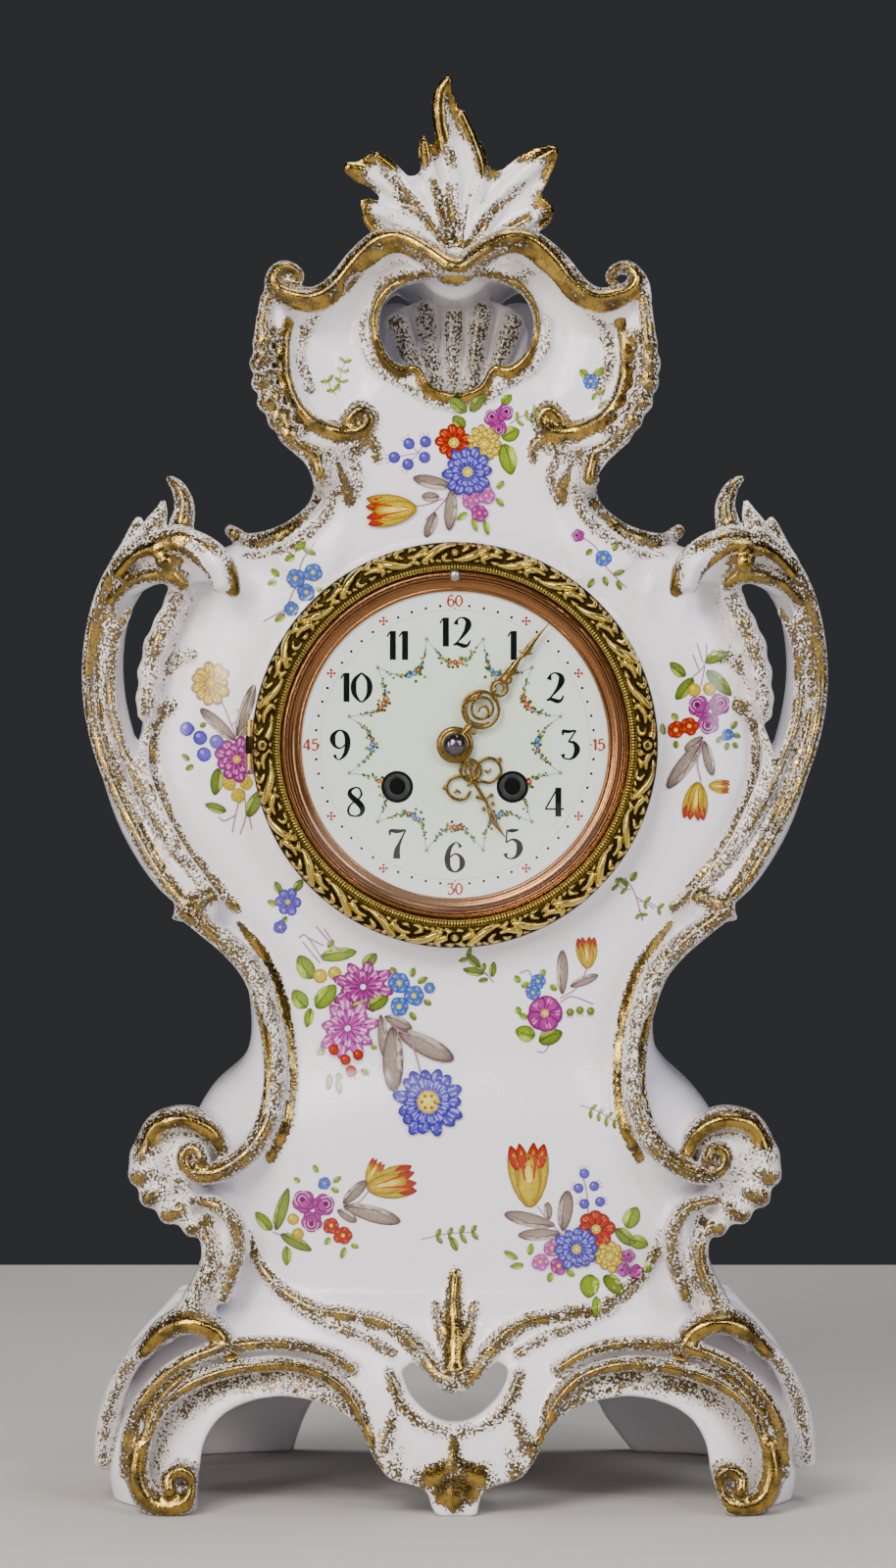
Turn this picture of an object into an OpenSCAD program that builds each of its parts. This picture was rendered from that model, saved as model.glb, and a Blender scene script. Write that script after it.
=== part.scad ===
// Rococo porcelain table clock with a round French movement.
// Front faces -Y, up is +Z, and the origin is on the table under the middle of the foot print.

/* [Porcelain case] */
// Height from the table to the tip of the crest leaf
clock_h = 422.8; // [400:1:450]
// Width over the two side handles
clock_w = 221; // [214:1:240]
// Depth over the plinth
clock_d = 140; // [132:1:170]
// Wall thickness of the porcelain
wall = 5; // [4:0.5:6]
// Radius of the raised scroll mouldings
scroll_r = 3.4; // [2.4:0.1:4]
// Thickness of the handles from front to back
handle_t = 26; // [18:1:32]

/* [Bezel and dial] */
// Diameter of the cast bezel
bezel_d = 117; // [114:0.5:122]
// Depth of the bezel ring from back to front
bezel_t = 8.8; // [7:0.2:11]
// Diameter of the round opening in the case
opening_d = 104; // [102:0.5:107]
// Diameter of the enamel dial that shows
dial_sight_d = 91; // [86:0.5:93]
// Thickness of the enamel dial
dial_t = 1.6; // [1.2:0.1:2]
// Thickness of the bezel glass
glass_t = 1.8; // [1.4:0.1:2.4]
// Radius of the winding holes in the dial
winding_hole_r = 4.4; // [4:0.1:5]
// Length of the minute hand from its centre
minute_hand_l = 40.5; // [36:0.5:42]
// Length of the hour hand from its centre
hour_hand_l = 28.5; // [24:0.5:32]

/* [Movement] */
// Diameter of the two brass plates
plate_d = 84; // [83:0.5:88]
// Thickness of each plate
plate_t = 2.6; // [2:0.1:3]
// Clear distance between the plates
plate_gap = 36; // [34:0.5:38]
// Radius of a wheel arbor between its shoulders
arbor_r = 0.9; // [0.7:0.1:1]
// Radius of an arbor's pivots
pivot_r = 0.6; // [0.4:0.05:0.65]
// Running clearance round pivots and shafts
running_gap = 0.04; // [0.02:0.01:0.08]
// Thickness of a train wheel
wheel_t = 1.2; // [0.8:0.1:1.5]
// Radius of the barrel arbors at their bearings
winding_r = 2.6; // [2.2:0.1:2.8]

/* [Pendulum and bell] */
// Distance from the pendulum's bending point to the middle of its bob
pendulum_l = 131; // [120:1:136]
// Diameter of the pendulum bob
bob_d = 26; // [22:1:30]
// Diameter of the bell
bell_d = 64; // [58:1:66]
// Thickness of the bell metal
bell_t = 1.6; // [1.2:0.1:2]
// Thread pitch of the rating nut
nut_pitch = 0.5; // [0.4:0.1:0.7]

/* [Hidden] */
$fn = 72;
cut = 0.5;
glaze = "ghostwhite";
gilt = "goldenrod";
brass = "#c9a24a";
steel = "#8c9096";

// The photograph's frame: pixel x of the middle line, pixel y of the table and of the tip
px_middle = 464;
px_table = 1540;
px_tip = 82;
px_left = 84;
px_right = 846;
px_dial_middle = 760;
x_scale = clock_w / (px_right - px_left);
z_scale = clock_h / (px_table - px_tip);
half_d = clock_d / 2;
function from_px(p) = [(p[0] - px_middle) * x_scale, (px_table - p[1]) * z_scale];
dial_z = from_px([px_middle, px_dial_middle])[1];

// A smooth curve through hand-picked points, with a few steps between each two
function pick(p, i, closed) = closed ? p[(i + len(p)) % len(p)] : p[max(0, min(len(p) - 1, i))];
function between_four(a, b, c, d, t) =
    0.5 * (2 * b + (c - a) * t + (2 * a - 5 * b + 4 * c - d) * t * t + (3 * b - a - 3 * c + d) * t * t * t);
function smooth(p, steps, closed = false) = [
    for (i = [0 : len(p) - (closed ? 1 : 2)], k = [0 : steps - 1])
        between_four(pick(p, i - 1, closed), pick(p, i, closed), pick(p, i + 1, closed),
            pick(p, i + 2, closed), k / steps),
    if (!closed) p[len(p) - 1]];

// Closes a stack of rings, each a list of the same number of points, into a solid
module skin(rings) {
    n = len(rings[0]);
    m = len(rings);
    polyhedron([for (r = rings) each r], concat(
        [[for (j = [0 : n - 1]) j]],
        [for (i = [0 : m - 2], j = [0 : n - 1])
            [i * n + j, (i + 1) * n + j, (i + 1) * n + (j + 1) % n, i * n + (j + 1) % n]],
        [[for (j = [n - 1 : -1 : 0]) (m - 1) * n + j]]), convexity = 8);
}

// A moulding swept along points [x, z, y, radius in the face, radius front to back]
sweep_sides = 6;
function unit(v) = v / max(norm(v), 0.000001);
function sweep_ring(p, i) = let (
    a = p[max(0, i - 1)], b = p[min(len(p) - 1, i + 1)],
    t = unit([b[0] - a[0], b[2] - a[2], b[1] - a[1]]),
    side = unit(cross([0, 1, 0], t)), rise = cross(t, side))
    [for (j = [0 : sweep_sides - 1]) let (w = 360 * j / sweep_sides)
        [p[i][0], p[i][2], p[i][1]] + side * p[i][3] * cos(w) + rise * p[i][4] * sin(w)];
module sweep(p) { skin([for (i = [0 : len(p) - 1]) sweep_ring(p, i)]); }

// Flat work seen from the front: a profile in x and z that reaches t forward from back_y
module faced(back_y, t) { translate([0, back_y, 0]) rotate([90, 0, 0]) linear_extrude(t) children(); }
module rod(back_y, t, r) { translate([0, back_y, 0]) rotate([90, 0, 0]) cylinder(h = t, r = r); }
module turned(back_y) { translate([0, back_y, 0]) rotate([90, 0, 0]) rotate_extrude() children(); }
module at_dial(p = [0, 0]) { translate([p[0], 0, dial_z + p[1]]) children(); }

// Case rows: pixel y, pixel x of the left and right side, half depth share, squareness
case_row_shares = [
    [1336, 212, 728, 0.80, 5], [1330, 212, 728, 0.80, 5], [1305, 216, 708, 0.79, 5], [1275, 216, 708, 0.79, 4.6],
    [1245, 202, 722, 0.80, 4.2], [1215, 188, 738, 0.81, 4], [1180, 184, 742, 0.82, 4],
    [1150, 190, 736, 0.81, 4], [1120, 212, 712, 0.78, 4], [1095, 240, 684, 0.74, 4.4],
    [1070, 252, 670, 0.72, 4.8], [1030, 249, 674, 0.71, 5], [990, 238, 686, 0.71, 5],
    [955, 214, 712, 0.72, 5], [930, 190, 736, 0.73, 5], [890, 164, 762, 0.73, 5],
    [840, 142, 784, 0.74, 5], [790, 134, 792, 0.745, 5], [735, 137, 788, 0.745, 5],
    [680, 144, 784, 0.745, 5], [630, 158, 772, 0.74, 5], [590, 178, 750, 0.73, 4.6],
    [560, 202, 726, 0.71, 4.2], [542, 228, 702, 0.69, 4], [530, 262, 666, 0.67, 4],
    [515, 296, 630, 0.65, 4], [495, 318, 610, 0.63, 4], [470, 322, 606, 0.62, 4]];
ring_points = 28;
hollow_points = 20;
hollow_inset_share = 1.4;
function squircle(x0, x1, d, k, n) = [for (j = [0 : n - 1]) let (
    w = 360 * j / n, c = cos(w), s = sin(w))
    [(x0 + x1) / 2 + (x1 - x0) / 2 * sign(c) * pow(abs(c), 2 / k), d * sign(s) * pow(abs(s), 2 / k)]];
function case_ring(row, inset, n) = let (
    p0 = from_px([row[1], row[0]]), p1 = from_px([row[2], row[0]]))
    [for (q = squircle(p0[0] + inset, p1[0] - inset, half_d * row[3] - inset, row[4], n)) [q[0], q[1], p0[1]]];
module case_form() { skin([for (r = case_row_shares) case_ring(r, 0, ring_points)]); }

face_y = -half_d * 0.745;
back_y = half_d * 0.745;
opening_r = opening_d / 2;
bezel_r = bezel_d / 2;
seat_margin = 1.2;
back_hole_r = opening_r - 0.8;
crest_steps = 2;
crest_px = [
    [320, 484], [300, 456], [278, 418], [268, 375], [271, 335], [270, 300], [276, 280], [291, 274],
    [304, 288], [318, 298], [340, 288], [362, 262], [385, 243], [410, 240], [440, 256], [470, 276],
    [498, 256], [525, 240], [555, 242], [580, 262], [604, 294], [622, 303], [633, 286], [650, 278],
    [664, 292], [664, 335], [672, 382], [656, 425], [634, 456], [608, 484]];
cartouche_px = [
    [386, 340], [392, 312], [420, 292], [465, 286], [512, 291], [536, 312], [541, 345], [528, 368],
    [505, 376], [492, 394], [464, 402], [434, 396], [420, 376], [396, 368]];
crest_front_share = -0.70;
crest_hood_share = -0.86;
crest_back_share = 0.24;
crest_screen_share = 0.10;
crest_gap = 6.5;
wall_overrun_share = 0.02;
module px_shape(p, steps) { polygon([for (q = smooth(p, steps, true)) from_px(q)]); }
// The hood narrows and falls towards the back, about the middle of its foot
crest_foot_px = [px_middle, 484];
crest_taper_shares = [0.84, 0.87];
function crest_taper(share) = let (t = (share - crest_hood_share) / (crest_back_share - crest_hood_share))
    [for (k = crest_taper_shares) 1 - t * (1 - k)];
module about_foot(k) { translate(from_px(crest_foot_px)) scale(k) translate(-from_px(crest_foot_px)) children(); }
crest_inner_px = [
    [322, 472], [304, 442], [290, 412], [286, 375], [289, 336], [292, 312], [318, 319], [350, 304],
    [372, 278], [394, 261], [414, 260], [440, 274], [470, 296], [499, 274], [524, 260], [548, 261],
    [569, 278], [594, 310], [622, 323], [646, 311], [647, 335], [653, 380], [638, 416], [620, 446], [604, 472]];
// Rings of the outline p at depths given as shares, so that the hood can be closed as one skin
function crest_rings(p, shares) = [for (s = shares) let (k = crest_taper(s), foot = from_px(crest_foot_px))
    [for (q = smooth(p, crest_steps, true)) let (c = from_px(q) - foot)
        [foot[0] + c[0] * k[0], half_d * s, foot[1] + c[1] * k[1]]]];
module crest_walls() {
    difference() {
        skin(crest_rings(crest_px, [crest_hood_share, crest_back_share]));
        skin(crest_rings(crest_inner_px, [crest_hood_share - wall_overrun_share, crest_back_share + wall_overrun_share]));
    }
    difference() {
        faced(half_d * crest_front_share + wall, wall) about_foot(crest_taper(crest_front_share))
            offset(-wall / 2) px_shape(crest_px, crest_steps);
        faced(half_d * crest_front_share + wall + cut, wall + 2 * cut) px_shape(cartouche_px, crest_steps);
    }
    faced(half_d * crest_screen_share + wall, wall) about_foot(crest_taper(crest_screen_share)) intersection() {
        offset(-wall / 2) px_shape(crest_px, crest_steps);
        translate([0, -wall - crest_gap]) px_shape(crest_px, crest_steps);
    }
}

// Mouldings on the front: pixel x, pixel y, depth share, share of the scroll radius
function moulding(p, steps) = [for (q = smooth(p, steps)) let (c = from_px(q))
    [c[0], c[1], half_d * q[2], scroll_r * q[3], scroll_r * q[3]]];
function mirrored(p) = [for (q = p) [2 * px_middle - q[0], q[1], q[2], q[3]]];
rim_px = [
    [292, 290, -0.90, 0.6], [283, 296, -0.90, 0.9], [278, 286, -0.89, 1.0], [290, 277, -0.88, 1.1],
    [300, 292, -0.87, 1.1], [318, 302, -0.86, 1.1], [342, 290, -0.86, 1.1], [364, 263, -0.87, 1.1],
    [388, 245, -0.88, 1.1], [412, 243, -0.88, 1.1], [442, 260, -0.90, 1.2], [470, 277, -0.93, 1.6],
    [497, 258, -0.90, 1.2], [524, 242, -0.88, 1.1], [553, 244, -0.88, 1.1], [578, 264, -0.87, 1.1],
    [602, 297, -0.86, 1.1], [624, 310, -0.86, 1.1], [648, 302, -0.87, 1.1], [660, 288, -0.88, 1.1],
    [650, 280, -0.89, 1.0], [641, 289, -0.90, 0.9], [650, 296, -0.90, 0.6]];
crest_scroll_px = [
    [364, 432, -0.74, 0.7], [374, 430, -0.75, 0.9], [374, 448, -0.75, 1.0], [350, 456, -0.75, 1.1],
    [310, 452, -0.74, 1.2], [284, 420, -0.72, 1.3], [273, 380, -0.70, 1.3], [278, 340, -0.70, 1.1],
    [306, 332, -0.72, 0.7]];
neck_scroll_px = [
    [312, 468, -0.66, 0.9], [316, 500, -0.67, 1.1], [298, 532, -0.69, 1.2], [268, 546, -0.71, 1.2],
    [238, 538, -0.72, 1.0]];
waist_scroll_px = [
    [184, 930, -0.71, 1.2], [206, 946, -0.73, 1.1], [240, 982, -0.74, 1.1], [266, 1030, -0.74, 1.1],
    [277, 1085, -0.75, 1.2], [272, 1135, -0.79, 1.3], [250, 1172, -0.84, 1.4], [215, 1198, -0.88, 1.4],
    [188, 1190, -0.90, 1.3], [184, 1176, -0.91, 1.1], [196, 1172, -0.91, 0.9], [200, 1184, -0.91, 0.6]];
volute_top_px = [
    [228, 1176, -0.84, 0.9], [216, 1152, -0.85, 1.3], [186, 1141, -0.84, 1.4], [158, 1150, -0.82, 1.4],
    [148, 1176, -0.80, 1.4], [146, 1202, -0.78, 1.6], [166, 1226, -0.78, 1.6], [196, 1248, -0.80, 1.3],
    [214, 1272, -0.80, 1.1], [216, 1300, -0.80, 1.0], [196, 1336, -0.82, 1.0]];
moulding_steps = 2;
lobe_fn = 10;
// The shell that fills each lower volute: fat lobes that run back into the case
volute_lobe_px = [[160, 1168], [158, 1196], [174, 1222], [200, 1196]];
volute_lobe_shares = [[0.78, 2.3, 1], [0.40, 2.8, 0.94], [0.05, 1.6, 0.80]];
module volute_shell(side) {
    for (q = volute_lobe_px) let (c = from_px(q)) hull() for (s = volute_lobe_shares)
        translate([side * c[0] * s[2], -half_d * s[0], c[1]]) sphere(r = s[1] * scroll_r, $fn = lobe_fn);
}
module case_body() color(glaze) difference() {
    union() {
        case_form();
        crest_walls();
        at_dial() rod(face_y + wall, wall, bezel_r + seat_margin);
        sweep(moulding(rim_px, moulding_steps));
        for (p = [crest_scroll_px, neck_scroll_px, waist_scroll_px, volute_top_px]) {
            sweep(moulding(p, moulding_steps));
            sweep(moulding(mirrored(p), moulding_steps));
        }
        for (side = [1, -1]) volute_shell(side);
    }
    case_hollow();
    at_dial() {
        rod(face_y, half_d, bezel_r + seat_margin);
        rod(0, half_d, opening_r);
        rod(half_d, half_d, back_hole_r);
        rod(half_d, half_d - back_y, back_hole_r + wall);
    }
    below_case();
}
hollow_rows = len(case_row_shares) - 4;
case_bottom_z = from_px([0, case_row_shares[1][0]])[1];
module case_hollow() {
    skin([for (i = [0 : 2 : hollow_rows]) case_ring(case_row_shares[i], wall * hollow_inset_share, hollow_points)]);
}
module below_case() {
    translate([-clock_w, -clock_d, case_bottom_z - clock_h]) cube([2 * clock_w, 2 * clock_d, clock_h]);
}

// Plinth rows, from the joint with the case down to the table
plinth_row_shares = [
    [1320, 212, 728, 0.80, 5], [1330, 212, 728, 0.80, 5], [1350, 186, 748, 0.84, 4.4], [1375, 152, 776, 0.88, 4],
    [1400, 126, 800, 0.93, 3.8], [1430, 108, 816, 0.97, 3.8], [1465, 98, 825, 0.99, 3.8],
    [1505, 96, 827, 1.0, 3.8], [1546, 102, 822, 1.0, 3.8]];
arch_left_px = [
    [198, 1600], [204, 1500], [214, 1458], [240, 1432], [285, 1420], [335, 1428], [368, 1448],
    [384, 1482], [400, 1500], [432, 1508], [440, 1530], [450, 1600]];
arch_right_px = [
    [474, 1600], [480, 1530], [488, 1508], [520, 1500], [538, 1478], [552, 1442], [585, 1424],
    [635, 1420], [680, 1432], [708, 1456], [718, 1500], [720, 1600]];
heart_px = [
    [408, 1398], [420, 1388], [434, 1398], [448, 1412], [464, 1412], [478, 1398], [494, 1388],
    [508, 1396], [502, 1414], [486, 1438], [460, 1448], [436, 1442], [422, 1424], [408, 1412]];
side_arch_px = [
    [300, 1600], [318, 1500], [350, 1450], [420, 1420], [490, 1424], [540, 1456], [560, 1500], [570, 1600]];
foot_ridge_px = [
    [180, 1508, -0.945, 1.0], [178, 1499, -0.945, 1.1], [190, 1500, -0.935, 1.2], [192, 1514, -0.92, 1.5],
    [176, 1526, -0.905, 1.8], [156, 1520, -0.90, 1.9], [146, 1496, -0.895, 1.9], [150, 1464, -0.90, 1.7],
    [168, 1432, -0.90, 1.5], [204, 1404, -0.91, 1.3], [250, 1386, -0.92, 1.1], [300, 1384, -0.93, 1.0],
    [344, 1402, -0.94, 1.0], [368, 1440, -0.94, 0.9]];
shoulder_scroll_px = [
    [232, 1376, -0.86, 0.8], [224, 1356, -0.87, 1.2], [196, 1350, -0.86, 1.3], [166, 1366, -0.84, 1.2],
    [140, 1392, -0.78, 1.1], [120, 1428, -0.66, 1.1], [110, 1470, -0.52, 1.0]];
apron_ridge_px = [
    [350, 1338, -0.84, 0.8], [400, 1350, -0.88, 0.9], [430, 1376, -0.93, 1.0], [448, 1402, -0.935, 1.2],
    [468, 1400, -0.935, 1.2], [486, 1374, -0.93, 1.0], [520, 1358, -0.88, 0.9], [570, 1352, -0.84, 0.8]];
module plinth_form() {
    skin([for (i = [len(plinth_row_shares) - 1 : -1 : 0]) case_ring(plinth_row_shares[i], 0, ring_points)]);
}
module front_cut(p) { faced(0, clock_d) px_shape(p, crest_steps); }
// The broad leaf that wraps each side leg, in three upright folds
leg_fold_shares = [-0.10, 0.18, 0.46];
leg_fold_px = [[146, 1378, 1.6], [118, 1440, 2.0], [110, 1492, 1.7]];
module side_leg_leaf(side) {
    for (s = leg_fold_shares) hull() for (q = leg_fold_px) let (c = from_px(q))
        translate([side * c[0], half_d * s, c[1]]) sphere(r = q[2] * scroll_r, $fn = lobe_fn);
}
module plinth() color(glaze) difference() {
    union() {
        plinth_form();
        for (p = [foot_ridge_px, shoulder_scroll_px]) {
            sweep(moulding(p, moulding_steps));
            sweep(moulding(mirrored(p), moulding_steps));
        }
        sweep(moulding(apron_ridge_px, moulding_steps));
        drop = from_px([460, 1526]);
        for (dx = [-1, 1]) hull() {
            translate([drop[0] + dx * scroll_r, -half_d * 0.905, drop[1] + 2 * scroll_r])
                sphere(r = 2 * scroll_r, $fn = lobe_fn);
            translate([drop[0], -half_d * 0.905, drop[1]]) sphere(r = scroll_r, $fn = lobe_fn);
        }
        for (side = [1, -1]) side_leg_leaf(side);
    }
    plinth_hollow();
    front_cut(arch_left_px);
    front_cut(arch_right_px);
    front_cut(heart_px);
    rotate([0, 0, 90]) faced(clock_w, 2 * clock_w) px_shape(side_arch_px, crest_steps);
    faced(clock_d, clock_d) scale([1.15, 1]) px_shape(side_arch_px, crest_steps);
    translate([-clock_w, -clock_d, -clock_h]) cube([2 * clock_w, 2 * clock_d, clock_h]);
    translate([-clock_w, -clock_d, case_bottom_z]) cube([2 * clock_w, 2 * clock_d, clock_h]);
}
plinth_wall_share = 2.2;
module plinth_hollow() {
    last = len(plinth_row_shares) - 1;
    skin([for (i = [last : -1 : 0]) [for (p = case_ring(plinth_row_shares[i], i < 2 ? wall : wall * plinth_wall_share,
        hollow_points)) [p[0], p[1], p[2] + (i == 0 ? cut : i == last ? -cut : 0)]]]);
}

// Handles: pixel x, pixel y, depth share, half width share of the handle's thickness
handle_px = [
    [232, 598, -0.86, 0.10], [222, 574, -0.86, 0.16], [200, 556, -0.80, 0.22], [168, 556, -0.66, 0.34],
    [134, 576, -0.48, 0.46], [112, 612, -0.36, 0.50], [102, 656, -0.30, 0.50], [101, 704, -0.28, 0.50],
    [108, 756, -0.30, 0.50], [122, 804, -0.36, 0.50], [142, 850, -0.46, 0.46], [170, 896, -0.58, 0.38],
    [204, 926, -0.68, 0.24]];
handle_radius_px = [10, 13, 16, 19, 19, 18, 18, 19, 21, 23, 24, 22, 14];
handle_steps = 3;
leaf_tip_px = [[180, 492, 176, 548], [144, 530, 150, 566]];
function handle_path() = let (
    q = smooth([for (i = [0 : len(handle_px) - 1]) concat(handle_px[i], [handle_radius_px[i]])], handle_steps))
    [for (v = q) let (c = from_px(v)) [c[0], c[1], half_d * v[2], v[4] * x_scale, handle_t * v[3]]];
module handle_form() {
    sweep(handle_path());
    for (q = leaf_tip_px) let (a = from_px([q[0], q[1]]), b = from_px([q[2], q[3]])) {
        hull() {
            translate([a[0], -half_d * 0.72, a[1]]) sphere(r = scroll_r * 0.7, $fn = lobe_fn);
            translate([(a[0] + b[0]) / 2 + scroll_r, -half_d * 0.72, (a[1] + b[1]) / 2])
                sphere(r = scroll_r * 1.5, $fn = lobe_fn);
        }
        hull() {
            translate([(a[0] + b[0]) / 2 + scroll_r, -half_d * 0.72, (a[1] + b[1]) / 2])
                sphere(r = scroll_r * 1.5, $fn = lobe_fn);
            translate([b[0], -half_d * 0.68, b[1]]) sphere(r = scroll_r * 2, $fn = lobe_fn);
        }
    }
    bead = from_px([165, 575]);
    hull() for (s = [0.72, 0.80]) translate([bead[0], -half_d * s, bead[1]])
        sphere(r = scroll_r * 1.1, $fn = lobe_fn);
}
// Tongue of the leaf that ends each handle at the corner of the case
tongue_px = [[196, 900, 1.6, 186, 930, 1.0], [212, 906, 1.5, 196, 932, 1.2], [170, 884, 1.5, 182, 918, 1.2]];
module handle(side) color(glaze) difference() {
    scale([side, 1, 1]) union() {
        handle_form();
        for (q = tongue_px) let (a = from_px([q[0], q[1]]), b = from_px([q[3], q[4]])) hull() {
            translate([a[0], -half_d * 0.62, a[1]]) sphere(r = scroll_r * q[2], $fn = lobe_fn);
            translate([b[0], -half_d * 0.66, b[1]]) sphere(r = scroll_r * q[5], $fn = lobe_fn);
        }
    }
    case_form();
    for (p = [waist_scroll_px, neck_scroll_px]) {
        sweep(moulding(p, moulding_steps));
        sweep(moulding(mirrored(p), moulding_steps));
    }
}
module handle_left() { handle(1); }
module handle_right() { handle(-1); }

// Crest leaf: lobes swept from the root to a tip, pixel x, pixel y, depth share, scroll radii
leaf_lobe_px = [
    [[469, 262, -0.72, 1.4], [468, 236, -0.71, 2.6], [463, 200, -0.72, 2.9], [468, 150, -0.74, 2.3],
        [466, 118, -0.72, 1.3], [456, 92, -0.78, 0.7]],
    [[462, 250, -0.70, 1.2], [446, 222, -0.71, 2.0], [416, 192, -0.73, 2.0], [384, 178, -0.75, 1.4],
        [358, 172, -0.80, 0.7]],
    [[456, 252, -0.68, 0.9], [424, 228, -0.70, 1.5], [394, 214, -0.72, 1.2], [368, 207, -0.76, 0.7]],
    [[458, 230, -0.74, 0.9], [446, 196, -0.75, 1.4], [432, 164, -0.76, 1.0], [434, 144, -0.80, 0.6]],
    [[480, 252, -0.70, 1.2], [496, 222, -0.71, 2.0], [522, 192, -0.73, 1.7], [548, 168, -0.75, 1.1],
        [566, 154, -0.80, 0.6]],
    [[484, 254, -0.68, 0.9], [512, 232, -0.70, 1.4], [538, 222, -0.72, 1.1], [562, 211, -0.76, 0.7]]];
leaf_vein_px = [
    [464, 236, 464, 168], [452, 232, 432, 196], [476, 234, 492, 196], [440, 222, 402, 194],
    [494, 226, 536, 186], [446, 236, 396, 220], [490, 238, 540, 222], [458, 206, 446, 168]];
leaf_vein_share = -0.80;
module crest_leaf() color(glaze) difference() {
    union() {
        for (p = leaf_lobe_px) sweep(moulding(p, moulding_steps));
        for (q = leaf_vein_px) let (a = from_px([q[0], q[1]]), b = from_px([q[2], q[3]])) hull() {
            translate([a[0], half_d * leaf_vein_share, a[1]]) sphere(r = scroll_r * 0.8, $fn = lobe_fn);
            translate([b[0], half_d * (leaf_vein_share - 0.01), b[1]]) sphere(r = scroll_r * 0.6, $fn = lobe_fn);
        }
    }
    faced(half_d, clock_d) px_shape(crest_px, crest_steps);
    sweep(moulding(rim_px, moulding_steps));
}

// Front stack, from the case's face forward
flange_t = 3;
flange_r = bezel_r - 1.6;
ring_tube_r = opening_r - 0.3;
ring_tube_t = 1.5;
ring_bore_r = ring_tube_r - ring_tube_t;
flange_y = face_y - flange_t;
dial_r = ring_bore_r - 0.3;
dial_back_y = face_y + 1.4;
dial_front_y = dial_back_y - dial_t;
dial_ledge_w = 3;
seat_y = dial_back_y + 4.4;
seat_t = 2.2;
seat_bore_r = plate_d / 2 - 2;
ring_back_y = seat_y + 6;
strap_y = ring_back_y;
front_plate_front = seat_y;
front_plate_back = front_plate_front + plate_t;
back_plate_front = front_plate_back + plate_gap;
back_plate_back = back_plate_front + plate_t;
function level(share) = front_plate_back + plate_gap * share;

// Hinge of the bezel on the left, outside the ring
hinge_r = 1.6;
hinge_pin_r = 0.7;
hinge_x = -bezel_r - hinge_r - 0.2;
hinge_y = flange_y - 0.4;
hinge_knuckle = 5;
hinge_gap = 0.25;
hinge_reach = 6;
leaf_t = 0.8;
outer_knuckle_places = [-1.5 * hinge_knuckle, 0.5 * hinge_knuckle];
// One knuckle at x, y with the leaf that ties it to a ring of radius r, from leaf_y back by leaf_t
module hinge_part(x, y, z0, h, leaf_y, r) {
    difference() {
        union() {
            translate([x, y, dial_z + z0]) cylinder(h = h, r = hinge_r);
            difference() {
                translate([x, leaf_y, dial_z + z0]) cube([hinge_reach, leaf_t, h]);
                at_dial() rod(clock_d, 2 * clock_d, r);
            }
        }
        translate([x, y, dial_z + z0 - cut]) cylinder(h = h + 2 * cut, r = hinge_pin_r + running_gap);
    }
}
module mounting_ring() color(brass) {
    at_dial() {
        turned(0) polygon([
            [opening_r + 0.4, -face_y], [flange_r, -face_y], [flange_r, -flange_y],
            [ring_bore_r, -flange_y], [ring_bore_r, -dial_back_y],
            [ring_bore_r - dial_ledge_w, -dial_back_y], [ring_bore_r - dial_ledge_w, -seat_y + seat_t],
            [seat_bore_r, -seat_y + seat_t], [seat_bore_r, -seat_y], [ring_bore_r, -seat_y],
            [ring_bore_r, -ring_back_y], [ring_tube_r, -ring_back_y], [ring_tube_r, -face_y]]);
    }
    for (z0 = outer_knuckle_places)
        hinge_part(hinge_x, hinge_y, z0 + hinge_gap / 2, hinge_knuckle - hinge_gap, flange_y, flange_r - cut);
}
module bezel_hinge_pin() color(steel)
    translate([hinge_x, hinge_y, dial_z - 1.5 * hinge_knuckle]) cylinder(h = 3 * hinge_knuckle, r = hinge_pin_r);

sight_y = flange_y;
sight_front_y = flange_y - 2.4;
sight_outer_r = ring_bore_r + 1.2;
sight_inner_r = dial_sight_d / 2;
sight_lip = 0.9;
module sight_ring() color("#b06a3c") at_dial() turned(0) polygon([
    [sight_outer_r, -sight_y], [sight_outer_r, -sight_front_y], [sight_outer_r - sight_lip, -sight_front_y],
    [(sight_outer_r + sight_inner_r) / 2, -sight_front_y - 1.2 * sight_lip],
    [sight_inner_r, -dial_front_y + sight_lip], [sight_inner_r, -dial_front_y],
    [ring_bore_r - 0.3, -dial_front_y], [ring_bore_r - 0.3, -sight_y]]);

// Bezel: rounded outer cast ring, glass rebate and inner milled ring
bezel_back_y = flange_y - 0.25;
bezel_front_y = bezel_back_y - bezel_t;
bezel_sight_r = sight_outer_r - 1.4;
glass_r = sight_outer_r + 1.2;
glass_back_y = sight_front_y - 0.5;
glass_front_y = glass_back_y - glass_t;
rebate_gap = 0.1;
module bezel() color(brass) {
    at_dial() turned(0) polygon([
        [glass_r + rebate_gap, -bezel_back_y], [bezel_r, -bezel_back_y], [bezel_r, -bezel_back_y + 0.35 * bezel_t],
        [bezel_r - 0.10 * bezel_t, -bezel_back_y + 0.70 * bezel_t],
        [bezel_r - 0.35 * bezel_t, -bezel_back_y + 0.96 * bezel_t],
        [bezel_r - 0.50 * bezel_t, -bezel_front_y],
        [bezel_r - 0.72 * bezel_t, -bezel_back_y + 0.86 * bezel_t],
        [bezel_sight_r, -bezel_back_y + 0.70 * bezel_t], [bezel_sight_r, -glass_front_y],
        [glass_r + rebate_gap, -glass_front_y]]);
    hinge_part(hinge_x, hinge_y, -0.5 * hinge_knuckle + hinge_gap / 2, hinge_knuckle - hinge_gap,
        bezel_back_y - leaf_t, bezel_r - cut);
}
glass_rise = 3.2;
glass_steps = 10;
function dome(r, rise, y0) = [for (i = [0 : glass_steps]) let (s = i / glass_steps)
    [r * s, -y0 + rise * (1 - s * s)]];
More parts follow.
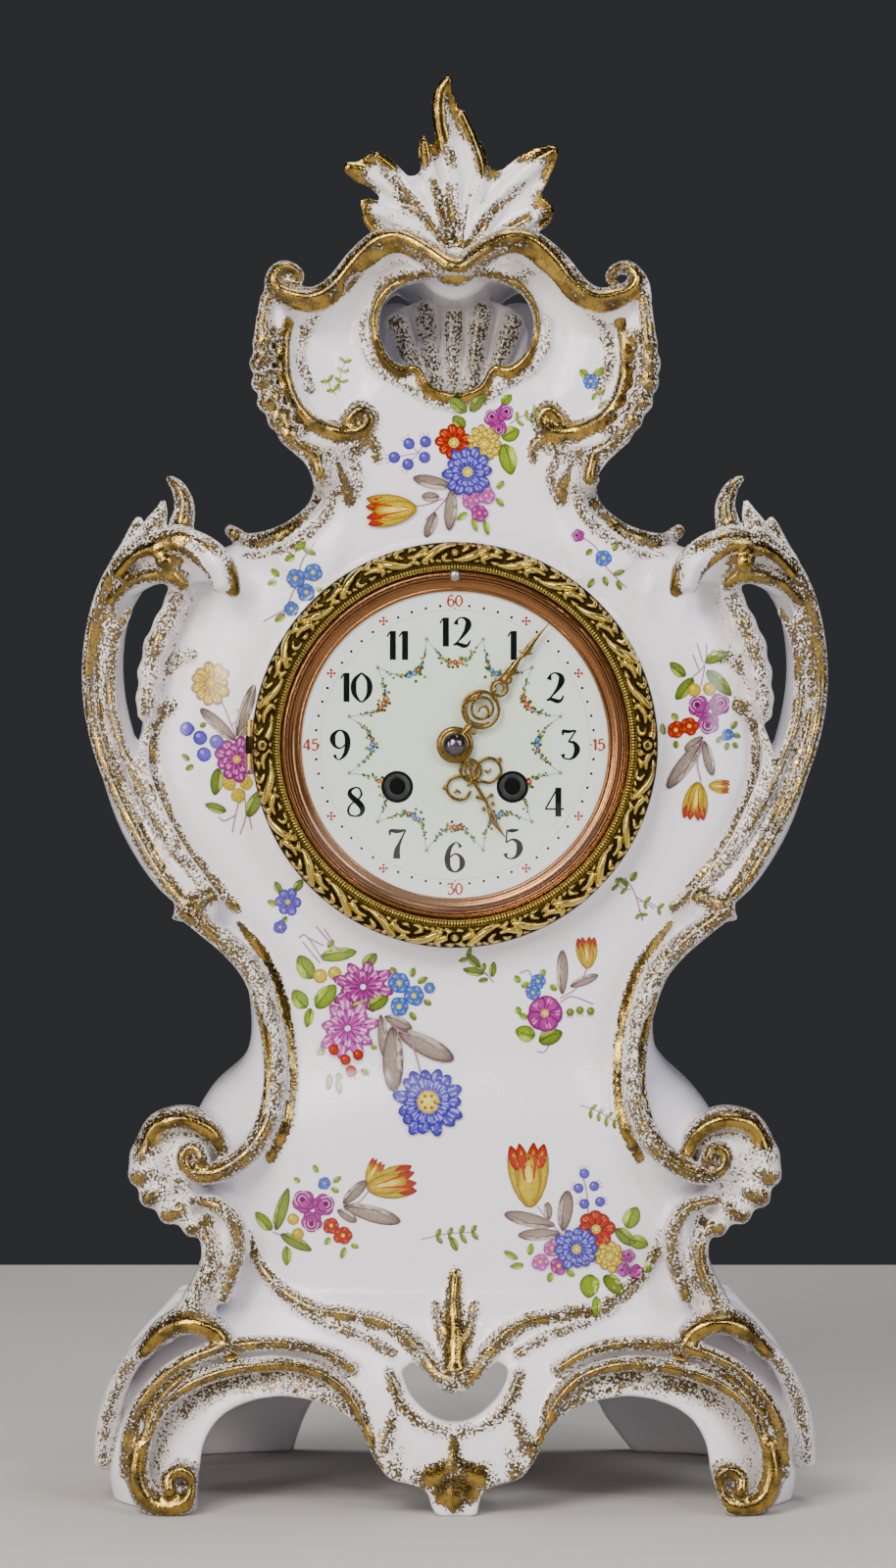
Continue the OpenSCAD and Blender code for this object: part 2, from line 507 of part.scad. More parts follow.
module bezel_glass() color("lightcyan", 0.35) at_dial() turned(0) polygon(concat(
    dome(bezel_sight_r - 0.6, glass_rise, glass_front_y),
    [[bezel_sight_r - 0.3, -glass_front_y], [glass_r, -glass_front_y], [glass_r, -glass_back_y],
    [bezel_sight_r - 0.3, -glass_back_y]],
    [for (i = [glass_steps : -1 : 0]) dome(bezel_sight_r - 1.6, glass_rise, glass_back_y)[i]]));

// Winding squares and the train: places of the arbors as seen from the front
winding_x = 17.1;
winding_z = -12.5;
tooth_addendum_share = 0.76;
leaf_addendum_share = 0.52;
tooth_root_depth_share = 1.20;
tooth_root_width_share = 0.27;
tooth_tip_width_share = 0.07;
leaf_root_width_share = 0.16;
leaf_tip_width_share = 0.07;
leaf_limit = 12;
barrel_teeth = 58;
barrel_module = 0.55;
second_leaves = 8;
second_teeth = 60;
second_module = 0.52;
centre_leaves = 8;
centre_teeth = 84;
centre_module = 0.36;
third_leaves = 7;
third_teeth = 77;
third_module = 0.32;
escape_leaves = 7;
escape_teeth = 38;
escape_tip_r = 9;
strike_second_teeth = 60;
strike_second_module = 0.40;
pin_leaves = 8;
pin_teeth = 60;
pin_module = 0.32;
locking_leaves = 7;
locking_teeth = 54;
locking_module = 0.26;
warning_leaves = 7;
warning_teeth = 48;
warning_module = 0.25;
fly_leaves = 7;
cannon_leaves = 12;
minute_teeth = 36;
cannon_module = 0.50;
minute_leaves = 10;
hour_teeth = 40;
hour_module = 0.48;
function span(m, a, b) = m * (a + b) / 2;
function polar(r, w) = [r * cos(w), r * sin(w)];
function bearing(a, b) = atan2(b[1] - a[1], b[0] - a[0]);
// The place of an arbor that is r1 from a and r2 from b, to the left of the line from a to b
function meet(a, r1, b, r2) = let (d = norm(b - a), w = acos((r1 * r1 + d * d - r2 * r2) / (2 * r1 * d)))
    a + polar(r1, bearing(a, b) + w);
centre_at = [0, 0];
going_at = [winding_x, winding_z];
strike_at = [-winding_x, winding_z];
second_at = meet(centre_at, span(second_module, second_teeth, centre_leaves),
    going_at, span(barrel_module, barrel_teeth, second_leaves));
third_at = polar(span(centre_module, centre_teeth, third_leaves), 90);
escape_at = third_at + polar(span(third_module, third_teeth, escape_leaves), 30);
anchor_at = [0, 30.5];
strike_second_at = strike_at + polar(span(barrel_module, barrel_teeth, second_leaves), 98);
pin_at = strike_second_at + polar(span(strike_second_module, strike_second_teeth, pin_leaves), 72);
locking_at = pin_at + polar(span(pin_module, pin_teeth, locking_leaves), 95);
warning_at = locking_at + polar(span(locking_module, locking_teeth, warning_leaves), 20);
fly_at = warning_at + polar(span(warning_module, warning_teeth, fly_leaves), 60);
hammer_at = [-33, 14];
minute_at = [0, span(cannon_module, cannon_leaves, minute_teeth)];

// Outline of a toothed wheel whose first tooth points along the bearing w
function teeth(n, m, w) = let (
    leaf = n <= leaf_limit, r = m * n / 2,
    low = r - m * tooth_root_depth_share,
    high = r + m * (leaf ? leaf_addendum_share : tooth_addendum_share),
    wide = (leaf ? leaf_root_width_share : tooth_root_width_share) * 360 / n,
    thin = (leaf ? leaf_tip_width_share : tooth_tip_width_share) * 360 / n)
    [for (i = [0 : n - 1], c = [[low, -wide], [high, -thin], [high, thin], [low, wide]])
        polar(c[0], w + 360 * i / n + c[1])];
spokes = 5;
hub_share = 0.24;
rim_share = 0.84;
spoke_share = 0.13;
module windows(r, back, t) {
    for (i = [0 : spokes - 1]) faced(back + cut, t + 2 * cut) polygon([
        for (k = [0 : 4]) polar(r * rim_share, 360 / spokes * (i + spoke_share + k / 4 * (1 - 2 * spoke_share))),
        for (k = [1 : -1 : 0]) polar(r * hub_share, 360 / spokes * (i + 0.3 + 0.4 * k))]);
}
module wheel(p, n, m, back, t, w = 0, open = true, hole = 0) {
    at_dial(p) difference() {
        faced(back, t) polygon(teeth(n, m, w));
        if (open) windows(m * n / 2 - m * tooth_root_depth_share, back, t);
        if (hole > 0) rod(back + cut, t + 2 * cut, hole);
    }
}
shoulder_gap = 0.2;
module arbor(p, r = arbor_r) {
    at_dial(p) {
        rod(back_plate_front - shoulder_gap, plate_gap - 2 * shoulder_gap, r);
        rod(back_plate_back, plate_gap + 2 * plate_t, pivot_r);
    }
}

// Levels of wheels and pinions between the plates, as shares of the gap, back edge first
drum_level_shares = [0.43, 0.04];
great_wheel_t = 1.8;
second_pinion_shares = [0.50, 0.36];
second_wheel_share = 0.87;
centre_pinion_shares = [0.91, 0.80];
centre_wheel_share = 0.75;
third_pinion_shares = [0.79, 0.67];
third_wheel_share = 0.57;
escape_pinion_shares = [0.60, 0.50];
escape_wheel_share = 0.30;
strike_second_share = 0.64;
pin_pinion_shares = [0.67, 0.58];
pin_wheel_share = 0.37;
locking_pinion_shares = [0.39, 0.30];
locking_wheel_share = 0.20;
warning_pinion_shares = [0.22, 0.15];
warning_wheel_share = 0.115;
fly_pinion_shares = [0.14, 0.05];
fly_shares = [0.80, 0.28];
module pinion(p, n, m, shares, w) {
    at_dial(p) faced(level(shares[0]), plate_gap * (shares[0] - shares[1])) polygon(teeth(n, m, w));
}
// A gap of the pinion faces the tooth of the wheel that drives it
function gap_to(p, q, n) = bearing(p, q) + 180 / n;

module going_second_wheel() color(brass) {
    arbor(second_at);
    pinion(second_at, second_leaves, barrel_module, second_pinion_shares,
        gap_to(second_at, going_at, second_leaves));
    wheel(second_at, second_teeth, second_module, level(second_wheel_share), wheel_t,
        bearing(second_at, centre_at));
}
module centre_wheel() color(brass) {
    at_dial() {
        rod(back_plate_back, plate_gap + 2 * plate_t, pivot_r);
        rod(back_plate_front - shoulder_gap, plate_gap - 2 * shoulder_gap, arbor_r + pivot_r);
        rod(front_plate_back, front_plate_back - centre_front_y, arbor_r);
    }
    pinion(centre_at, centre_leaves, second_module, centre_pinion_shares,
        gap_to(centre_at, second_at, centre_leaves));
    wheel(centre_at, centre_teeth, centre_module, level(centre_wheel_share), wheel_t,
        bearing(centre_at, third_at));
}
module third_wheel() color(brass) {
    arbor(third_at);
    pinion(third_at, third_leaves, centre_module, third_pinion_shares,
        gap_to(third_at, centre_at, third_leaves));
    wheel(third_at, third_teeth, third_module, level(third_wheel_share), wheel_t,
        bearing(third_at, escape_at));
}
escape_root_share = 0.86;
escape_lean = 3;
module escape_wheel() color(brass) {
    arbor(escape_at);
    pinion(escape_at, escape_leaves, third_module, escape_pinion_shares,
        gap_to(escape_at, third_at, escape_leaves));
    at_dial(escape_at) difference() {
        faced(level(escape_wheel_share), wheel_t) polygon([for (i = [0 : escape_teeth - 1]) let (
            w = 360 * i / escape_teeth, step = 360 / escape_teeth)
            each [polar(escape_tip_r * escape_root_share, w - step * 0.3), polar(escape_tip_r, w + escape_lean),
                polar(escape_tip_r * escape_root_share, w + escape_lean)]]);
        windows(escape_tip_r * escape_root_share, level(escape_wheel_share), wheel_t);
    }
}

// Barrels: a drum with its great wheel at the back, a lid at the front, and the spring inside
drum_wall = 1;
drum_r = barrel_module * barrel_teeth / 2 - 1.3;
drum_back_y = level(drum_level_shares[0]);
drum_front_y = level(drum_level_shares[1]);
module barrel(p, mesh_at) color(brass) {
    at_dial(p) difference() {
        union() {
            rod(drum_back_y, drum_back_y - drum_front_y, drum_r);
            faced(drum_back_y, great_wheel_t) polygon(teeth(barrel_teeth, barrel_module, bearing(p, mesh_at)));
        }
        rod(drum_back_y - great_wheel_t, drum_back_y - drum_front_y - great_wheel_t - drum_wall,
            drum_r - drum_wall);
        rod(drum_back_y + cut, drum_back_y - drum_front_y + 2 * cut, winding_r + running_gap);
    }
}
module going_barrel() { barrel(going_at, second_at); }
module strike_barrel() { barrel(strike_at, strike_second_at); }
square_side_share = 1.3;
square_l = 9;
winding_back_r = winding_r * 0.6;
winding_front_r = winding_r * 0.9;
hub_r = 4.6;
spring_gap = 0.5;
square_front_y = dial_front_y - 0.8;
module winding_arbor(p) color(steel) at_dial(p) {
    rod(back_plate_back, back_plate_back - drum_back_y, winding_back_r);
    rod(drum_back_y + shoulder_gap, drum_back_y + shoulder_gap - front_plate_front, winding_r);
    rod(drum_back_y - great_wheel_t - spring_gap, drum_back_y - drum_front_y - great_wheel_t - drum_wall
        - 2 * spring_gap, hub_r);
    rod(front_plate_front, front_plate_front - square_front_y - square_l * 0.2, winding_front_r);
    faced(square_front_y + square_l, square_l) square(winding_r * square_side_share, center = true);
}
module going_winding_arbor() { winding_arbor(going_at); }
module strike_winding_arbor() { winding_arbor(strike_at); }
spring_turns = 9;
spring_t = 0.45;
spring_outer_r = drum_r - drum_wall - spring_gap;
spring_inner_r = hub_r + spring_gap;
spring_facets = 12;
function coil(offset_r) = [for (i = [0 : spring_turns * spring_facets]) let (s = i / (spring_turns * spring_facets))
    polar(spring_inner_r + offset_r + (spring_outer_r - spring_inner_r - spring_t) * s, 360 * spring_turns * s)];
module mainspring(p) color(steel) at_dial(p)
    faced(drum_back_y - great_wheel_t - spring_gap, drum_back_y - drum_front_y - great_wheel_t - drum_wall
        - 2 * spring_gap) polygon(concat(coil(0), [for (i = [spring_turns * spring_facets : -1 : 0])
            coil(spring_t)[i]]));
module going_mainspring() { mainspring(going_at); }
module strike_mainspring() { mainspring(strike_at); }

// Ratchet wheels sit on the barrel arbors in front of the plate, each with its click
ratchet_teeth = 16;
ratchet_r = 6.4;
ratchet_root_share = 0.84;
ratchet_t = 1;
ratchet_gap = 0.3;
ratchet_back_y = front_plate_front - ratchet_gap;
module ratchet(p, side) color(steel) at_dial(p) difference() {
    faced(ratchet_back_y, ratchet_t) polygon([for (i = [0 : ratchet_teeth - 1]) let (w = 360 * i / ratchet_teeth)
        each [polar(ratchet_r * ratchet_root_share, side * (w + 1)), polar(ratchet_r, side * w)]]);
    rod(ratchet_back_y + cut, ratchet_t + 2 * cut, winding_front_r + running_gap);
}
module going_ratchet() { ratchet(going_at, 1); }
module strike_ratchet() { ratchet(strike_at, -1); }
click_pivot_r = 1;
click_gap = 0.35;
click_w = 1.8;
click_bar_w = 1.2;
function click_at(side) = [side * (winding_x + 6.2), winding_z - 8.8];
function click_tip(side) = [side * winding_x, winding_z]
    + polar(ratchet_r + click_gap + click_bar_w / 2, side > 0 ? -92 : 272);
module click(side) color(steel) {
    p = click_at(side);
    tip = click_tip(side);
    w = bearing(p, tip);
    at_dial() difference() {
        faced(ratchet_back_y, ratchet_t) polygon([
            for (k = [0 : 12]) p + polar(click_w, w + 60 + 20 * k),
            tip + polar(click_bar_w / 2, w - 90), tip + polar(click_bar_w / 2, w + 90)]);
        translate([p[0], 0, p[1]]) rod(ratchet_back_y + cut, ratchet_t + 2 * cut, click_pivot_r + running_gap);
    }
}
module going_click() { click(1); }
module strike_click() { click(-1); }

// Plates with every pivot hole, and the posts that stand on the front one
plate_r = plate_d / 2;
plain_holes = [second_at, third_at, escape_at, anchor_at, strike_second_at, pin_at, locking_at, warning_at, fly_at,
    hammer_at];
pillar_r = 2.4;
pillar_places = [for (w = [-60, -120, 22, 190]) polar(plate_r - 4.2, w)];
screw_r = 1;
seat_screw_places = [for (w = [0, 125, 248]) polar(plate_r - 1.4, w)];
post_r = 1.1;
module plate_holes(back, front, barrel_r) {
    for (p = plain_holes) at_dial(p) rod(back + cut, back - front + 2 * cut, pivot_r + running_gap);
    for (p = [going_at, strike_at]) at_dial(p) rod(back + cut, back - front + 2 * cut, barrel_r + running_gap);
    for (p = pillar_places) at_dial(p) rod(back + cut, back - front + 2 * cut, screw_r + running_gap);
}
module front_plate() color(brass) {
    difference() {
        at_dial() rod(front_plate_back, plate_t, plate_r);
        plate_holes(front_plate_back, front_plate_front, winding_r);
        at_dial() rod(front_plate_back + cut, plate_t + 2 * cut, arbor_r + running_gap);
        for (p = seat_screw_places) at_dial(p)
            rod(front_plate_back + cut, plate_t + 2 * cut, screw_r * 0.8 + running_gap);
    }
    at_dial(minute_at) rod(front_plate_front, post_l, post_r);
    for (side = [1, -1]) at_dial(click_at(side)) rod(front_plate_front, ratchet_gap + ratchet_t, click_pivot_r);
}
module back_plate() color(brass) difference() {
    at_dial() rod(back_plate_back, plate_t, plate_r);
    plate_holes(back_plate_back, back_plate_front, winding_back_r);
    at_dial() rod(back_plate_back + cut, plate_t + 2 * cut, pivot_r + running_gap);
    for (p = [anchor_at, strike_second_at, hammer_at]) at_dial(p)
        rod(back_plate_back + cut, plate_t + 2 * cut, arbor_r + running_gap);
}
pillar_end_l = 1.2;
module pillars() color(brass) for (p = pillar_places) at_dial(p) {
    rod(back_plate_front, plate_gap, pillar_r);
    rod(back_plate_front + plate_t + pillar_end_l, plate_gap + 2 * plate_t + 1.5 * pillar_end_l, screw_r);
}
nut_r = 2.2;
module pillar_nuts() color(steel) for (p = pillar_places) at_dial(p) difference() {
    translate([0, back_plate_back + pillar_end_l, 0]) rotate([90, 0, 0]) cylinder(h = pillar_end_l, r = nut_r, $fn = 6);
    rod(back_plate_back + pillar_end_l + cut, pillar_end_l + 2 * cut, screw_r);
}
module seat_screws() color(steel) for (p = seat_screw_places) at_dial(p) {
    rod(front_plate_back, plate_t, screw_r * 0.8);
    rod(front_plate_back + pillar_end_l, pillar_end_l, screw_r * 1.4);
}

// Motion work in front of the plate
motion_gap = 0.3;
minute_wheel_t = 1;
cannon_bore_r = arbor_r + running_gap;
cannon_r = 1.9;
cannon_level = front_plate_front - motion_gap;
post_l = 3.6;
hour_wheel_back = cannon_level - minute_wheel_t - 2 * motion_gap;
hour_tube_r = 3;
hour_hand_t = 0.7;
minute_hand_t = 0.7;
hour_hand_back = dial_front_y - 0.8;
minute_hand_back = hour_hand_back - hour_hand_t - 0.8;
collet_t = 1.4;
centre_front_y = minute_hand_back - minute_hand_t - collet_t * 0.5;
module cannon_pinion() color(brass) {
    difference() {
        at_dial() {
            faced(cannon_level, minute_wheel_t + motion_gap) polygon(teeth(cannon_leaves, cannon_module,
                gap_to(centre_at, minute_at, cannon_leaves)));
            rod(cannon_level, cannon_level - minute_hand_back, cannon_r);
            rod(minute_hand_back, minute_hand_t, cannon_r * 0.8);
        }
        at_dial() rod(cannon_level + cut, cannon_level - centre_front_y + 2 * cut, cannon_bore_r);
    }
}
module minute_wheel() color(brass) difference() {
    union() {
        wheel(minute_at, minute_teeth, cannon_module, cannon_level, minute_wheel_t, bearing(minute_at, centre_at));
        at_dial(minute_at) faced(cannon_level - minute_wheel_t, post_l - minute_wheel_t - motion_gap)
            polygon(teeth(minute_leaves, hour_module, gap_to(minute_at, centre_at, minute_leaves)));
    }
    at_dial(minute_at) rod(cannon_level + cut, post_l + 2 * cut, post_r + running_gap);
}
module hour_wheel() color(brass) {
    difference() {
        union() {
            wheel(centre_at, hour_teeth, hour_module, hour_wheel_back, minute_wheel_t,
                bearing(centre_at, minute_at));
            at_dial() rod(hour_wheel_back, hour_wheel_back - hour_hand_back + hour_hand_t, hour_tube_r);
        }
        at_dial() rod(hour_wheel_back + cut, hour_wheel_back - hour_hand_back + hour_hand_t + 2 * cut,
            cannon_r + running_gap);
    }
}

// Hands at the time the photograph shows, about six minutes past five
minute_angle = 90 - 37.8;
hour_angle = 90 - 150.7;
function mirror_y(p) = concat(p, [for (i = [len(p) - 1 : -1 : 0]) [p[i][0], -p[i][1]]]);
hour_hand_shares = [
    [0.00, 0.13], [0.13, 0.12], [0.20, 0.04], [0.30, 0.05], [0.36, 0.15], [0.46, 0.17], [0.54, 0.08],
    [0.60, 0.06], [0.66, 0.14], [0.72, 0.12], [0.78, 0.04], [0.90, 0.035], [0.99, 0.008]];
minute_hand_shares = [
    [0.00, 0.080], [0.08, 0.075], [0.14, 0.025], [0.26, 0.030], [0.30, 0.085], [0.37, 0.095], [0.43, 0.045],
    [0.50, 0.030], [0.56, 0.060], [0.62, 0.050], [0.68, 0.024], [0.84, 0.020], [0.99, 0.005]];
module hand(shares, l, back, t, angle, bore) color(gilt) at_dial() difference() {
    union() {
        faced(back, t) rotate(angle) polygon([for (q = mirror_y(shares)) q * l]);
        rod(back, t, bore + 1.6);
    }
    rod(back + cut, t + 2 * cut, bore);
    faced(back + cut, t + 2 * cut) rotate(angle) polygon([
        for (i = [3 : 6]) [shares[i][0] * l, shares[i][1] * l * 0.45],
        for (i = [6 : -1 : 3]) [shares[i][0] * l, -shares[i][1] * l * 0.45]]);
}
module hour_hand() {
    hand(hour_hand_shares, hour_hand_l, hour_hand_back, hour_hand_t, hour_angle, hour_tube_r);
}
module minute_hand() {
    hand(minute_hand_shares, minute_hand_l, minute_hand_back, minute_hand_t, minute_angle, cannon_r * 0.8);
}
module hand_collet() color(gilt) at_dial() difference() {
    turned(minute_hand_back - minute_hand_t) polygon([[0, 0], [cannon_r * 1.3, 0], [cannon_r * 1.3, collet_t * 0.4],
        [cannon_r * 0.7, collet_t], [0, collet_t]]);
    rod(minute_hand_back - minute_hand_t + cut, cut + collet_t * 0.7, cannon_bore_r);
}
module dial() color("honeydew") difference() {
    union() {
        at_dial() rod(dial_back_y, dial_t, dial_r);
    }
    at_dial() rod(dial_back_y + cut, dial_t + 2 * cut, hour_tube_r + 0.6);
    for (p = [going_at, strike_at]) at_dial(p) rod(dial_back_y + cut, dial_t + 2 * cut, winding_hole_r);
}

// Anchor across the escape wheel, and the crutch that drives the pendulum behind the plate
anchor_gap = 0.45;
anchor_t = 2;
pallet_w = 1.6;
anchor_arm_w = 1.7;
pallet_bearing_shares = [-0.86, 0.86];
function pallet_angle(side) = let (d = norm(anchor_at - escape_at))
    bearing(escape_at, anchor_at) + side * acos(escape_tip_r / d) * 0.98;
function pallet_at(side) = escape_at + polar(escape_tip_r + anchor_gap + pallet_w, pallet_angle(side));
function elbow_at(side) = escape_at + polar(escape_tip_r + anchor_gap + 2 * pallet_w,
    pallet_angle(side) * 0.45 + bearing(escape_at, anchor_at) * 0.55);
crutch_y = back_plate_back + 3.2;
crutch_t = 1;
crutch_l = 24;
rod_w = 3;
rod_t = 0.9;
module bar_2d(a, b, w) {
    polygon([a + polar(w / 2, bearing(a, b) + 90), b + polar(w / 2, bearing(a, b) + 90),
        b + polar(w / 2, bearing(a, b) - 90), a + polar(w / 2, bearing(a, b) - 90)]);
}
module anchor() color(steel) {
    arbor(anchor_at);
    at_dial(anchor_at) rod(crutch_y + crutch_t, crutch_y + crutch_t - back_plate_front, arbor_r);
    at_dial() {
        faced(level(escape_wheel_share) + (anchor_t - wheel_t) / 2, anchor_t) union() {
            translate(anchor_at) circle(arbor_r * 2.2);
            for (side = [-1, 1]) {
                bar_2d(anchor_at, elbow_at(side), anchor_arm_w);
                bar_2d(elbow_at(side), pallet_at(side), anchor_arm_w);
                translate(elbow_at(side)) circle(anchor_arm_w / 2);
                translate(pallet_at(side)) circle(pallet_w * 0.9);
            }
        }
    }
}
fork_gap = 0.05;
fork_l = 5;
fork_y = crutch_y + crutch_t + 1.6;
module crutch() color(steel) {
    at_dial(anchor_at) difference() {
        union() {
            rod(crutch_y, crutch_t, arbor_r * 2.4);
            faced(crutch_y, crutch_t) bar_2d([0, 0], [0, -crutch_l], 2.2);
        }
        rod(crutch_y + cut, crutch_t + 2 * cut, arbor_r);
    }
    at_dial(anchor_at) for (side = [-1, 1])
        faced(fork_y + rod_t + 0.5, fork_y + rod_t + 0.5 - crutch_y + crutch_t)
            translate([side * (rod_w / 2 + fork_gap + 0.5), -crutch_l]) square([1, fork_l * 0.4], center = true);
    at_dial(anchor_at) faced(crutch_y, crutch_t) translate([0, -crutch_l])
        square([rod_w + 2 * fork_gap + 2, fork_l * 0.4], center = true);
}

// Back cock, suspension and pendulum
cock_y = fork_y + rod_t + 2.4;
cock_t = 2;
cock_w = 16;
cock_drop = 3.4;
spring_l = 6;
spring_w = 4;
spring_leaf_t = 0.2;
block_h = 4;
block_t = 1.8;
hook_h = 5;
suspension_y = fork_y + rod_t / 2;
module back_cock() color(brass) difference() {
    at_dial(anchor_at) {
        faced(cock_y + cock_t, cock_t) translate([0, (cock_drop + block_h) / 2])
            square([cock_w, cock_drop * 3 + block_h], center = true);
        for (side = [-1, 1]) translate([side * (cock_w / 2 - 1.5), 0, cock_drop])
            rod(cock_y, cock_y - back_plate_back, 1.5);
        translate([0, 0, cock_drop + block_h / 2])
            rod(cock_y, cock_y - suspension_y - block_t / 2, 1.4);
    }
    at_dial(anchor_at) rod(cock_y + cock_t + cut, cock_t + 2 * cut, arbor_r + 0.3);
}
module suspension_spring() color(steel) at_dial(anchor_at) {
    faced(suspension_y + block_t / 2, block_t) translate([0, cock_drop + block_h / 2])
        square([spring_w + 2, block_h], center = true);
    faced(suspension_y + spring_leaf_t / 2, spring_leaf_t) translate([0, cock_drop / 2 - 1])
        square([spring_w, cock_drop + 2], center = true);
}
bob_z = dial_z + anchor_at[1] - pendulum_l;
bob_t = 8;
bob_lip = 1.6;
thread_r = 0.9;
thread_l = 14;
rating_nut_t = 2.4;
rating_nut_r = 4;
rod_top_share = 2.2;
rod_y = suspension_y;
module pendulum_rod() color(steel) {
    at_dial(anchor_at) faced(rod_y + rod_t / 2, rod_t) translate([-rod_w / 2, -pendulum_l + bob_d / 2 + 3])
        square([rod_w, pendulum_l - bob_d / 2 - 3 - rod_top_share]);
    translate([0, rod_y, bob_z - bob_d / 2 - thread_l]) cylinder(h = thread_l + bob_d + 3.2, r = thread_r);
}
module pendulum_bob() color(brass) translate([0, rod_y, bob_z]) difference() {
    rotate([90, 0, 0]) rotate_extrude() polygon([[0, -bob_t / 2], [bob_d / 2 - bob_lip, -bob_t / 4],
        [bob_d / 2, -bob_lip / 2], [bob_d / 2, bob_lip / 2], [bob_d / 2 - bob_lip, bob_t / 4], [0, bob_t / 2]]);
    translate([0, 0, -bob_d / 2 - cut]) cylinder(h = bob_d + 2 * cut, r = thread_r + running_gap);
}
nut_z = bob_z - bob_d / 2 - rating_nut_t - 0.1;
module rating_nut() color(brass) translate([0, rod_y, nut_z]) difference() {
    cylinder(h = rating_nut_t, r = rating_nut_r);
    translate([0, 0, -cut]) cylinder(h = rating_nut_t + 2 * cut, r = thread_r + running_gap);
}

// Strike train
count_r = 13;
count_notch = 1.2;
count_t = 1.2;
count_y = back_plate_back + 0.4 + count_t;
hours = 12;
strokes_in_all = 90;
function strokes_before(h) = h * (h - 1) / 2 + h;
module strike_second_wheel() color(brass) {
    arbor(strike_second_at);
    at_dial(strike_second_at) rod(count_y + count_t, count_y + count_t - back_plate_front, arbor_r);
    pinion(strike_second_at, second_leaves, barrel_module, second_pinion_shares,
        gap_to(strike_second_at, strike_at, second_leaves));
    wheel(strike_second_at, strike_second_teeth, strike_second_module, level(strike_second_share), wheel_t,
        bearing(strike_second_at, pin_at));
}
module count_wheel() color(brass) at_dial(strike_second_at) difference() {
    rod(count_y, count_t, count_r);
    for (h = [1 : hours]) faced(count_y + cut, count_t + 2 * cut) rotate(360 * strokes_before(h) / strokes_in_all)
        translate([count_r, 0]) square([2 * count_notch, count_notch], center = true);
    rod(count_y + cut, count_t + 2 * cut, arbor_r);
}
pins = 10;
pin_r = 0.4;
pin_l = 3;
module pin_wheel() color(brass) {
    arbor(pin_at);
    pinion(pin_at, pin_leaves, strike_second_module, pin_pinion_shares,
        gap_to(pin_at, strike_second_at, pin_leaves));
    wheel(pin_at, pin_teeth, pin_module, level(pin_wheel_share), wheel_t, bearing(pin_at, locking_at));
    for (i = [0 : pins - 1]) at_dial(pin_at + polar(pin_module * pin_teeth / 2 * 0.88, 360 / pins * (i + 0.5)))
        rod(level(pin_wheel_share) + pin_l, pin_l + wheel_t / 2, pin_r);
}
module locking_wheel() color(brass) {
    arbor(locking_at);
    pinion(locking_at, locking_leaves, pin_module, locking_pinion_shares,
        gap_to(locking_at, pin_at, locking_leaves));
    wheel(locking_at, locking_teeth, locking_module, level(locking_wheel_share), wheel_t * 0.8,
        bearing(locking_at, warning_at));
}
module warning_wheel() color(brass) {
    arbor(warning_at, arbor_r * 0.8);
    pinion(warning_at, warning_leaves, locking_module, warning_pinion_shares,
        gap_to(warning_at, locking_at, warning_leaves));
    wheel(warning_at, warning_teeth, warning_module, level(warning_wheel_share), wheel_t * 0.8,
        bearing(warning_at, fly_at));
}
fly_w = 6.8;
fly_t = 0.5;
module fly() color(brass) {
    arbor(fly_at, arbor_r * 0.75);
    pinion(fly_at, fly_leaves, warning_module, fly_pinion_shares, gap_to(fly_at, warning_at, fly_leaves));
    at_dial(fly_at) faced(level(fly_shares[0]), plate_gap * (fly_shares[0] - fly_shares[1]))
        square([fly_w, fly_t], center = true);
}

// Hammer on the left and the bell behind the movement
bell_r = bell_d / 2;
bell_rim_y = cock_y + cock_t + 2.6;
bell_h = 17;
bell_curve_share = 0.45;
hammer_head_r = 3;
hammer_head_l = 7;
hammer_gap = 0.6;
hammer_arm_y = back_plate_back + 1.4;
hammer_tail = polar(6.2, 20);
hammer_head_at = polar(bell_r + hammer_gap + hammer_head_r, 176);
module hammer() color(steel) {
    arbor(hammer_at);
    at_dial(hammer_at) rod(hammer_arm_y + 1.2, hammer_arm_y + 1.2 - back_plate_front, arbor_r);
    at_dial() faced(level(pin_wheel_share) + pin_l - 0.4, 1.2) bar_2d(hammer_at, hammer_at + hammer_tail, 1.6);
    at_dial() faced(hammer_arm_y + 1.2, 1.2) {
        translate(hammer_at) circle(2);
        bar_2d(hammer_at, hammer_head_at, 2);
    }
    at_dial(hammer_head_at) rod(bell_rim_y + hammer_head_l, bell_rim_y + hammer_head_l - hammer_arm_y, 1);
    at_dial(hammer_head_at) rod(bell_rim_y + hammer_head_l, hammer_head_l, hammer_head_r);
}
bell_bolt_r = 1.5;
module bell() color("#b9bcc2") at_dial() difference() {
    translate([0, bell_rim_y, 0]) rotate([-90, 0, 0]) rotate_extrude() polygon(concat(
        [for (i = [0 : 8]) let (w = 90 * i / 8) [bell_r * (1 - bell_curve_share * (1 - cos(w))),
            bell_h * sin(w)]],
        [[0, bell_h], [0, bell_h - bell_t]],
        [for (i = [8 : -1 : 0]) let (w = 90 * i / 8) [bell_r * (1 - bell_curve_share * (1 - cos(w))) - bell_t,
            (bell_h - bell_t) * sin(w)]]));
    rod(bell_rim_y + bell_h + cut, bell_h, bell_bolt_r);
}
stand_top_y = bell_rim_y + bell_h - bell_t;
stand_foot = [12, -3];
module bell_stand() color(steel) {
    at_dial(stand_foot) rod(stand_top_y, stand_top_y - back_plate_back, 1.8);
    at_dial(stand_foot) rod(back_plate_back + 1.5, 1.5, 4);
    at_dial() faced(stand_top_y - 0.2, 2) {
        bar_2d(stand_foot, [0, 0], 3.6);
        circle(3);
    }
    at_dial() rod(stand_top_y + bell_t + 3.6, bell_t + 4, bell_bolt_r - running_gap);
    at_dial() rod(stand_top_y, 1, 3);
}
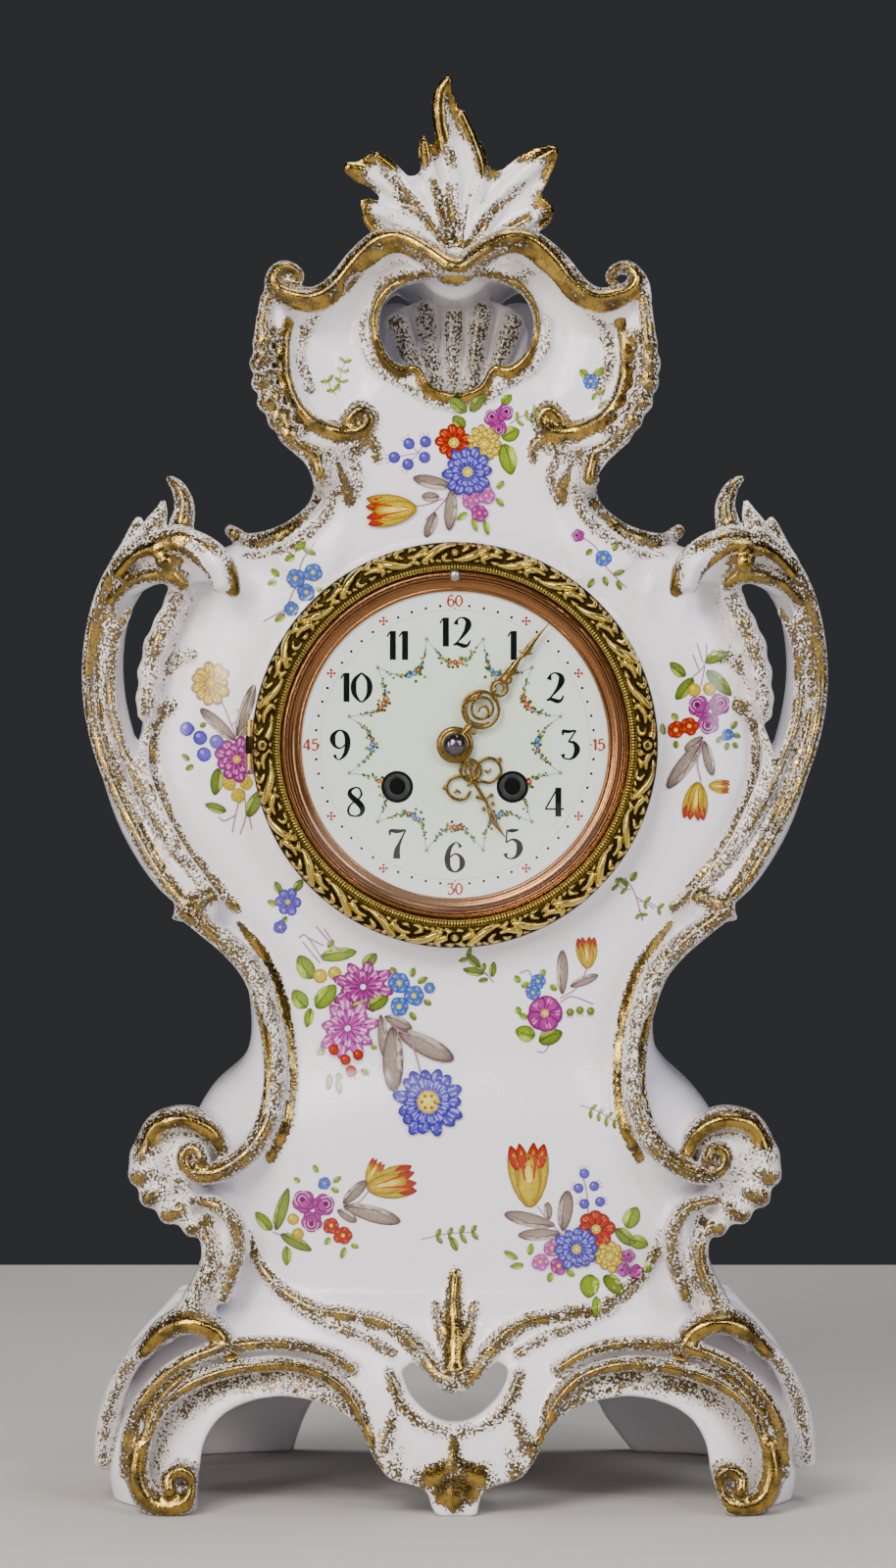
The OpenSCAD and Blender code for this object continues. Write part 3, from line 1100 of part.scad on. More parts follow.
module bell_nut() color(steel) at_dial() difference() {
    translate([0, stand_top_y + bell_t + 2.2, 0]) rotate([90, 0, 0]) cylinder(h = 2.2, r = 3.4, $fn = 6);
    rod(stand_top_y + bell_t + 2.2 + cut, 2.2 + 2 * cut, bell_bolt_r - running_gap);
}

// Straps from the front ring to the back ring, back ring and its door
strap_w = 7;
strap_t = 1.4;
strap_r = ring_bore_r - strap_t - 0.35;
strap_angles = [0, 180];
back_ring_t = 2;
back_ring_r = back_hole_r + 3.6;
back_ring_y = back_y;
door_gap = 0.3;
door_t = 1.2;
door_r = back_hole_r + 2;
strap_end_y = back_y - 0.2;
tab_l = 7;
strap_screw_r = 1.2;
module straps() color(brass) for (w = strap_angles) at_dial() rotate([0, -w, 0]) difference() {
    union() {
        translate([strap_r, seat_y, -strap_w / 2]) cube([strap_t, strap_end_y - seat_y, strap_w]);
        translate([strap_r - tab_l, strap_end_y - strap_t, -strap_w / 2]) cube([tab_l + strap_t, strap_t, strap_w]);
    }
    translate([strap_r - tab_l / 2, 0, 0]) rod(strap_end_y + cut, strap_t + 2 * cut, strap_screw_r);
}
module back_ring() color(brass) {
    difference() {
        union() {
            at_dial() rod(back_ring_y + back_ring_t, back_ring_t, back_ring_r);
            at_dial() rod(back_ring_y, back_ring_t, back_hole_r - 0.3);
        }
        at_dial() rod(back_ring_y + back_ring_t + cut, 2 * back_ring_t + 2 * cut, strap_r - tab_l - 1);
        for (w = strap_angles) at_dial() rotate([0, -w, 0]) {
            translate([strap_r - tab_l / 2, 0, 0])
                rod(back_ring_y + back_ring_t + cut, 2 * back_ring_t + 2 * cut, strap_screw_r + running_gap);
            translate([strap_r - tab_l - 0.3, back_ring_y - back_ring_t - cut, -strap_w / 2 - 0.3])
                cube([tab_l + strap_t + wall, back_ring_t + cut, strap_w + 0.6]);
        }
    }
    for (z0 = outer_knuckle_places) hinge_part(door_hinge_x, door_hinge_y, z0 + hinge_gap / 2,
        hinge_knuckle - hinge_gap, back_ring_y + back_ring_t - leaf_t, back_ring_r - cut);
}
module strap_screws() color(steel) for (w = strap_angles) at_dial() rotate([0, -w, 0])
    translate([strap_r - tab_l / 2, 0, 0]) {
        rod(back_ring_y + back_ring_t, back_ring_t + strap_t + 0.2, strap_screw_r);
        rod(back_ring_y + back_ring_t + 0.8, 0.8, 2);
    }
door_y = back_ring_y + back_ring_t + 1.1;
door_hinge_x = -back_ring_r - hinge_r - 0.2;
door_hinge_y = back_ring_y + back_ring_t + 0.6;
knob_l = 4;
knob_r = 2;
module back_door() color(brass) {
    at_dial() {
        rod(door_y + door_t, door_t, door_r);
        translate([door_r - 3 * knob_r, 0, 0]) rod(door_y + door_t + knob_l, knob_l + cut, knob_r);
    }
    hinge_part(door_hinge_x, door_hinge_y, -0.5 * hinge_knuckle + hinge_gap / 2, hinge_knuckle - hinge_gap,
        door_y, door_r - cut);
}
module door_hinge_pin() color(steel) translate([door_hinge_x, door_hinge_y, dial_z - 1.5 * hinge_knuckle])
    cylinder(h = 3 * hinge_knuckle, r = hinge_pin_r);

case_body();
plinth();
crest_leaf();
handle_left();
handle_right();
mounting_ring();
sight_ring();
bezel();
bezel_glass();
bezel_hinge_pin();
dial();
hour_hand();
minute_hand();
hand_collet();
hour_wheel();
cannon_pinion();
minute_wheel();
front_plate();
back_plate();
pillars();
pillar_nuts();
seat_screws();
going_barrel();
strike_barrel();
going_winding_arbor();
strike_winding_arbor();
going_ratchet();
strike_ratchet();
going_click();
strike_click();
going_mainspring();
strike_mainspring();
going_second_wheel();
centre_wheel();
third_wheel();
escape_wheel();
anchor();
crutch();
back_cock();
suspension_spring();
pendulum_rod();
pendulum_bob();
rating_nut();
strike_second_wheel();
pin_wheel();
locking_wheel();
warning_wheel();
fly();
count_wheel();
hammer();
bell();
bell_stand();
bell_nut();
straps();
strap_screws();
back_ring();
back_door();
door_hinge_pin();
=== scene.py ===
import math
import bpy
import numpy as np
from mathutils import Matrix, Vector


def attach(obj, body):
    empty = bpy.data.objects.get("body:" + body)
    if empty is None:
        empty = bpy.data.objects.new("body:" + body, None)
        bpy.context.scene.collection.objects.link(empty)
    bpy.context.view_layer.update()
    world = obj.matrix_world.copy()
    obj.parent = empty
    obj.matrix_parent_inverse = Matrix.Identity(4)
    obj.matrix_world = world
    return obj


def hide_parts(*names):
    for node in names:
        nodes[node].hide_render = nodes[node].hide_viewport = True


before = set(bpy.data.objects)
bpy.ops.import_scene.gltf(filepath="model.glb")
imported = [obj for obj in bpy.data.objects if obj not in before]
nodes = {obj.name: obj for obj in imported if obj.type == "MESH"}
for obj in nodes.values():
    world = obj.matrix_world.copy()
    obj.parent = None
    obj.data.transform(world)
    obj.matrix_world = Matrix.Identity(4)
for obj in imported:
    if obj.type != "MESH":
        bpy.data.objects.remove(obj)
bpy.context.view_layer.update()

# Camera and light: the clock stands on a plain pale floor in soft studio light, seen square from
# the front, a little above the middle of the dial, as a collector photographs it.
MM = 0.001
# Millimetres to one picture pixel at the clock's face
PIXEL = 0.29
# The picture's size in pixels, and where the clock's middle line and foot line stand in it
PICTURE_WIDE, PICTURE_HIGH, MIDDLE_X, FOOT_Y = 914, 1600, 464, 1540


def hex_colour(code, alpha=1.0):
    """sRGB hex to the linear colour the shaders take"""
    v = [int(code[i:i + 2], 16) / 255 for i in (1, 3, 5)]
    return tuple(c / 12.92 if c <= 0.04045 else ((c + 0.055) / 1.055) ** 2.4 for c in v) + (alpha,)


def finish_of(name, **sockets):
    """A new material with its Principled shader's own sockets set"""
    m = bpy.data.materials.new(name)
    m.use_nodes = True
    s = m.node_tree.nodes["Principled BSDF"]
    for k, v in sockets.items():
        s.inputs[k.replace("_", " ")].default_value = v
    return m, m.node_tree, s


eye = bpy.data.objects.new("camera", bpy.data.cameras.new("camera"))
bpy.context.scene.collection.objects.link(eye)
# Metres: how far away the camera is, how high, and how far the clock's face stands forward
EYE_AWAY, EYE_UP, FACE_FORWARD = 1.62, 0.245, 0.055
SENSOR_HIGH = 24
eye.location = (0.0, -EYE_AWAY, EYE_UP)
eye.rotation_euler = (math.radians(90), 0, 0)
eye.data.sensor_fit = "VERTICAL"
eye.data.sensor_height = SENSOR_HIGH
# The frame is 464 mm tall at the clock's face
frame_high = PICTURE_HIGH * PIXEL * MM
eye.data.lens = SENSOR_HIGH * (EYE_AWAY - FACE_FORWARD) / frame_high
eye.data.shift_x = (PICTURE_WIDE / 2 - MIDDLE_X) / PICTURE_HIGH
eye.data.shift_y = ((FOOT_Y - PICTURE_HIGH / 2) * PIXEL * MM - EYE_UP) / frame_high
bpy.context.scene.camera = eye

# Metres of floor to either side, in front and behind
FLOOR_SIDE, FLOOR_FRONT, FLOOR_BACK = 2.4, -1.8, 0.6
floor = bpy.data.objects.new("pale_floor", bpy.data.meshes.new("pale_floor"))
corners = [(-FLOOR_SIDE, FLOOR_FRONT, 0), (FLOOR_SIDE, FLOOR_FRONT, 0), (FLOOR_SIDE, FLOOR_BACK, 0),
           (-FLOOR_SIDE, FLOOR_BACK, 0)]
floor.data.from_pydata(corners, [], [(0, 1, 2, 3)])
bpy.context.scene.collection.objects.link(floor)
# A plain woven cloth scatters the light evenly, so the floor shows no mirror image
cloth, _, _ = finish_of("pale_linen_cloth", Base_Color=hex_colour("#c6c2bc"), Roughness=0.8)
floor.data.materials.append(cloth)


def lamp(name, place, aim, size, power, warmth):
    """A soft box: place, aim and size in metres, power in watts"""
    light = bpy.data.lights.new(name, "AREA")
    light.shape = "RECTANGLE"
    light.size, light.size_y = size
    light.energy = power
    light.color = hex_colour(warmth)[:3]
    o = bpy.data.objects.new(name, light)
    o.location = place
    o.rotation_euler = (Vector(aim) - Vector(place)).to_track_quat("-Z", "Y").to_euler()
    bpy.context.scene.collection.objects.link(o)


lamp("key_softbox", (-0.5, -1.35, 1.15), (0, 0, 0.2), (0.8, 0.6), 25.5, "#fff8f2")
lamp("right_softbox", (1.1, -1.0, 0.6), (0, 0, 0.2), (0.4, 0.9), 8.5, "#eef0ff")
lamp("left_softbox", (-1.2, -0.8, 0.3), (0, 0, 0.2), (0.3, 0.9), 6, "#f4f2ff")
lamp("top_softbox", (0.1, 0.1, 1.4), (0, 0, 0.2), (0.9, 0.5), 9.5, "#ffffff")
lamp("window_catchlight", (0.7, -1.3, 1.0), (0, 0, 0.25), (0.09, 0.12), 5, "#ffffff")
lamp("front_softbox", (-0.66, -1.25, 0.46), (0, 0, 0.34), (0.25, 0.3), 5, "#fff4e4")
room = bpy.data.worlds.new("dim_room")
bpy.context.scene.world = room
room.use_nodes = True
room.node_tree.nodes["Background"].inputs["Color"].default_value = hex_colour("#c9ccd6")
room.node_tree.nodes["Background"].inputs["Strength"].default_value = 0.05


# Porcelain case and plinth: slip-cast and pressed hard-paste porcelain, joined wet, then glazed.
# It is modelled the way the wet clay is: plain walls first, then rolls of clay laid on and
# blended in, then hollows cut. The clay is a grid of distances to its surface, in millimetres.
CLAY_STEP = 1.2
# The box that the clay is worked in, and the height of the dial's middle over the floor
LEFT, RIGHT, FRONT, BACK, BOTTOM, TOP = -116, 116, -76, 76, -4, 392
DIAL_Z = 226.19
# What a grid point says that is far from any clay
FAR = 20.0


def soft_join(a, b, blend):
    """Both shapes as one, with the corner between them rounded over the blend"""
    h = np.clip(0.5 + 0.5 * (a - b) / blend, 0, 1)
    return a * (1 - h) + b * h - blend * h * (1 - h)


def curve_through(points, steps=4):
    """Points of a smooth curve through the given rows of numbers"""
    p = np.array(points, float)
    if len(p) < 3 or steps < 2:
        return p
    q = np.vstack([2 * p[0] - p[1], p, 2 * p[-1] - p[-2]])
    out = []
    for i in range(1, len(q) - 2):
        for t in np.arange(steps) / steps:
            a, b, c, d = q[i - 1:i + 3]
            out.append(0.5 * (2 * b + (c - a) * t + (2 * a - 5 * b + 4 * c - d) * t * t
                              + (3 * b - a - 3 * c + d) * t ** 3))
    return np.vstack(out + [p[-1]])


class Clay:
    """A box of clay: below 0 in the grid is inside it, above 0 is air"""
    def __init__(self, lo, hi, step):
        self.lo, self.step = np.array(lo, np.float32), step
        self.n = np.ceil((np.array(hi) - self.lo) / step).astype(int) + 1
        self.d = np.full(self.n, FAR, np.float32)

    def block(self, lo, hi):
        """The part of the grid between two corners, and its x, y and z"""
        a = np.clip(np.floor((np.array(lo) - self.lo) / self.step).astype(int), 0, self.n - 1)
        b = np.clip(np.ceil((np.array(hi) - self.lo) / self.step).astype(int) + 1, a + 1, self.n)
        x, y, z = (self.lo[k] + self.step * np.arange(a[k], b[k], dtype=np.float32) for k in range(3))
        part = tuple(slice(i, j) for i, j in zip(a, b))
        return part, x[:, None, None], y[None, :, None], z[None, None, :]

    def lay(self, dist, part, blend):
        self.d[part] = soft_join(self.d[part], dist.astype(np.float32), blend)

    def cut(self, dist, part, blend):
        self.d[part] = -soft_join(-self.d[part], dist.astype(np.float32), blend)

    def roll(self, path, blend, deep=1.0, cut=False):
        """Lays on, or cuts with, a roll along rows x, y, z, radius, stretched front to back"""
        path = np.asarray(path, float)
        reach = path[:, 3].max() + blend + 3
        stretch = np.array([reach, reach * deep, reach])
        part, *_ = self.block(path[:, :3].min(0) - stretch, path[:, :3].max(0) + stretch)
        best = np.full(self.d[part].shape, 9.0, np.float32)
        start = [s.start for s in part]
        for a, b in zip(path[:-1], path[1:]):
            lo, hi = np.minimum(a, b)[:3] - stretch, np.maximum(a, b)[:3] + stretch
            sub, x, y, z = self.block(lo, hi)
            u = (b - a)[:3] * (1, 1 / deep, 1)
            dx, dy, dz = x - a[0], (y - a[1]) / deep, z - a[2]
            t = np.clip((dx * u[0] + dy * u[1] + dz * u[2]) / max(u @ u, 1e-6), 0, 1)
            dist = np.sqrt((dx - t * u[0]) ** 2 + (dy - t * u[1]) ** 2 + (dz - t * u[2]) ** 2)
            dist = dist - (a[3] + (b[3] - a[3]) * t)
            here = tuple(slice(s.start - o, s.stop - o) for s, o in zip(sub, start))
            best[here] = np.minimum(best[here], dist)
        (self.cut if cut else self.lay)(best, part, blend)

    def front(self):
        """Depth of the clay's front surface over every x and z"""
        hit = self.d < 0
        first = hit.argmax(1)
        inside = np.take_along_axis(self.d, first[:, None], 1)[:, 0]
        before = np.take_along_axis(self.d, np.maximum(first - 1, 0)[:, None], 1)[:, 0]
        y = self.lo[1] + self.step * (first - inside / np.minimum(inside - before, -1e-6))
        return np.where(hit.any(1), y, np.nan)

    def surface(self):
        """Corners and four-sided faces of the surface, from the cells that it crosses"""
        d, n = self.d, self.n
        inner = (d < 0).astype(np.int8)
        total = sum(inner[i:n[0] - 1 + i, j:n[1] - 1 + j, k:n[2] - 1 + k]
                    for i, j, k in np.ndindex(2, 2, 2))
        crossed = (total > 0) & (total < 8)
        cells = np.argwhere(crossed)
        number = np.full(crossed.shape, -1, np.int32)
        number[crossed] = np.arange(len(cells))
        spot, count = np.zeros((len(cells), 3)), np.zeros(len(cells))
        corners = [np.array(c) for c in np.ndindex(2, 2, 2)]
        for a in corners:
            for k in range(3):
                if a[k]:
                    continue
                b = a.copy()
                b[k] = 1
                va, vb = (d[tuple((cells + c).T)] for c in (a, b))
                hit = (va < 0) != (vb < 0)
                t = va[hit] / (va[hit] - vb[hit])
                spot[hit] += cells[hit] + a + t[:, None] * (b - a)
                count[hit] += 1
        spot /= count[:, None]
        faces = []
        for k in range(3):
            u, v = (k + 1) % 3, (k + 2) % 3
            step = [np.eye(3, dtype=int)[m] for m in (u, v)]
            low = np.take(inner, range(n[k] - 1), k)
            high = np.take(inner, range(1, n[k]), k)
            edge = np.argwhere(low != high)
            edge = edge[((edge[:, (u, v)] > 0) & (edge[:, (u, v)] < (n[u] - 1, n[v] - 1))).all(1)]
            ring = [number[tuple((edge - s).T)] for s in (0 * step[0], step[0], step[0] + step[1], step[1])]
            quad = np.stack(ring, 1)
            out = low[tuple(edge.T)] > 0
            quad[~out] = quad[~out][:, ::-1]
            faces.append(quad)
        return spot, np.vstack(faces)

    def sample(self, spot):
        """Distance to the surface at points between those of the grid"""
        i = np.clip(np.floor(spot).astype(int), 0, self.n - 2)
        f = spot - i
        out = 0
        for c in np.ndindex(2, 2, 2):
            w = np.prod([f[:, k] if c[k] else 1 - f[:, k] for k in range(3)], 0)
            out = out + w * self.d[tuple((i + c).T)]
        return out

    def normals(self, spot):
        steps = 0.9 * np.eye(3)
        g = np.stack([self.sample(spot + e) - self.sample(spot - e) for e in steps], 1)
        return g / np.maximum(np.linalg.norm(g, axis=1, keepdims=True), 1e-9)


def flat_xz(px, py):
    """Where a picture point lies on the clock, in millimetres from its middle and its foot"""
    return (px - MIDDLE_X) * PIXEL, (FOOT_Y - py) * PIXEL


def outline_field(clay, points, part=None, steps=4):
    """Distance over x and z to a closed smooth outline given in picture pixels, for a part of the
    clay if one is named"""
    p = np.array(points, float)
    p = curve_through(np.vstack([p, p[:1]]), steps)[:-1]
    p = np.stack(flat_xz(p[:, 0], p[:, 1]), 1)
    x = clay.lo[0] + clay.step * np.arange(clay.n[0])[:, None]
    z = clay.lo[2] + clay.step * np.arange(clay.n[2])[None, :]
    dist, odd = np.full((clay.n[0], clay.n[2]), 1e9), np.zeros((clay.n[0], clay.n[2]), bool)
    for a, b in zip(p, np.roll(p, -1, 0)):
        e = b - a
        t = np.clip(((x - a[0]) * e[0] + (z - a[1]) * e[1]) / (e @ e), 0, 1)
        dist = np.minimum(dist, (x - a[0] - t * e[0]) ** 2 + (z - a[1] - t * e[1]) ** 2)
        if e[1]:
            odd ^= ((a[1] > z) != (b[1] > z)) & (x < a[0] + (z - a[1]) * e[0] / e[1])
    dist = np.where(odd, -1, 1) * np.sqrt(dist)
    return dist[part[0], None, part[2]] if part else dist


clay = Clay((LEFT, FRONT, BOTTOM), (RIGHT, BACK, TOP), CLAY_STEP)
# Rows down the case and the plinth: height, left side and right side in the picture, half the
# depth in mm, and how square the corners are, from 2 for round
CASE_ROWS = [(1336, 214, 726, 57, 4.4), (1305, 216, 710, 56, 4.4), (1275, 212, 714, 56.5, 4.2),
             (1245, 202, 722, 57, 4), (1215, 190, 736, 57, 3.8), (1180, 186, 741, 57.5, 3.8),
             (1150, 192, 735, 57, 3.8), (1120, 210, 713, 55, 3.8), (1095, 238, 686, 52.5, 4.2),
             (1070, 250, 672, 51, 4.6), (1030, 250, 673, 50, 4.8), (990, 240, 684, 50, 5),
             (955, 216, 710, 50.5, 5), (930, 192, 734, 51, 5), (890, 166, 760, 51.3, 5),
             (840, 144, 782, 52, 5), (790, 135, 791, 52.3, 5), (735, 138, 787, 52.3, 5),
             (680, 145, 783, 52.3, 5), (630, 158, 771, 52, 4.8), (590, 178, 750, 51, 4.5),
             (562, 210, 718, 50, 4.2), (550, 240, 688, 49, 4), (540, 272, 656, 48, 4),
             (528, 300, 628, 46.5, 4), (512, 314, 614, 45.3, 4), (495, 319, 609, 44.5, 4),
             (470, 322, 606, 44, 4), (452, 322, 606, 43, 4)]
PLINTH_ROWS = [(1322, 214, 726, 56, 4.6), (1336, 204, 734, 57, 4.4), (1350, 188, 746, 59, 4.2),
               (1375, 154, 774, 61.5, 4), (1400, 128, 798, 64.5, 3.8), (1430, 110, 814, 67, 3.8),
               (1465, 100, 823, 68.5, 3.8), (1505, 98, 825, 69.3, 3.8), (1542, 103, 821, 69.3, 3.8)]


def lofted(rows, inset=0.0):
    """Distance to a wall form whose outline changes with height"""
    r = curve_through(sorted(rows, reverse=True), 4)
    top, base = flat_xz(0, r[-1, 0])[1], flat_xz(0, r[0, 0])[1]
    part, x, y, z = clay.block((LEFT, FRONT, base - 6), (RIGHT, BACK, top + 6))
    zs = flat_xz(0, r[:, 0])[1]
    at = lambda v: np.interp(z, zs, v)
    left, right = at(flat_xz(r[:, 1], 0)[0]) + inset, at(flat_xz(r[:, 2], 0)[0]) - inset
    deep, k = at(r[:, 3]) - inset, at(r[:, 4])
    u = np.abs(x - (left + right) / 2) / ((right - left) / 2)
    v = np.abs(y) / deep
    g = (u ** k + v ** k) ** (1 / k) + 1e-6
    slope = np.sqrt(((u / g) ** (k - 1) / ((right - left) / 2)) ** 2 + ((v / g) ** (k - 1) / deep) ** 2)
    dist = (g - 1) / np.maximum(slope, 1e-4)
    return np.maximum(dist, np.maximum(base - z, z - top)), part


for rows in (CASE_ROWS, PLINTH_ROWS):
    dist, part = lofted(rows)
    clay.lay(dist, part, 3.0)

# The outlines of the crest and of its pierced window, in picture pixels
CREST = [(338, 492), (320, 486), (300, 456), (279, 420), (269, 378), (271, 335), (270, 300), (276, 281),
         (290, 275), (304, 289), (320, 299), (341, 288), (362, 263), (385, 245), (410, 242), (438, 258),
         (464, 278), (492, 258), (522, 242), (553, 245), (580, 264), (604, 295), (624, 303), (640, 287),
         (653, 279), (664, 292), (665, 335), (671, 382), (655, 425), (632, 456), (608, 486), (590, 492)]
CARTOUCHE = [(386, 340), (388, 314), (404, 294), (430, 286), (465, 284), (504, 286), (530, 296), (544, 320),
             (542, 348), (531, 364), (514, 372), (505, 369), (497, 378), (488, 393), (465, 399), (441, 393),
             (432, 378), (424, 369), (415, 372), (398, 364)]
# The crest's block ends 30 mm behind the middle, and starts under the shoulders
CREST_LO, CREST_HI = (LEFT, FRONT, 256), (RIGHT, 30, TOP)
part, _, Y, _ = clay.block(CREST_LO, CREST_HI)
rim = outline_field(clay, CREST, part)
# The hood narrows towards its open back, its face lies back inside the rim, and its foot
# runs down smoothly on to the shoulders
HOOD_MIDDLE, HOOD_HALF, FOOT_MIDDLE, FOOT_HALF, FACE_BACK_TO = -21, 38, -44, 5.5, -50
narrow = np.interp(Y, (-60, 17), (0, 7))
clay.lay(np.maximum(rim + narrow, np.abs(Y - HOOD_MIDDLE) - HOOD_HALF), part, 3.5)
apron = outline_field(clay, [(352, 430), (340, 480), (330, 515), (300, 545), (300, 575), (464, 590),
                             (628, 575), (628, 545), (598, 515), (588, 480), (576, 430)],
                      part)
clay.lay(np.maximum(apron, np.abs(Y - FOOT_MIDDLE) - FOOT_HALF), part, 9)
inner_rim = CREST[2:-5] + [(671, 382), (655, 425), (632, 452), (612, 482), (606, 520), (600, 640),
                           (328, 640), (322, 520), (318, 482)]
recess = outline_field(clay, inner_rim, part)
cove = np.interp(Y, (-62, -58, -52, -49), (4.0, 5.0, 9.5, 13))
clay.cut(np.maximum(recess + cove, Y - FACE_BACK_TO), part, 2.5)


def filled(face):
    """The front surface with its gaps closed from side to side"""
    out = face.copy()
    for k in range(out.shape[1]):
        ok = ~np.isnan(out[:, k])
        out[:, k] = np.interp(np.arange(len(out)), np.flatnonzero(ok), out[ok, k]) if ok.any() else -50
    return out


face = filled(clay.front())
FACE_FROM = clay.lo.copy()


def depth_at(x, z):
    """Depth of the porcelain's front at any x and z"""
    i = np.clip((np.asarray(x) - FACE_FROM[0]) / CLAY_STEP, 0, face.shape[0] - 1.001)
    k = np.clip((np.asarray(z) - FACE_FROM[2]) / CLAY_STEP, 0, face.shape[1] - 1.001)
    a, c = np.floor(i).astype(int), np.floor(k).astype(int)
    f, g = i - a, k - c
    return ((1 - f) * (1 - g) * face[a, c] + f * (1 - g) * face[a + 1, c]
            + (1 - f) * g * face[a, c + 1] + f * g * face[a + 1, c + 1])


# The rolls that take gold: path, width and strength of the gilding, stretch front to back
gilded = []


def spread(values, count):
    """The given values spaced evenly over so many points"""
    return np.interp(np.linspace(0, 1, count), np.linspace(0, 1, len(values)), values)


def roll(points, lift=0.6, deep=1.0, blend=1.6, gilt=(0, 0), both=True, y=None, cut=False, web=None):
    """A roll of clay on the front, on both sides alike: picture points with a radius in mm, how far
    it lifts off the face or its own depths y, its stretch front to back, and its gilding"""
    for side in ((1, -1) if both else (1,)):
        p = curve_through(points)
        x, z = flat_xz(p[:, 0], p[:, 1])
        x = x * side
        d = depth_at(x, z) - lift if y is None else spread(y, len(p))
        path = np.stack([x, d, z, p[:, 2]], 1)
        clay.roll(path, blend, deep, cut)
        if gilt[1]:
            gilded.append((path, gilt, deep))
        if web is not None:
            # The clay behind a scroll that stands out past the wall, back to the depth given
            back = path * (1, 1, 1, 0.85)
            back[:, 1] = (path[:, 1] + web) / 2
            clay.roll(back, 2.5, float(np.abs(path[:, 1] - web).mean() / 2 / back[:, 3].mean()))


# Crest: the top of the same casting, dressed with rolls of clay while it is wet. These are the
# rolled rim of the hood, its C-scrolls, the shell edges and the strokes that run down from them.
roll([(300, 291, 1.2), (306, 283, 1.5), (299, 275, 1.8), (287, 274, 2.1), (279, 284, 2.3), (284, 296, 2.6),
      (301, 303, 3.0), (321, 305, 3.4), (343, 292, 3.4), (364, 266, 3.4), (386, 247, 3.4), (410, 244, 3.4),
      (436, 258, 3.6), (460, 276, 4.2)],
     y=[-56, -57, -58, -57, -56, -57, -60], deep=2.2, gilt=(1.6, 0.8))
roll([(286, 306, 1.0), (302, 312, 1.6), (321, 314, 1.8), (347, 303, 1.8), (370, 276, 1.8), (392, 257, 1.8),
      (412, 254, 1.8), (434, 266, 1.8), (454, 282, 2.0)],
     y=[-60], gilt=(1.2, 0.95))
roll([(292, 290, 1.2), (294, 283, 1.2)], y=[-64], cut=True, blend=1.0)
for lift, q in ((0, 10), (0, 19)):
    roll([(350, 306 + q, 0.5), (374, 280 + q, 0.7), (396, 261 + q, 0.7), (414, 258 + q, 0.7),
          (436, 270 + q, 0.5)],
         lift=0.1, gilt=(1.4, 0.42))
roll([(296, 330, 1.4), (290, 356, 2.0), (292, 392, 2.4), (308, 424, 2.6), (340, 440, 2.6), (366, 440, 2.4),
      (377, 427, 2.2), (367, 417, 2.0), (357, 427, 2.2)],
     lift=1.0, gilt=(1.6, 0.8))
roll([(272, 305, 1.8), (268, 345, 2.4), (271, 385, 2.6), (286, 428, 2.8), (308, 458, 2.6), (340, 464, 2.2),
      (366, 456, 1.6)],
     lift=0.8, gilt=(1.8, 0.6))
for q in [(267, 352, 2.4), (264, 372, 2.8), (266, 392, 2.8), (272, 412, 2.8), (282, 430, 2.6),
          (294, 446, 2.4)]:
    roll([(q[0] + 12, q[1] - 8, q[2] * 0.7), q], lift=0, deep=1.8, gilt=(2.5, 0.7))
roll([(280, 318, 1.0), (276, 350, 1.3), (279, 386, 1.3), (294, 420, 1.2), (316, 446, 1.0)], lift=-0.6,
     cut=True, blend=1.4)
roll([(342, 470, 1.0), (352, 490, 1.4), (356, 512, 1.0)], lift=0.2, gilt=(2, 0.7))
roll([(358, 466, 1.0), (366, 486, 1.2), (362, 504, 0.8)], lift=0.2, gilt=(1.6, 0.5))
roll([(366, 446, 1.0), (382, 452, 1.2), (384, 468, 0.8)], lift=0.2, gilt=(1.6, 0.6))
# Dished field between rim and cartouche, then the cartouche's lip
roll([(372, 300, 6.0), (352, 340, 5.0), (366, 384, 4.0)], lift=3.2, cut=True, blend=5)
roll([(386, 345, 1.8), (384, 318, 2.0), (397, 296, 2.2), (425, 285, 2.2), (464, 282, 2.4)], lift=1.0,
     gilt=(1.6, 0.8))
roll([(385, 345, 1.6), (393, 366, 1.6), (408, 378, 1.6), (421, 374, 1.4), (429, 379, 1.5), (438, 395, 1.8),
      (464, 405, 2.0)],
     lift=1.2, gilt=(1.3, 0.95))
roll([(370, 318, 0.8), (368, 346, 1.2), (384, 374, 1.3), (410, 390, 1.3), (434, 406, 1.3), (464, 414, 1.5)],
     lift=0.3, gilt=(1.4, 0.42))
roll([(330, 318, 0.8), (312, 336, 1.2), (306, 366, 1.2), (316, 396, 1.0)], lift=0.2, gilt=(2, 0.5))

# Neck and shoulders: one roll that runs down from the crest and dies away over each shoulder,
# and a thin one inside it
roll([(322, 462, 1.8), (327, 490, 2.4), (321, 516, 2.8), (300, 538, 3.0), (272, 550, 3.0), (248, 550, 2.6),
      (230, 538, 2.0)],
     lift=0.6, deep=1.5, gilt=(1.8, 0.75))
roll([(336, 470, 0.8), (340, 498, 1.1), (332, 524, 1.2), (308, 548, 1.2), (280, 562, 1.1), (250, 566, 0.8)],
     lift=0.2, gilt=(1.6, 0.5))

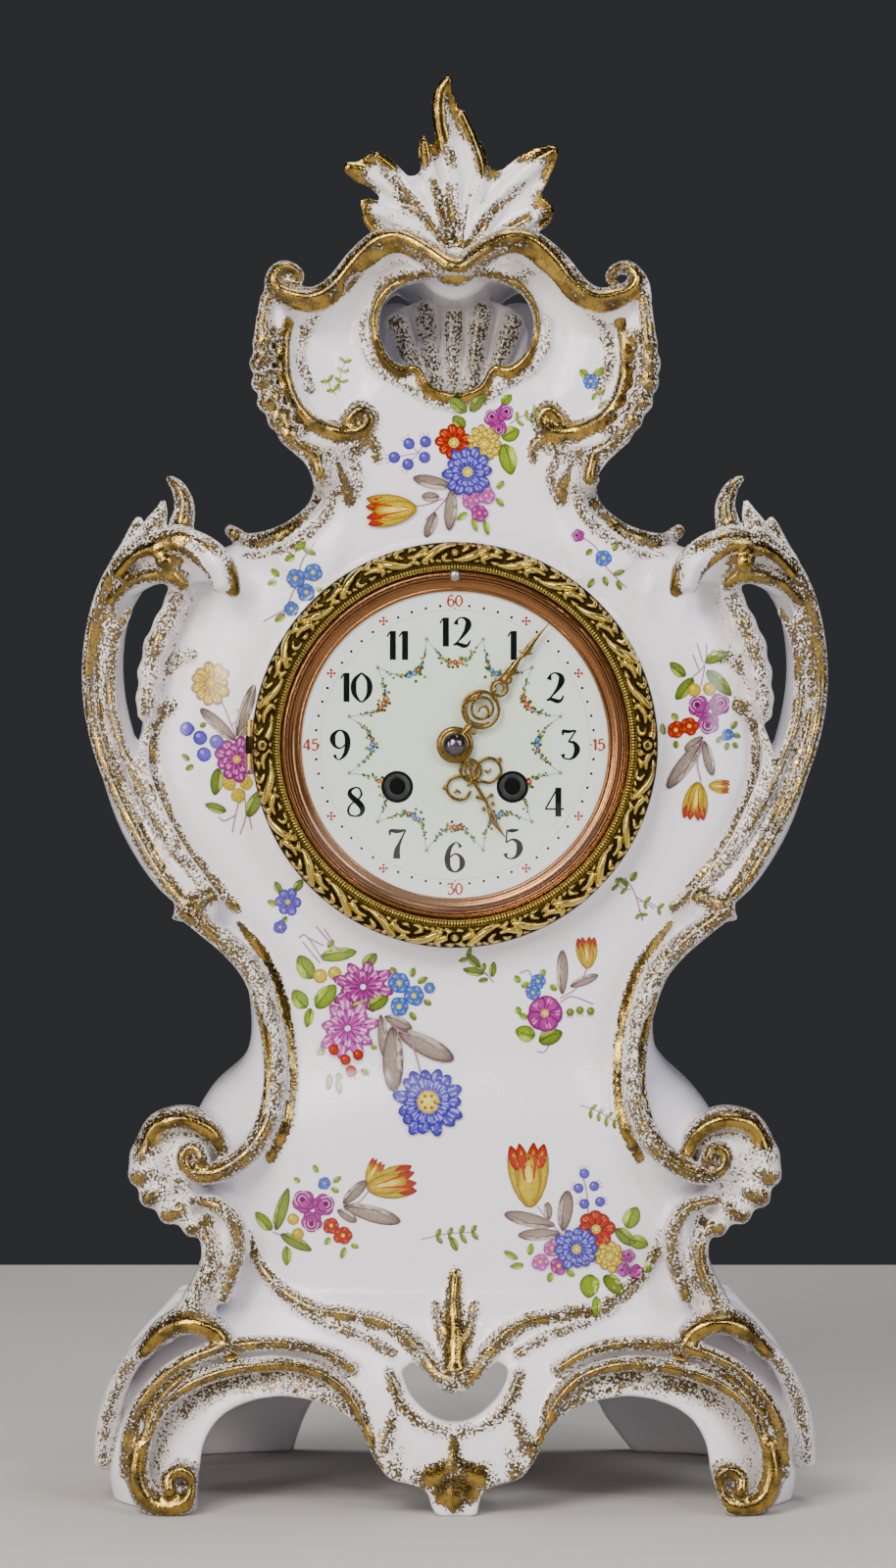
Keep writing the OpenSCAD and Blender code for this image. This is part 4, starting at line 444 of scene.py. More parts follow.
# Handles: pressed apart from the same paste and luted on at the shoulder and the waist. Each is a
# broad strap with a leaf that curls over its head and a tail that dies into the waist.
STRAP = [(228, 596, 3.0), (222, 576, 4.0), (200, 560, 4.8), (168, 560, 5.4), (136, 580, 5.5),
         (113, 614, 5.2), (103, 656, 5.0), (102, 704, 5.2), (110, 756, 6.0), (125, 804, 6.6),
         (146, 850, 6.8), (176, 896, 6.0), (208, 928, 3.6)]
roll(STRAP, y=[-60, -60, -55, -46, -36, -29, -24, -22, -24, -28, -34, -42, -48], deep=2.3, blend=3)
roll([(236, 598, 2.4), (230, 578, 3.2), (212, 560, 3.4), (186, 550, 3.4), (158, 552, 3.2), (130, 568, 3.0),
      (108, 596, 2.6), (93, 640, 2.4), (88, 692, 2.4), (94, 742, 2.4), (110, 792, 2.4), (134, 842, 2.4),
      (162, 890, 2.4), (188, 922, 2.0)],
     y=[-61, -62, -62, -60, -57, -52, -47, -42, -40, -42, -45, -49, -54, -57], deep=1.4, gilt=(1.5, 0.66))
roll([(240, 604, 2.0), (233, 580, 2.4), (214, 561, 2.4), (188, 552, 2.2), (160, 554, 1.8)],
     y=[-62, -63, -63, -61, -58], gilt=(1.8, 0.95))
roll([(124, 600, 0.8), (110, 634, 1.5), (103, 680, 1.8), (104, 732, 1.8), (118, 786, 1.8), (142, 840, 1.8),
      (172, 892, 1.6), (204, 926, 0.9)],
     y=[-46, -44, -40, -39, -42, -47, -53, -56], deep=1.3, gilt=(1.0, 0.5))
roll([(132, 592, 4.0), (156, 578, 5.2), (184, 574, 5.6), (212, 578, 4.6)], y=[-42, -48, -50, -50], deep=1.6,
     blend=2.5)
roll([(112, 614, 1.6), (128, 597, 2.0), (150, 588, 2.4), (176, 588, 2.4), (188, 597, 2.0)],
     y=[-48, -52, -56, -59, -58], deep=1.5, gilt=(1.8, 0.8))
roll([(118, 588, 1.2), (138, 568, 1.7), (160, 562, 1.8), (180, 572, 1.4)], y=[-54, -59, -62, -60],
     gilt=(1.8, 0.95))
roll([(168, 574, 2.6), (171, 574, 2.6)], y=[-62], gilt=(1.5, 0.9))
roll([(150, 556, 1.0), (178, 556, 1.6), (200, 568, 1.8), (216, 584, 1.6), (222, 600, 1.2)],
     y=[-60, -63, -64, -64, -62], gilt=(1.2, 0.85))
roll([(172, 488, 1.2), (182, 498, 2.2), (188, 516, 3.0), (185, 536, 3.6), (178, 556, 3.6)],
     y=[-52, -53, -54, -54, -54], deep=1.3, gilt=(1.6, 0.68))
roll([(166, 512, 0.9), (163, 524, 2.2), (156, 538, 3.2), (150, 554, 3.6)], y=[-51, -52, -53, -53], deep=1.3,
     gilt=(2.0, 0.5))
roll([(140, 530, 1.2), (139, 540, 2.4), (133, 556, 3.0), (124, 572, 3.0)], y=[-49, -50, -50, -50], deep=1.3,
     gilt=(2.0, 0.55))
roll([(176, 500, 0.8), (176, 522, 1.1), (166, 542, 1.0)], y=[-57, -58, -58], cut=True, blend=1.2)
# The ragged edge of the body where the finger gap opens beside it
roll([(182, 604, 3.0), (170, 632, 3.2), (158, 656, 3.2), (151, 690, 3.0), (147, 728, 2.6)],
     y=[-46, -45, -45, -45, -45], deep=2.4, blend=4, gilt=(3.0, 0.52))
for x, y, r in ((176, 612, 1.8), (166, 634, 2.2), (154, 658, 2.0), (148, 686, 2.2), (145, 712, 1.8)):
    roll([(x + 8, y + 3, r), (x, y, r)], y=[-49, -47], deep=1.7, blend=3.0, gilt=(2.0, 0.5))
roll([(104, 640, 0.7), (97, 690, 0.9), (101, 742, 1.0), (117, 794, 1.0), (141, 846, 1.0), (172, 896, 0.8)],
     y=[-46, -42, -43, -46, -50, -56], cut=True, blend=1.2)
roll([(119, 640, 0.8), (111, 690, 1.0), (113, 738, 1.0), (127, 786, 1.0), (150, 834, 1.0), (180, 886, 0.8)],
     y=[-43, -39, -40, -43, -48, -54], cut=True, blend=1.2)
roll([(130, 622, 1.2), (116, 652, 1.5), (110, 690, 1.7), (114, 736, 1.9), (130, 780, 1.9), (154, 830, 1.9),
      (186, 878, 1.7), (222, 918, 1.0)],
     y=[-46, -43, -41, -43, -46, -50, -53, -54], deep=1.3, gilt=(1.2, 0.6))
roll([(150, 742, 1.2), (143, 778, 1.8), (160, 824, 1.8), (182, 864, 1.6), (210, 902, 1.2)],
     y=[-46, -47, -51, -54, -55], deep=1.2, gilt=(1.8, 0.45))
roll([(194, 668, 1.4), (178, 670, 2.2), (164, 684, 2.4), (154, 704, 2.0), (148, 722, 1.6)], lift=0.8,
     gilt=(2.0, 0.5))
roll([(178, 640, 1.0), (166, 650, 1.8), (157, 666, 1.8)], lift=0.6, gilt=(2.0, 0.5))
roll([(172, 720, 1.8), (160, 728, 2.4), (154, 750, 1.8), (155, 786, 1.6), (164, 820, 1.6), (180, 856, 1.5),
      (206, 892, 1.5), (238, 928, 1.3)],
     lift=0.7, gilt=(1.8, 0.6))
roll([(180, 936, 1.4), (196, 922, 3.0), (214, 914, 2.4)], y=[-54, -56, -54], deep=1.3, gilt=(2, 0.7))

# Waist: a broad ridge that sweeps from the handle's tail into the lower volute, a thin one inside
# it and a groove between them
roll([(186, 930, 2.0), (208, 944, 2.8), (236, 966, 3.2), (258, 992, 3.4), (271, 1026, 3.4),
      (279, 1064, 3.4), (281, 1104, 3.4), (274, 1142, 3.4), (256, 1172, 3.4), (228, 1192, 3.2),
      (204, 1196, 2.8), (190, 1186, 2.4), (190, 1172, 2.2), (202, 1168, 2.0), (208, 1180, 2.4)],
     y=[-57, -56, -55, -54, -54, -54, -55, -57, -60, -62, -63, -63, -63, -63, -64], deep=1.5,
     gilt=(1.6, 0.72), web=-34)
roll([(244, 946, 0.8), (268, 976, 1.2), (284, 1012, 1.3), (293, 1056, 1.3), (297, 1104, 1.3),
      (291, 1150, 1.2), (276, 1182, 0.9)],
     lift=0.3, gilt=(1.2, 0.85))
roll([(262, 1000, 0.8), (272, 1040, 1.2), (276, 1084, 1.2), (272, 1126, 1.0), (262, 1150, 0.8)],
     y=[-57.6, -57.6, -58, -59, -60], cut=True, blend=1.2)

# Lower volute: a rolled scroll at the corner of the case, with a shell pressed on beside it that
# wraps back round the corner
roll([(228, 1176, 2.0), (218, 1154, 3.0), (192, 1141, 3.6), (164, 1146, 3.6), (150, 1166, 3.2),
      (146, 1188, 3.0)],
     y=[-58, -58, -57, -56, -55, -54], deep=2.0, gilt=(2.0, 0.85), web=-36)
roll([(174, 1166, 6.0), (196, 1172, 6.0)], y=[-50], deep=1.2, blend=3, gilt=(3, 0.28), web=-36)
for q in [(158, 1186, 4.2), (160, 1206, 4.4), (172, 1226, 4.2), (192, 1240, 4.0)]:
    roll([(190, 1180, 3.0), q], y=[-46, -47], deep=3.0, blend=2.2, gilt=(2.5, 0.4), web=-34)
for q in [(143, 1180, 2.2), (141, 1200, 2.4), (152, 1222, 2.4), (172, 1240, 2.2), (196, 1254, 2.0)]:
    roll([(q[0] + 14, q[1] - 7, q[2] * 0.9), q[:2] + (q[2] * 1.2,)], y=[-56, -55], deep=2.2, blend=3.4,
         gilt=(1.8, 0.75))
roll([(174, 1180, 1.0), (160, 1206, 1.2)], y=[-64, -63], cut=True, blend=1.2)
roll([(190, 1196, 1.0), (184, 1226, 1.2)], y=[-64, -62], cut=True, blend=1.2)
roll([(200, 1222, 1.6), (224, 1228, 2.4), (240, 1244, 2.6), (244, 1268, 2.6), (238, 1296, 2.4),
      (228, 1322, 2.0)],
     y=[-60, -61, -61, -60, -60, -60], deep=1.6, gilt=(1.7, 0.68), web=-38)
roll([(214, 1244, 4.0), (226, 1272, 5.0), (220, 1300, 5.5), (204, 1328, 5.0)], y=[-52], deep=1.3, blend=3.0)
roll([(204, 1250, 1.4), (214, 1266, 2.4), (214, 1292, 2.8), (196, 1328, 3.0), (170, 1360, 2.6)],
     y=[-58, -58, -58, -58, -59], deep=1.8, gilt=(2.2, 0.6), web=-38)

# Plinth: rolls of the same clay for the panel frame, the shoulder scrolls, the two ridges and
# the groove over each arch, and the volute that it stands on
roll([(252, 1262, 0.9), (262, 1290, 1.3), (286, 1316, 1.4), (320, 1334, 1.4), (360, 1341, 1.6),
      (398, 1350, 1.9), (426, 1372, 2.2), (446, 1398, 2.6), (464, 1406, 3.2)],
     lift=0.6, gilt=(1.8, 0.62))
roll([(300, 1334, 0.8), (336, 1350, 1.1), (372, 1362, 1.2), (400, 1378, 1.0)], lift=0.3, gilt=(1.6, 0.5))
roll([(464, 1300, 0.8), (462, 1330, 1.6), (464, 1356, 2.4), (464, 1388, 3.2)], lift=0.8, both=False,
     gilt=(2.0, 0.9))
roll([(444, 1330, 0.8), (450, 1354, 1.4), (458, 1380, 1.6)], lift=0.6, gilt=(1.6, 0.6))
roll([(148, 1378, 2.2), (168, 1354, 3.4), (198, 1346, 3.8), (224, 1356, 3.4), (236, 1376, 2.4)],
     y=[-58, -60, -61, -62, -62], deep=2.0, gilt=(2.0, 0.85), web=-44)
roll([(150, 1372, 2.4), (132, 1392, 2.8), (116, 1424, 3.0), (106, 1462, 3.0), (102, 1498, 2.6)],
     y=[-56, -53, -48, -42, -38], deep=2.2, gilt=(1.8, 0.5), web=-30)
roll([(150, 1466, 1.8), (162, 1436, 2.4), (186, 1412, 2.6), (222, 1396, 2.6), (262, 1388, 2.4),
      (302, 1388, 2.2), (336, 1400, 2.2), (360, 1424, 2.2), (374, 1458, 2.0), (384, 1492, 1.8)],
     y=[-66], deep=1.8, gilt=(1.6, 0.72))
roll([(128, 1500, 1.6), (132, 1464, 2.2), (146, 1428, 2.4), (172, 1398, 2.6), (206, 1378, 2.6),
      (246, 1368, 2.4), (290, 1366, 2.2), (330, 1374, 2.0), (360, 1392, 1.6)],
     y=[-62, -63, -64, -65, -65, -65, -65, -65], deep=1.7, gilt=(1.6, 0.68))
roll([(142, 1500, 1.4), (148, 1462, 1.6), (160, 1430, 1.6), (188, 1400, 1.6), (226, 1384, 1.4),
      (280, 1376, 1.2)],
     y=[-68, -68, -68, -68, -68.5], cut=True, blend=1.4)
roll([(146, 1470, 3.0), (142, 1500, 3.6), (152, 1524, 4.0), (174, 1532, 4.0), (194, 1524, 3.6),
      (200, 1506, 3.0), (188, 1494, 2.6), (174, 1500, 2.4), (175, 1513, 2.8)],
     y=[-63, -63, -63, -64, -65, -65, -66, -66, -67], deep=1.6, gilt=(1.8, 0.8))
for q in [(392, 1470, 2.8), (400, 1500, 3.2), (424, 1512, 3.4)]:
    roll([(q[0] + 10, q[1] - 30, q[2] * 0.6), q], y=[-65, -66], deep=1.3, gilt=(2.0, 0.55))
roll([(398, 1396, 1.2), (408, 1424, 1.6), (430, 1448, 1.8), (464, 1456, 2.0)], y=[-65, -66, -66],
     gilt=(1.8, 0.6))
for q in [(440, 1500, 3.2), (452, 1516, 3.2), (464, 1522, 3.6)]:
    roll([(464, 1484, 2.4), q], y=[-65, -66], deep=1.2, gilt=(2.2, 0.9))
roll([(464, 1462, 1.4), (464, 1490, 1.6)], y=[-67, -68], both=False, gilt=(1.6, 0.8))
# The cove round each arch is only sponged with gold
for side in (1, -1):
    cove = curve_through([(158, 1500, 1.5), (166, 1462, 2.0), (190, 1432, 2.2), (222, 1412, 2.2),
                          (264, 1404, 2.2), (306, 1406, 2.2), (340, 1424, 2.2), (362, 1452, 2.0),
                          (376, 1490, 1.5)])
    x, z = flat_xz(cove[:, 0], cove[:, 1])
    gilded.append((np.stack([x * side, 0 * x - 66.0, z, cove[:, 2]], 1), (4.0, 0.5), 2.5))
# Side legs: upright folds of a broad leaf, pressed into the wall between the front and back feet
for y, r in ((-10, 5.0), (12, 6.0), (34, 5.2)):
    roll([(176, 1358, r - 1.5), (138, 1416, r), (120, 1500, r)], y=[y], blend=7, gilt=(0.6, 0.3))

# Cut through the foot: two arches and the pierced apron in front, one wide arch at the back and one
# on each side
ARCH = [(198, 1600), (204, 1500), (213, 1460), (238, 1434), (284, 1421), (334, 1429), (366, 1450),
        (383, 1484), (400, 1503), (430, 1512), (440, 1530), (450, 1600)]
RIGHT_ARCH = [(2 * MIDDLE_X - x, y) for x, y in reversed(ARCH)]
APRON_HOLE = [(410, 1396), (421, 1388), (434, 1398), (448, 1413), (464, 1418), (480, 1413), (494, 1398),
              (507, 1388), (518, 1396), (508, 1420), (486, 1440), (464, 1446), (442, 1440), (420, 1420)]
# How deep the front arches go in, and where the back arch and the side arches begin
FRONT_ARCH_TO, BACK_ARCH_FROM, SIDE_ARCH_FROM = -30, 30, 40
part, X, Y, _ = clay.block((LEFT, FRONT, BOTTOM), (RIGHT, BACK, 60))
for outline in (ARCH, RIGHT_ARCH, APRON_HOLE):
    hole = outline_field(clay, outline, part)
    clay.cut(np.maximum(hole, Y - FRONT_ARCH_TO), part, 1.5)
wide = outline_field(clay, [(270, 1600), (300, 1500), (340, 1450), (410, 1424), (464, 1420), (518, 1424),
                            (588, 1450), (628, 1500), (658, 1600)],
                     part)
clay.cut(np.maximum(wide, BACK_ARCH_FROM - Y), part, 1.5)
# The side arches' outline runs front to back, so it is looked up by depth
side = np.interp(-Y[0, :, 0] - 8, clay.lo[0] + CLAY_STEP * np.arange(clay.n[0]), np.arange(clay.n[0]))
side_hole = outline_field(clay, [(366, 1600), (384, 1500), (410, 1452), (464, 1428), (518, 1452),
                                 (544, 1500), (562, 1600)])
side_hole = side_hole[np.round(side).astype(int)][None, :, part[2]]
clay.cut(np.maximum(side_hole, SIDE_ARCH_FROM - np.abs(X)), part, 1.5)

# The hollow inside. The plinth's runs out through its foot and up into the case.
CASE_WALL, PLINTH_WALL = 6.5, 7.5
first, *between, last = PLINTH_ROWS
open_plinth = [(first[0] - 8, *first[1:]), *between, (last[0] + 30, *last[1:])]
for rows, wall in ((CASE_ROWS[:-2], CASE_WALL), (open_plinth, PLINTH_WALL)):
    dist, part = lofted(rows, wall)
    clay.cut(dist, part, 2.0)
# The collar and flat seat for the bezel, the round hole for the movement and the back door's seat:
# radii, and depths from the middle of the case
COLLAR_R, COLLAR_MIDDLE, COLLAR_HALF = 60.5, -47.5, 4.5
SEAT_R, SEAT_Y, FRONT_HOLE_R = 59.4, -52.2, 52
BACK_HOLE_R, DOOR_SEAT_R, DOOR_SEAT_Y = 51.4, 56.4, 52.0
part, X, Y, Z = clay.block((-70, FRONT, 150), (70, BACK, 300))
round_off = np.sqrt(X ** 2 + (Z - DIAL_Z) ** 2)
clay.lay(np.maximum(round_off - COLLAR_R, np.abs(Y - COLLAR_MIDDLE) - COLLAR_HALF), part, 1.0)
for radius, beyond, blend in ((SEAT_R, Y - SEAT_Y, 0.6), (FRONT_HOLE_R, Y, 0.4), (BACK_HOLE_R, -Y, 0.4),
                              (DOOR_SEAT_R, DOOR_SEAT_Y - Y, 0.4)):
    clay.cut(np.maximum(round_off - radius, beyond), part, blend)
# The pierced window, the room behind it, which is open at the back, and the screen with its fluted
# shell that closes it. Middles and half thicknesses are depths in mm.
WINDOW_TO, ROOM_WALL, ROOM_MIDDLE, ROOM_HALF = -40, 5, 2, 45.5
SCREEN_MIDDLE, SCREEN_HALF, SHELL_MIDDLE, SHELL_HALF = 9.5, 2.6, -13, 2.2
part, _, Y, Z = clay.block(CREST_LO, CREST_HI)
mouth = outline_field(clay, CARTOUCHE, part)
clay.cut(np.maximum(mouth, Y - WINDOW_TO), part, 1.2)
room_floor = flat_xz(0, 432)[1]
room = np.maximum(rim + ROOM_WALL + narrow, np.abs(Y - ROOM_MIDDLE) - ROOM_HALF)
clay.cut(np.maximum(room, room_floor - Z), part, 2.0)
screen = outline_field(clay, [(x, y + 42) for x, y in CREST], part)
screen = np.maximum(screen + 3, rim + 5.5 + narrow)
clay.lay(np.maximum(screen, np.abs(Y - SCREEN_MIDDLE) - SCREEN_HALF), part, 2.0)
shell = outline_field(clay, [(390, 352), (392, 326), (402, 308), (424, 298), (448, 291), (464, 288),
                             (480, 291), (506, 298), (528, 308), (540, 326), (538, 352), (512, 392),
                             (464, 418), (416, 392)],
                      part)
clay.lay(np.maximum(shell, np.abs(Y - SHELL_MIDDLE) - SHELL_HALF), part, 1.5)
for top_x, top_y, root_x in ((404, 322, 428), (432, 310, 446), (462, 299, 463), (492, 310, 481),
                             (524, 322, 500)):
    top, root = flat_xz(top_x, top_y), flat_xz(root_x, 388)
    clay.roll([(root[0], -17, root[1], 2.6), (top[0], -16, top[1], 3.9)], 1.0)
    ridge = np.array([(root[0], -19, root[1], 1.4), (top[0], -18.5, top[1], 2.2)])
    gilded.append((ridge, (3.0, 0.46), 1.0))
# The foot is ground flat on the bench
part, _, _, Z = clay.block((LEFT, FRONT, BOTTOM), (RIGHT, BACK, 2))
clay.cut(np.broadcast_to(Z, clay.d[part].shape), part, 0.3)


# Glaze and gilding: clear glaze over white paste, with gold sponged on the ridges and fired again.
# The glaze gives sharp small highlights on a milk-white body. Where the gold is thin it breaks
# into brown specks of about 0.6 mm, and it is rubbed through in patches.
def laid_mesh(name, spots, faces, normals=None, marks=None):
    """A mesh object from millimetre points and faces of one size, with smooth shading"""
    me = bpy.data.meshes.new(name)
    me.vertices.add(len(spots))
    me.vertices.foreach_set("co", (np.asarray(spots, np.float32) * MM).ravel())
    k = faces.shape[1]
    me.loops.add(faces.size)
    me.loops.foreach_set("vertex_index", faces.ravel().astype(np.int32))
    me.polygons.add(len(faces))
    me.polygons.foreach_set("loop_start", np.arange(len(faces), dtype=np.int32) * k)
    me.update(calc_edges=True)
    me.polygons.foreach_set("use_smooth", np.ones(len(faces), bool))
    for label, values in (marks or {}).items():
        a = me.attributes.new(label, "FLOAT", "POINT")
        a.data.foreach_set("value", np.asarray(values, np.float32))
    if normals is not None:
        me.normals_split_custom_set_from_vertices(np.asarray(normals, float))
    o = bpy.data.objects.new(name, me)
    bpy.context.scene.collection.objects.link(o)
    return o


def gilt_on(spots, normals):
    """How much gold each surface point took from the brush: most on the crests that face forward"""
    crest = 0.5 + 0.5 * np.clip(-1.5 * normals[:, 1] - 0.3, 0, 1)
    worn = np.zeros(len(spots), np.float32)
    for path, (width, strength), deep in gilded:
        reach = (path[:, 3].max() + width * 1.2) * np.array((1, deep, 1)) + 1
        lo, hi = path[:, :3].min(0) - reach, path[:, :3].max(0) + reach
        near = np.flatnonzero(((spots > lo) & (spots < hi)).all(1))
        if not len(near):
            continue
        p, best = spots[near], np.full(len(near), np.inf)
        for a, b in zip(path[:-1], path[1:]):
            u = (b - a)[:3] * (1, 1 / deep, 1)
            q = (p - a[:3]) * (1, 1 / deep, 1)
            t = np.clip(q @ u / max(u @ u, 1e-6), 0, 1)
            best = np.minimum(best, np.linalg.norm(q - t[:, None] * u, axis=1) - (a[3] + (b[3] - a[3]) * t))
        worn[near] = np.maximum(worn[near], strength * crest[near] * np.clip(1.1 - best / width, 0, 1))
    return worn


def joined_pieces(clay, cuts, material, body="case"):
    """Splits the clay's surface by height into named mesh objects of their CAD body"""
    spots, faces = clay.surface()
    normals = clay.normals(spots)
    spots = clay.lo + clay.step * spots
    gold, height = gilt_on(spots, normals), spots[faces].mean(1)[:, 2]
    out = []
    for name, low, high in cuts:
        used, local = np.unique(faces[(height >= low) & (height < high)], return_inverse=True)
        o = laid_mesh(name, spots[used], local.reshape(-1, 4), normals[used], {"gold": gold[used]})
        o.data.materials.append(material)
        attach(o, body)
        out.append(o)
    return out


def node(tree, kind, links=None, **settings):
    """Adds one node with its settings; links maps an input to a socket or a value"""
    n = tree.nodes.new(kind)
    for k, v in settings.items():
        setattr(n, k, v)
    for k, v in (links or {}).items():
        if isinstance(v, bpy.types.NodeSocket):
            tree.links.new(v, n.inputs[k])
        else:
            n.inputs[k].default_value = v
    return n


def mixed(tree, share, a, b):
    """A mix of two colours, each a socket or a fixed colour"""
    return node(tree, "ShaderNodeMix", {0: share, 6: a, 7: b}, data_type="RGBA").outputs[2]


SPECK_MM, PATCH_MM = 0.75, 5
# How much gold shows as brown, and how much as metal
BROWN_FROM, BROWN_FULL, GOLD_FROM, GOLD_FULL = 0.40, 0.48, 0.59, 0.70
glaze, tree, shader = finish_of("gilded_glazed_porcelain", IOR=1.52)
place = node(tree, "ShaderNodeTexCoord").outputs["Object"]
brushed = node(tree, "ShaderNodeAttribute", attribute_name="gold").outputs["Fac"]
specks = node(tree, "ShaderNodeTexNoise",
              {"Vector": place, "Scale": 1 / (SPECK_MM * MM), "Detail": 2.0, "Roughness": 0.6})
patches = node(tree, "ShaderNodeTexNoise", {"Vector": place, "Scale": 1 / (PATCH_MM * MM), "Detail": 3.0})
worn = node(tree, "ShaderNodeMath", {0: patches.outputs["Fac"], 1: 0.55, 2: -0.29},
            operation="MULTIPLY_ADD")
grain = node(tree, "ShaderNodeMath", {0: specks.outputs["Fac"], 1: 1.35, 2: -0.675},
             operation="MULTIPLY_ADD")
amount = node(tree, "ShaderNodeMath", {0: brushed, 1: worn.outputs[0]}, operation="ADD")
amount = node(tree, "ShaderNodeMath", {0: amount.outputs[0], 1: grain.outputs[0]},
              operation="ADD").outputs[0]
bare = node(tree, "ShaderNodeMath", {0: brushed, 1: 0.04}, operation="GREATER_THAN").outputs[0]
brown = node(tree, "ShaderNodeMapRange",
             {"Value": amount, "From Min": BROWN_FROM, "From Max": BROWN_FULL}).outputs[0]
brown = node(tree, "ShaderNodeMath", {0: brown, 1: bare}, operation="MULTIPLY").outputs[0]
bright = node(tree, "ShaderNodeMapRange",
              {"Value": amount, "From Min": GOLD_FROM, "From Max": GOLD_FULL}).outputs[0]
# Painted shade: beside the gilded relief the milk-white turns cream, standing for the dimmer light round
# the relief
painted_relief_shade = node(tree, "ShaderNodeMapRange", {"Value": brushed, "From Min": 0.0, "From Max": 0.5}).outputs[0]
body = mixed(tree, painted_relief_shade, hex_colour("#f4f2f8"), hex_colour("#efe8dd"))
dusty = mixed(tree, brown, body, hex_colour("#463a2a"))
aged = node(tree, "ShaderNodeMapRange",
            {"Value": patches.outputs["Fac"], "From Min": 0.38, "From Max": 0.6}).outputs[0]
gold = mixed(tree, aged, hex_colour("#5f4f26"), hex_colour("#b5954a"))
tree.links.new(mixed(tree, bright, dusty, gold), shader.inputs["Base Color"])
tree.links.new(bright, shader.inputs["Metallic"])
rough = node(tree, "ShaderNodeMapRange", {"Value": brown, "To Min": 0.09, "To Max": 0.18}).outputs[0]
tree.links.new(rough, shader.inputs["Roughness"])
relief = node(tree, "ShaderNodeBump", {"Height": amount, "Strength": 0.35, "Distance": 0.25 * MM})
tree.links.new(relief.outputs[0], shader.inputs["Normal"])

# For the visual model the casting is parted at the plinth's top and at the dial's middle
PLINTH_TOP, CASE_MIDDLE = 62, 226
parts = (("plinth_porcelain", BOTTOM - 5, PLINTH_TOP), ("case_lower", PLINTH_TOP, CASE_MIDDLE),
         ("case_upper", CASE_MIDDLE, TOP + 8))
plinth, lower, upper = joined_pieces(clay, parts, glaze)
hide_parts("plinth")
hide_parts("case_body")
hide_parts("case_body", "handle_left", "handle_right")
face = filled(clay.front())

# Crest leaf: an acanthus pressed in a mould, its lobes cupped forward, luted to the hood and
# gilded at its tips and along its folds
LEAF_LO, LEAF_HI, LEAF_STEP = (-38, -66, 356), (38, -30, 426), 0.8
clay = Clay(LEAF_LO, LEAF_HI, LEAF_STEP)
gilded = []


def lobe(points, depths, gilt, deep=1.0, blend=1.0, cut=False):
    """A roll or a hollow of the leaf; with no radius it only takes gold"""
    p = curve_through(points, 6)
    x, z = flat_xz(p[:, 0], p[:, 1])
    path = np.stack([x, spread(depths, len(p)), z, p[:, 2]], 1)
    if points[0][2]:
        clay.roll(path, blend, deep, cut)
    gilded.append((path, gilt, deep))


LEAF_EDGE = [(464, 288), (446, 278), (424, 264), (396, 250), (380, 240), (370, 228), (368, 216), (365, 206),
             (374, 200), (386, 203), (376, 192), (360, 186), (351, 176), (352, 167), (364, 165), (372, 158),
             (384, 153), (398, 160), (406, 172), (418, 178), (428, 172), (425, 158), (426, 144), (433, 136),
             (441, 146), (447, 136), (441, 112), (443, 94), (452, 80), (460, 80), (463, 92), (470, 112),
             (482, 132), (496, 150), (500, 168), (510, 172), (522, 163), (540, 152), (560, 148), (570, 152),
             (569, 166), (560, 186), (554, 198), (560, 204), (567, 212), (564, 226), (550, 238), (528, 250),
             (504, 264), (482, 278)]
# A plate that curls forward at its top, its sides and its rim, thin at the rim
part, X, Y, Z = clay.block(LEAF_LO, LEAF_HI)
edge = outline_field(clay, LEAF_EDGE, part, 3)
fold = -49 - 4.5 * ((Z - 372) / 48) ** 2 - 3 * (X / 31) ** 2 - 2.6 * np.exp(-(edge / 2.0) ** 2)
thick = np.interp(-edge, (0, 6), (1.3, 3.2))
clay.lay(np.maximum(edge + 0.5, np.abs(Y - fold) - thick), part, 1.2)
VEINS = [[(460, 276, 2.2), (434, 246, 2.4), (404, 222, 1.8), (376, 213, 1.0)],
         [(460, 270, 2.0), (438, 232, 2.2), (404, 192, 2.2), (374, 176, 1.8), (356, 172, 1.2)],
         [(450, 240, 1.4), (424, 204, 1.6), (402, 176, 1.6), (384, 160, 1.0)],
         [(462, 264, 1.8), (450, 216, 1.8), (438, 176, 1.6), (433, 146, 1.0)],
         [(464, 262, 1.8), (462, 214, 1.8), (460, 170, 2.0), (450, 126, 2.0), (450, 98, 1.6),
          (457, 84, 1.0)],
         [(468, 262, 1.6), (480, 214, 1.6), (490, 178, 1.6), (482, 146, 1.4), (470, 118, 1.2)],
         [(472, 266, 2.0), (492, 226, 2.2), (520, 192, 2.2), (546, 168, 1.8), (564, 156, 1.1)],
         [(472, 274, 2.2), (504, 248, 2.4), (534, 226, 1.8), (560, 216, 1.0)]]
for points in VEINS:
    lobe([(x, y, r * 1.3) for x, y, r in points], [-54, -54.5, -55, -56, -57.5], gilt=(1.4, 0.2), blend=1.6)
# Grooves from the foot of the leaf to its notches, brown with gold
for (x0, y0), (x1, y1) in (((452, 262), (392, 232)), ((454, 252), (392, 176)), ((458, 250), (442, 186)),
                           ((463, 250), (456, 190)), ((468, 250), (474, 190)), ((476, 254), (516, 204)),
                           ((480, 262), (540, 222))):
    lobe([(x0, y0, 0.8), ((x0 + x1) / 2, (y0 + y1) / 2 - 4, 1.4), (x1, y1, 0.9)], [-56, -57, -57],
         gilt=(1.2, 0.62), blend=1.4, cut=True)
# Teardrop hollows between the lobes
for points in ([(404, 200, 0.8), (418, 210, 2.0), (426, 218, 1.2)],
               [(536, 188, 0.8), (524, 202, 2.0), (516, 212, 1.2)], [(458, 152, 0.8), (461, 166, 1.5)],
               [(474, 180, 0.8), (473, 200, 1.5)], [(392, 174, 0.7), (402, 186, 1.2)]):
    lobe(points, [-56.5, -57, -57], gilt=(1.8, 0.55), blend=1.2, cut=True)
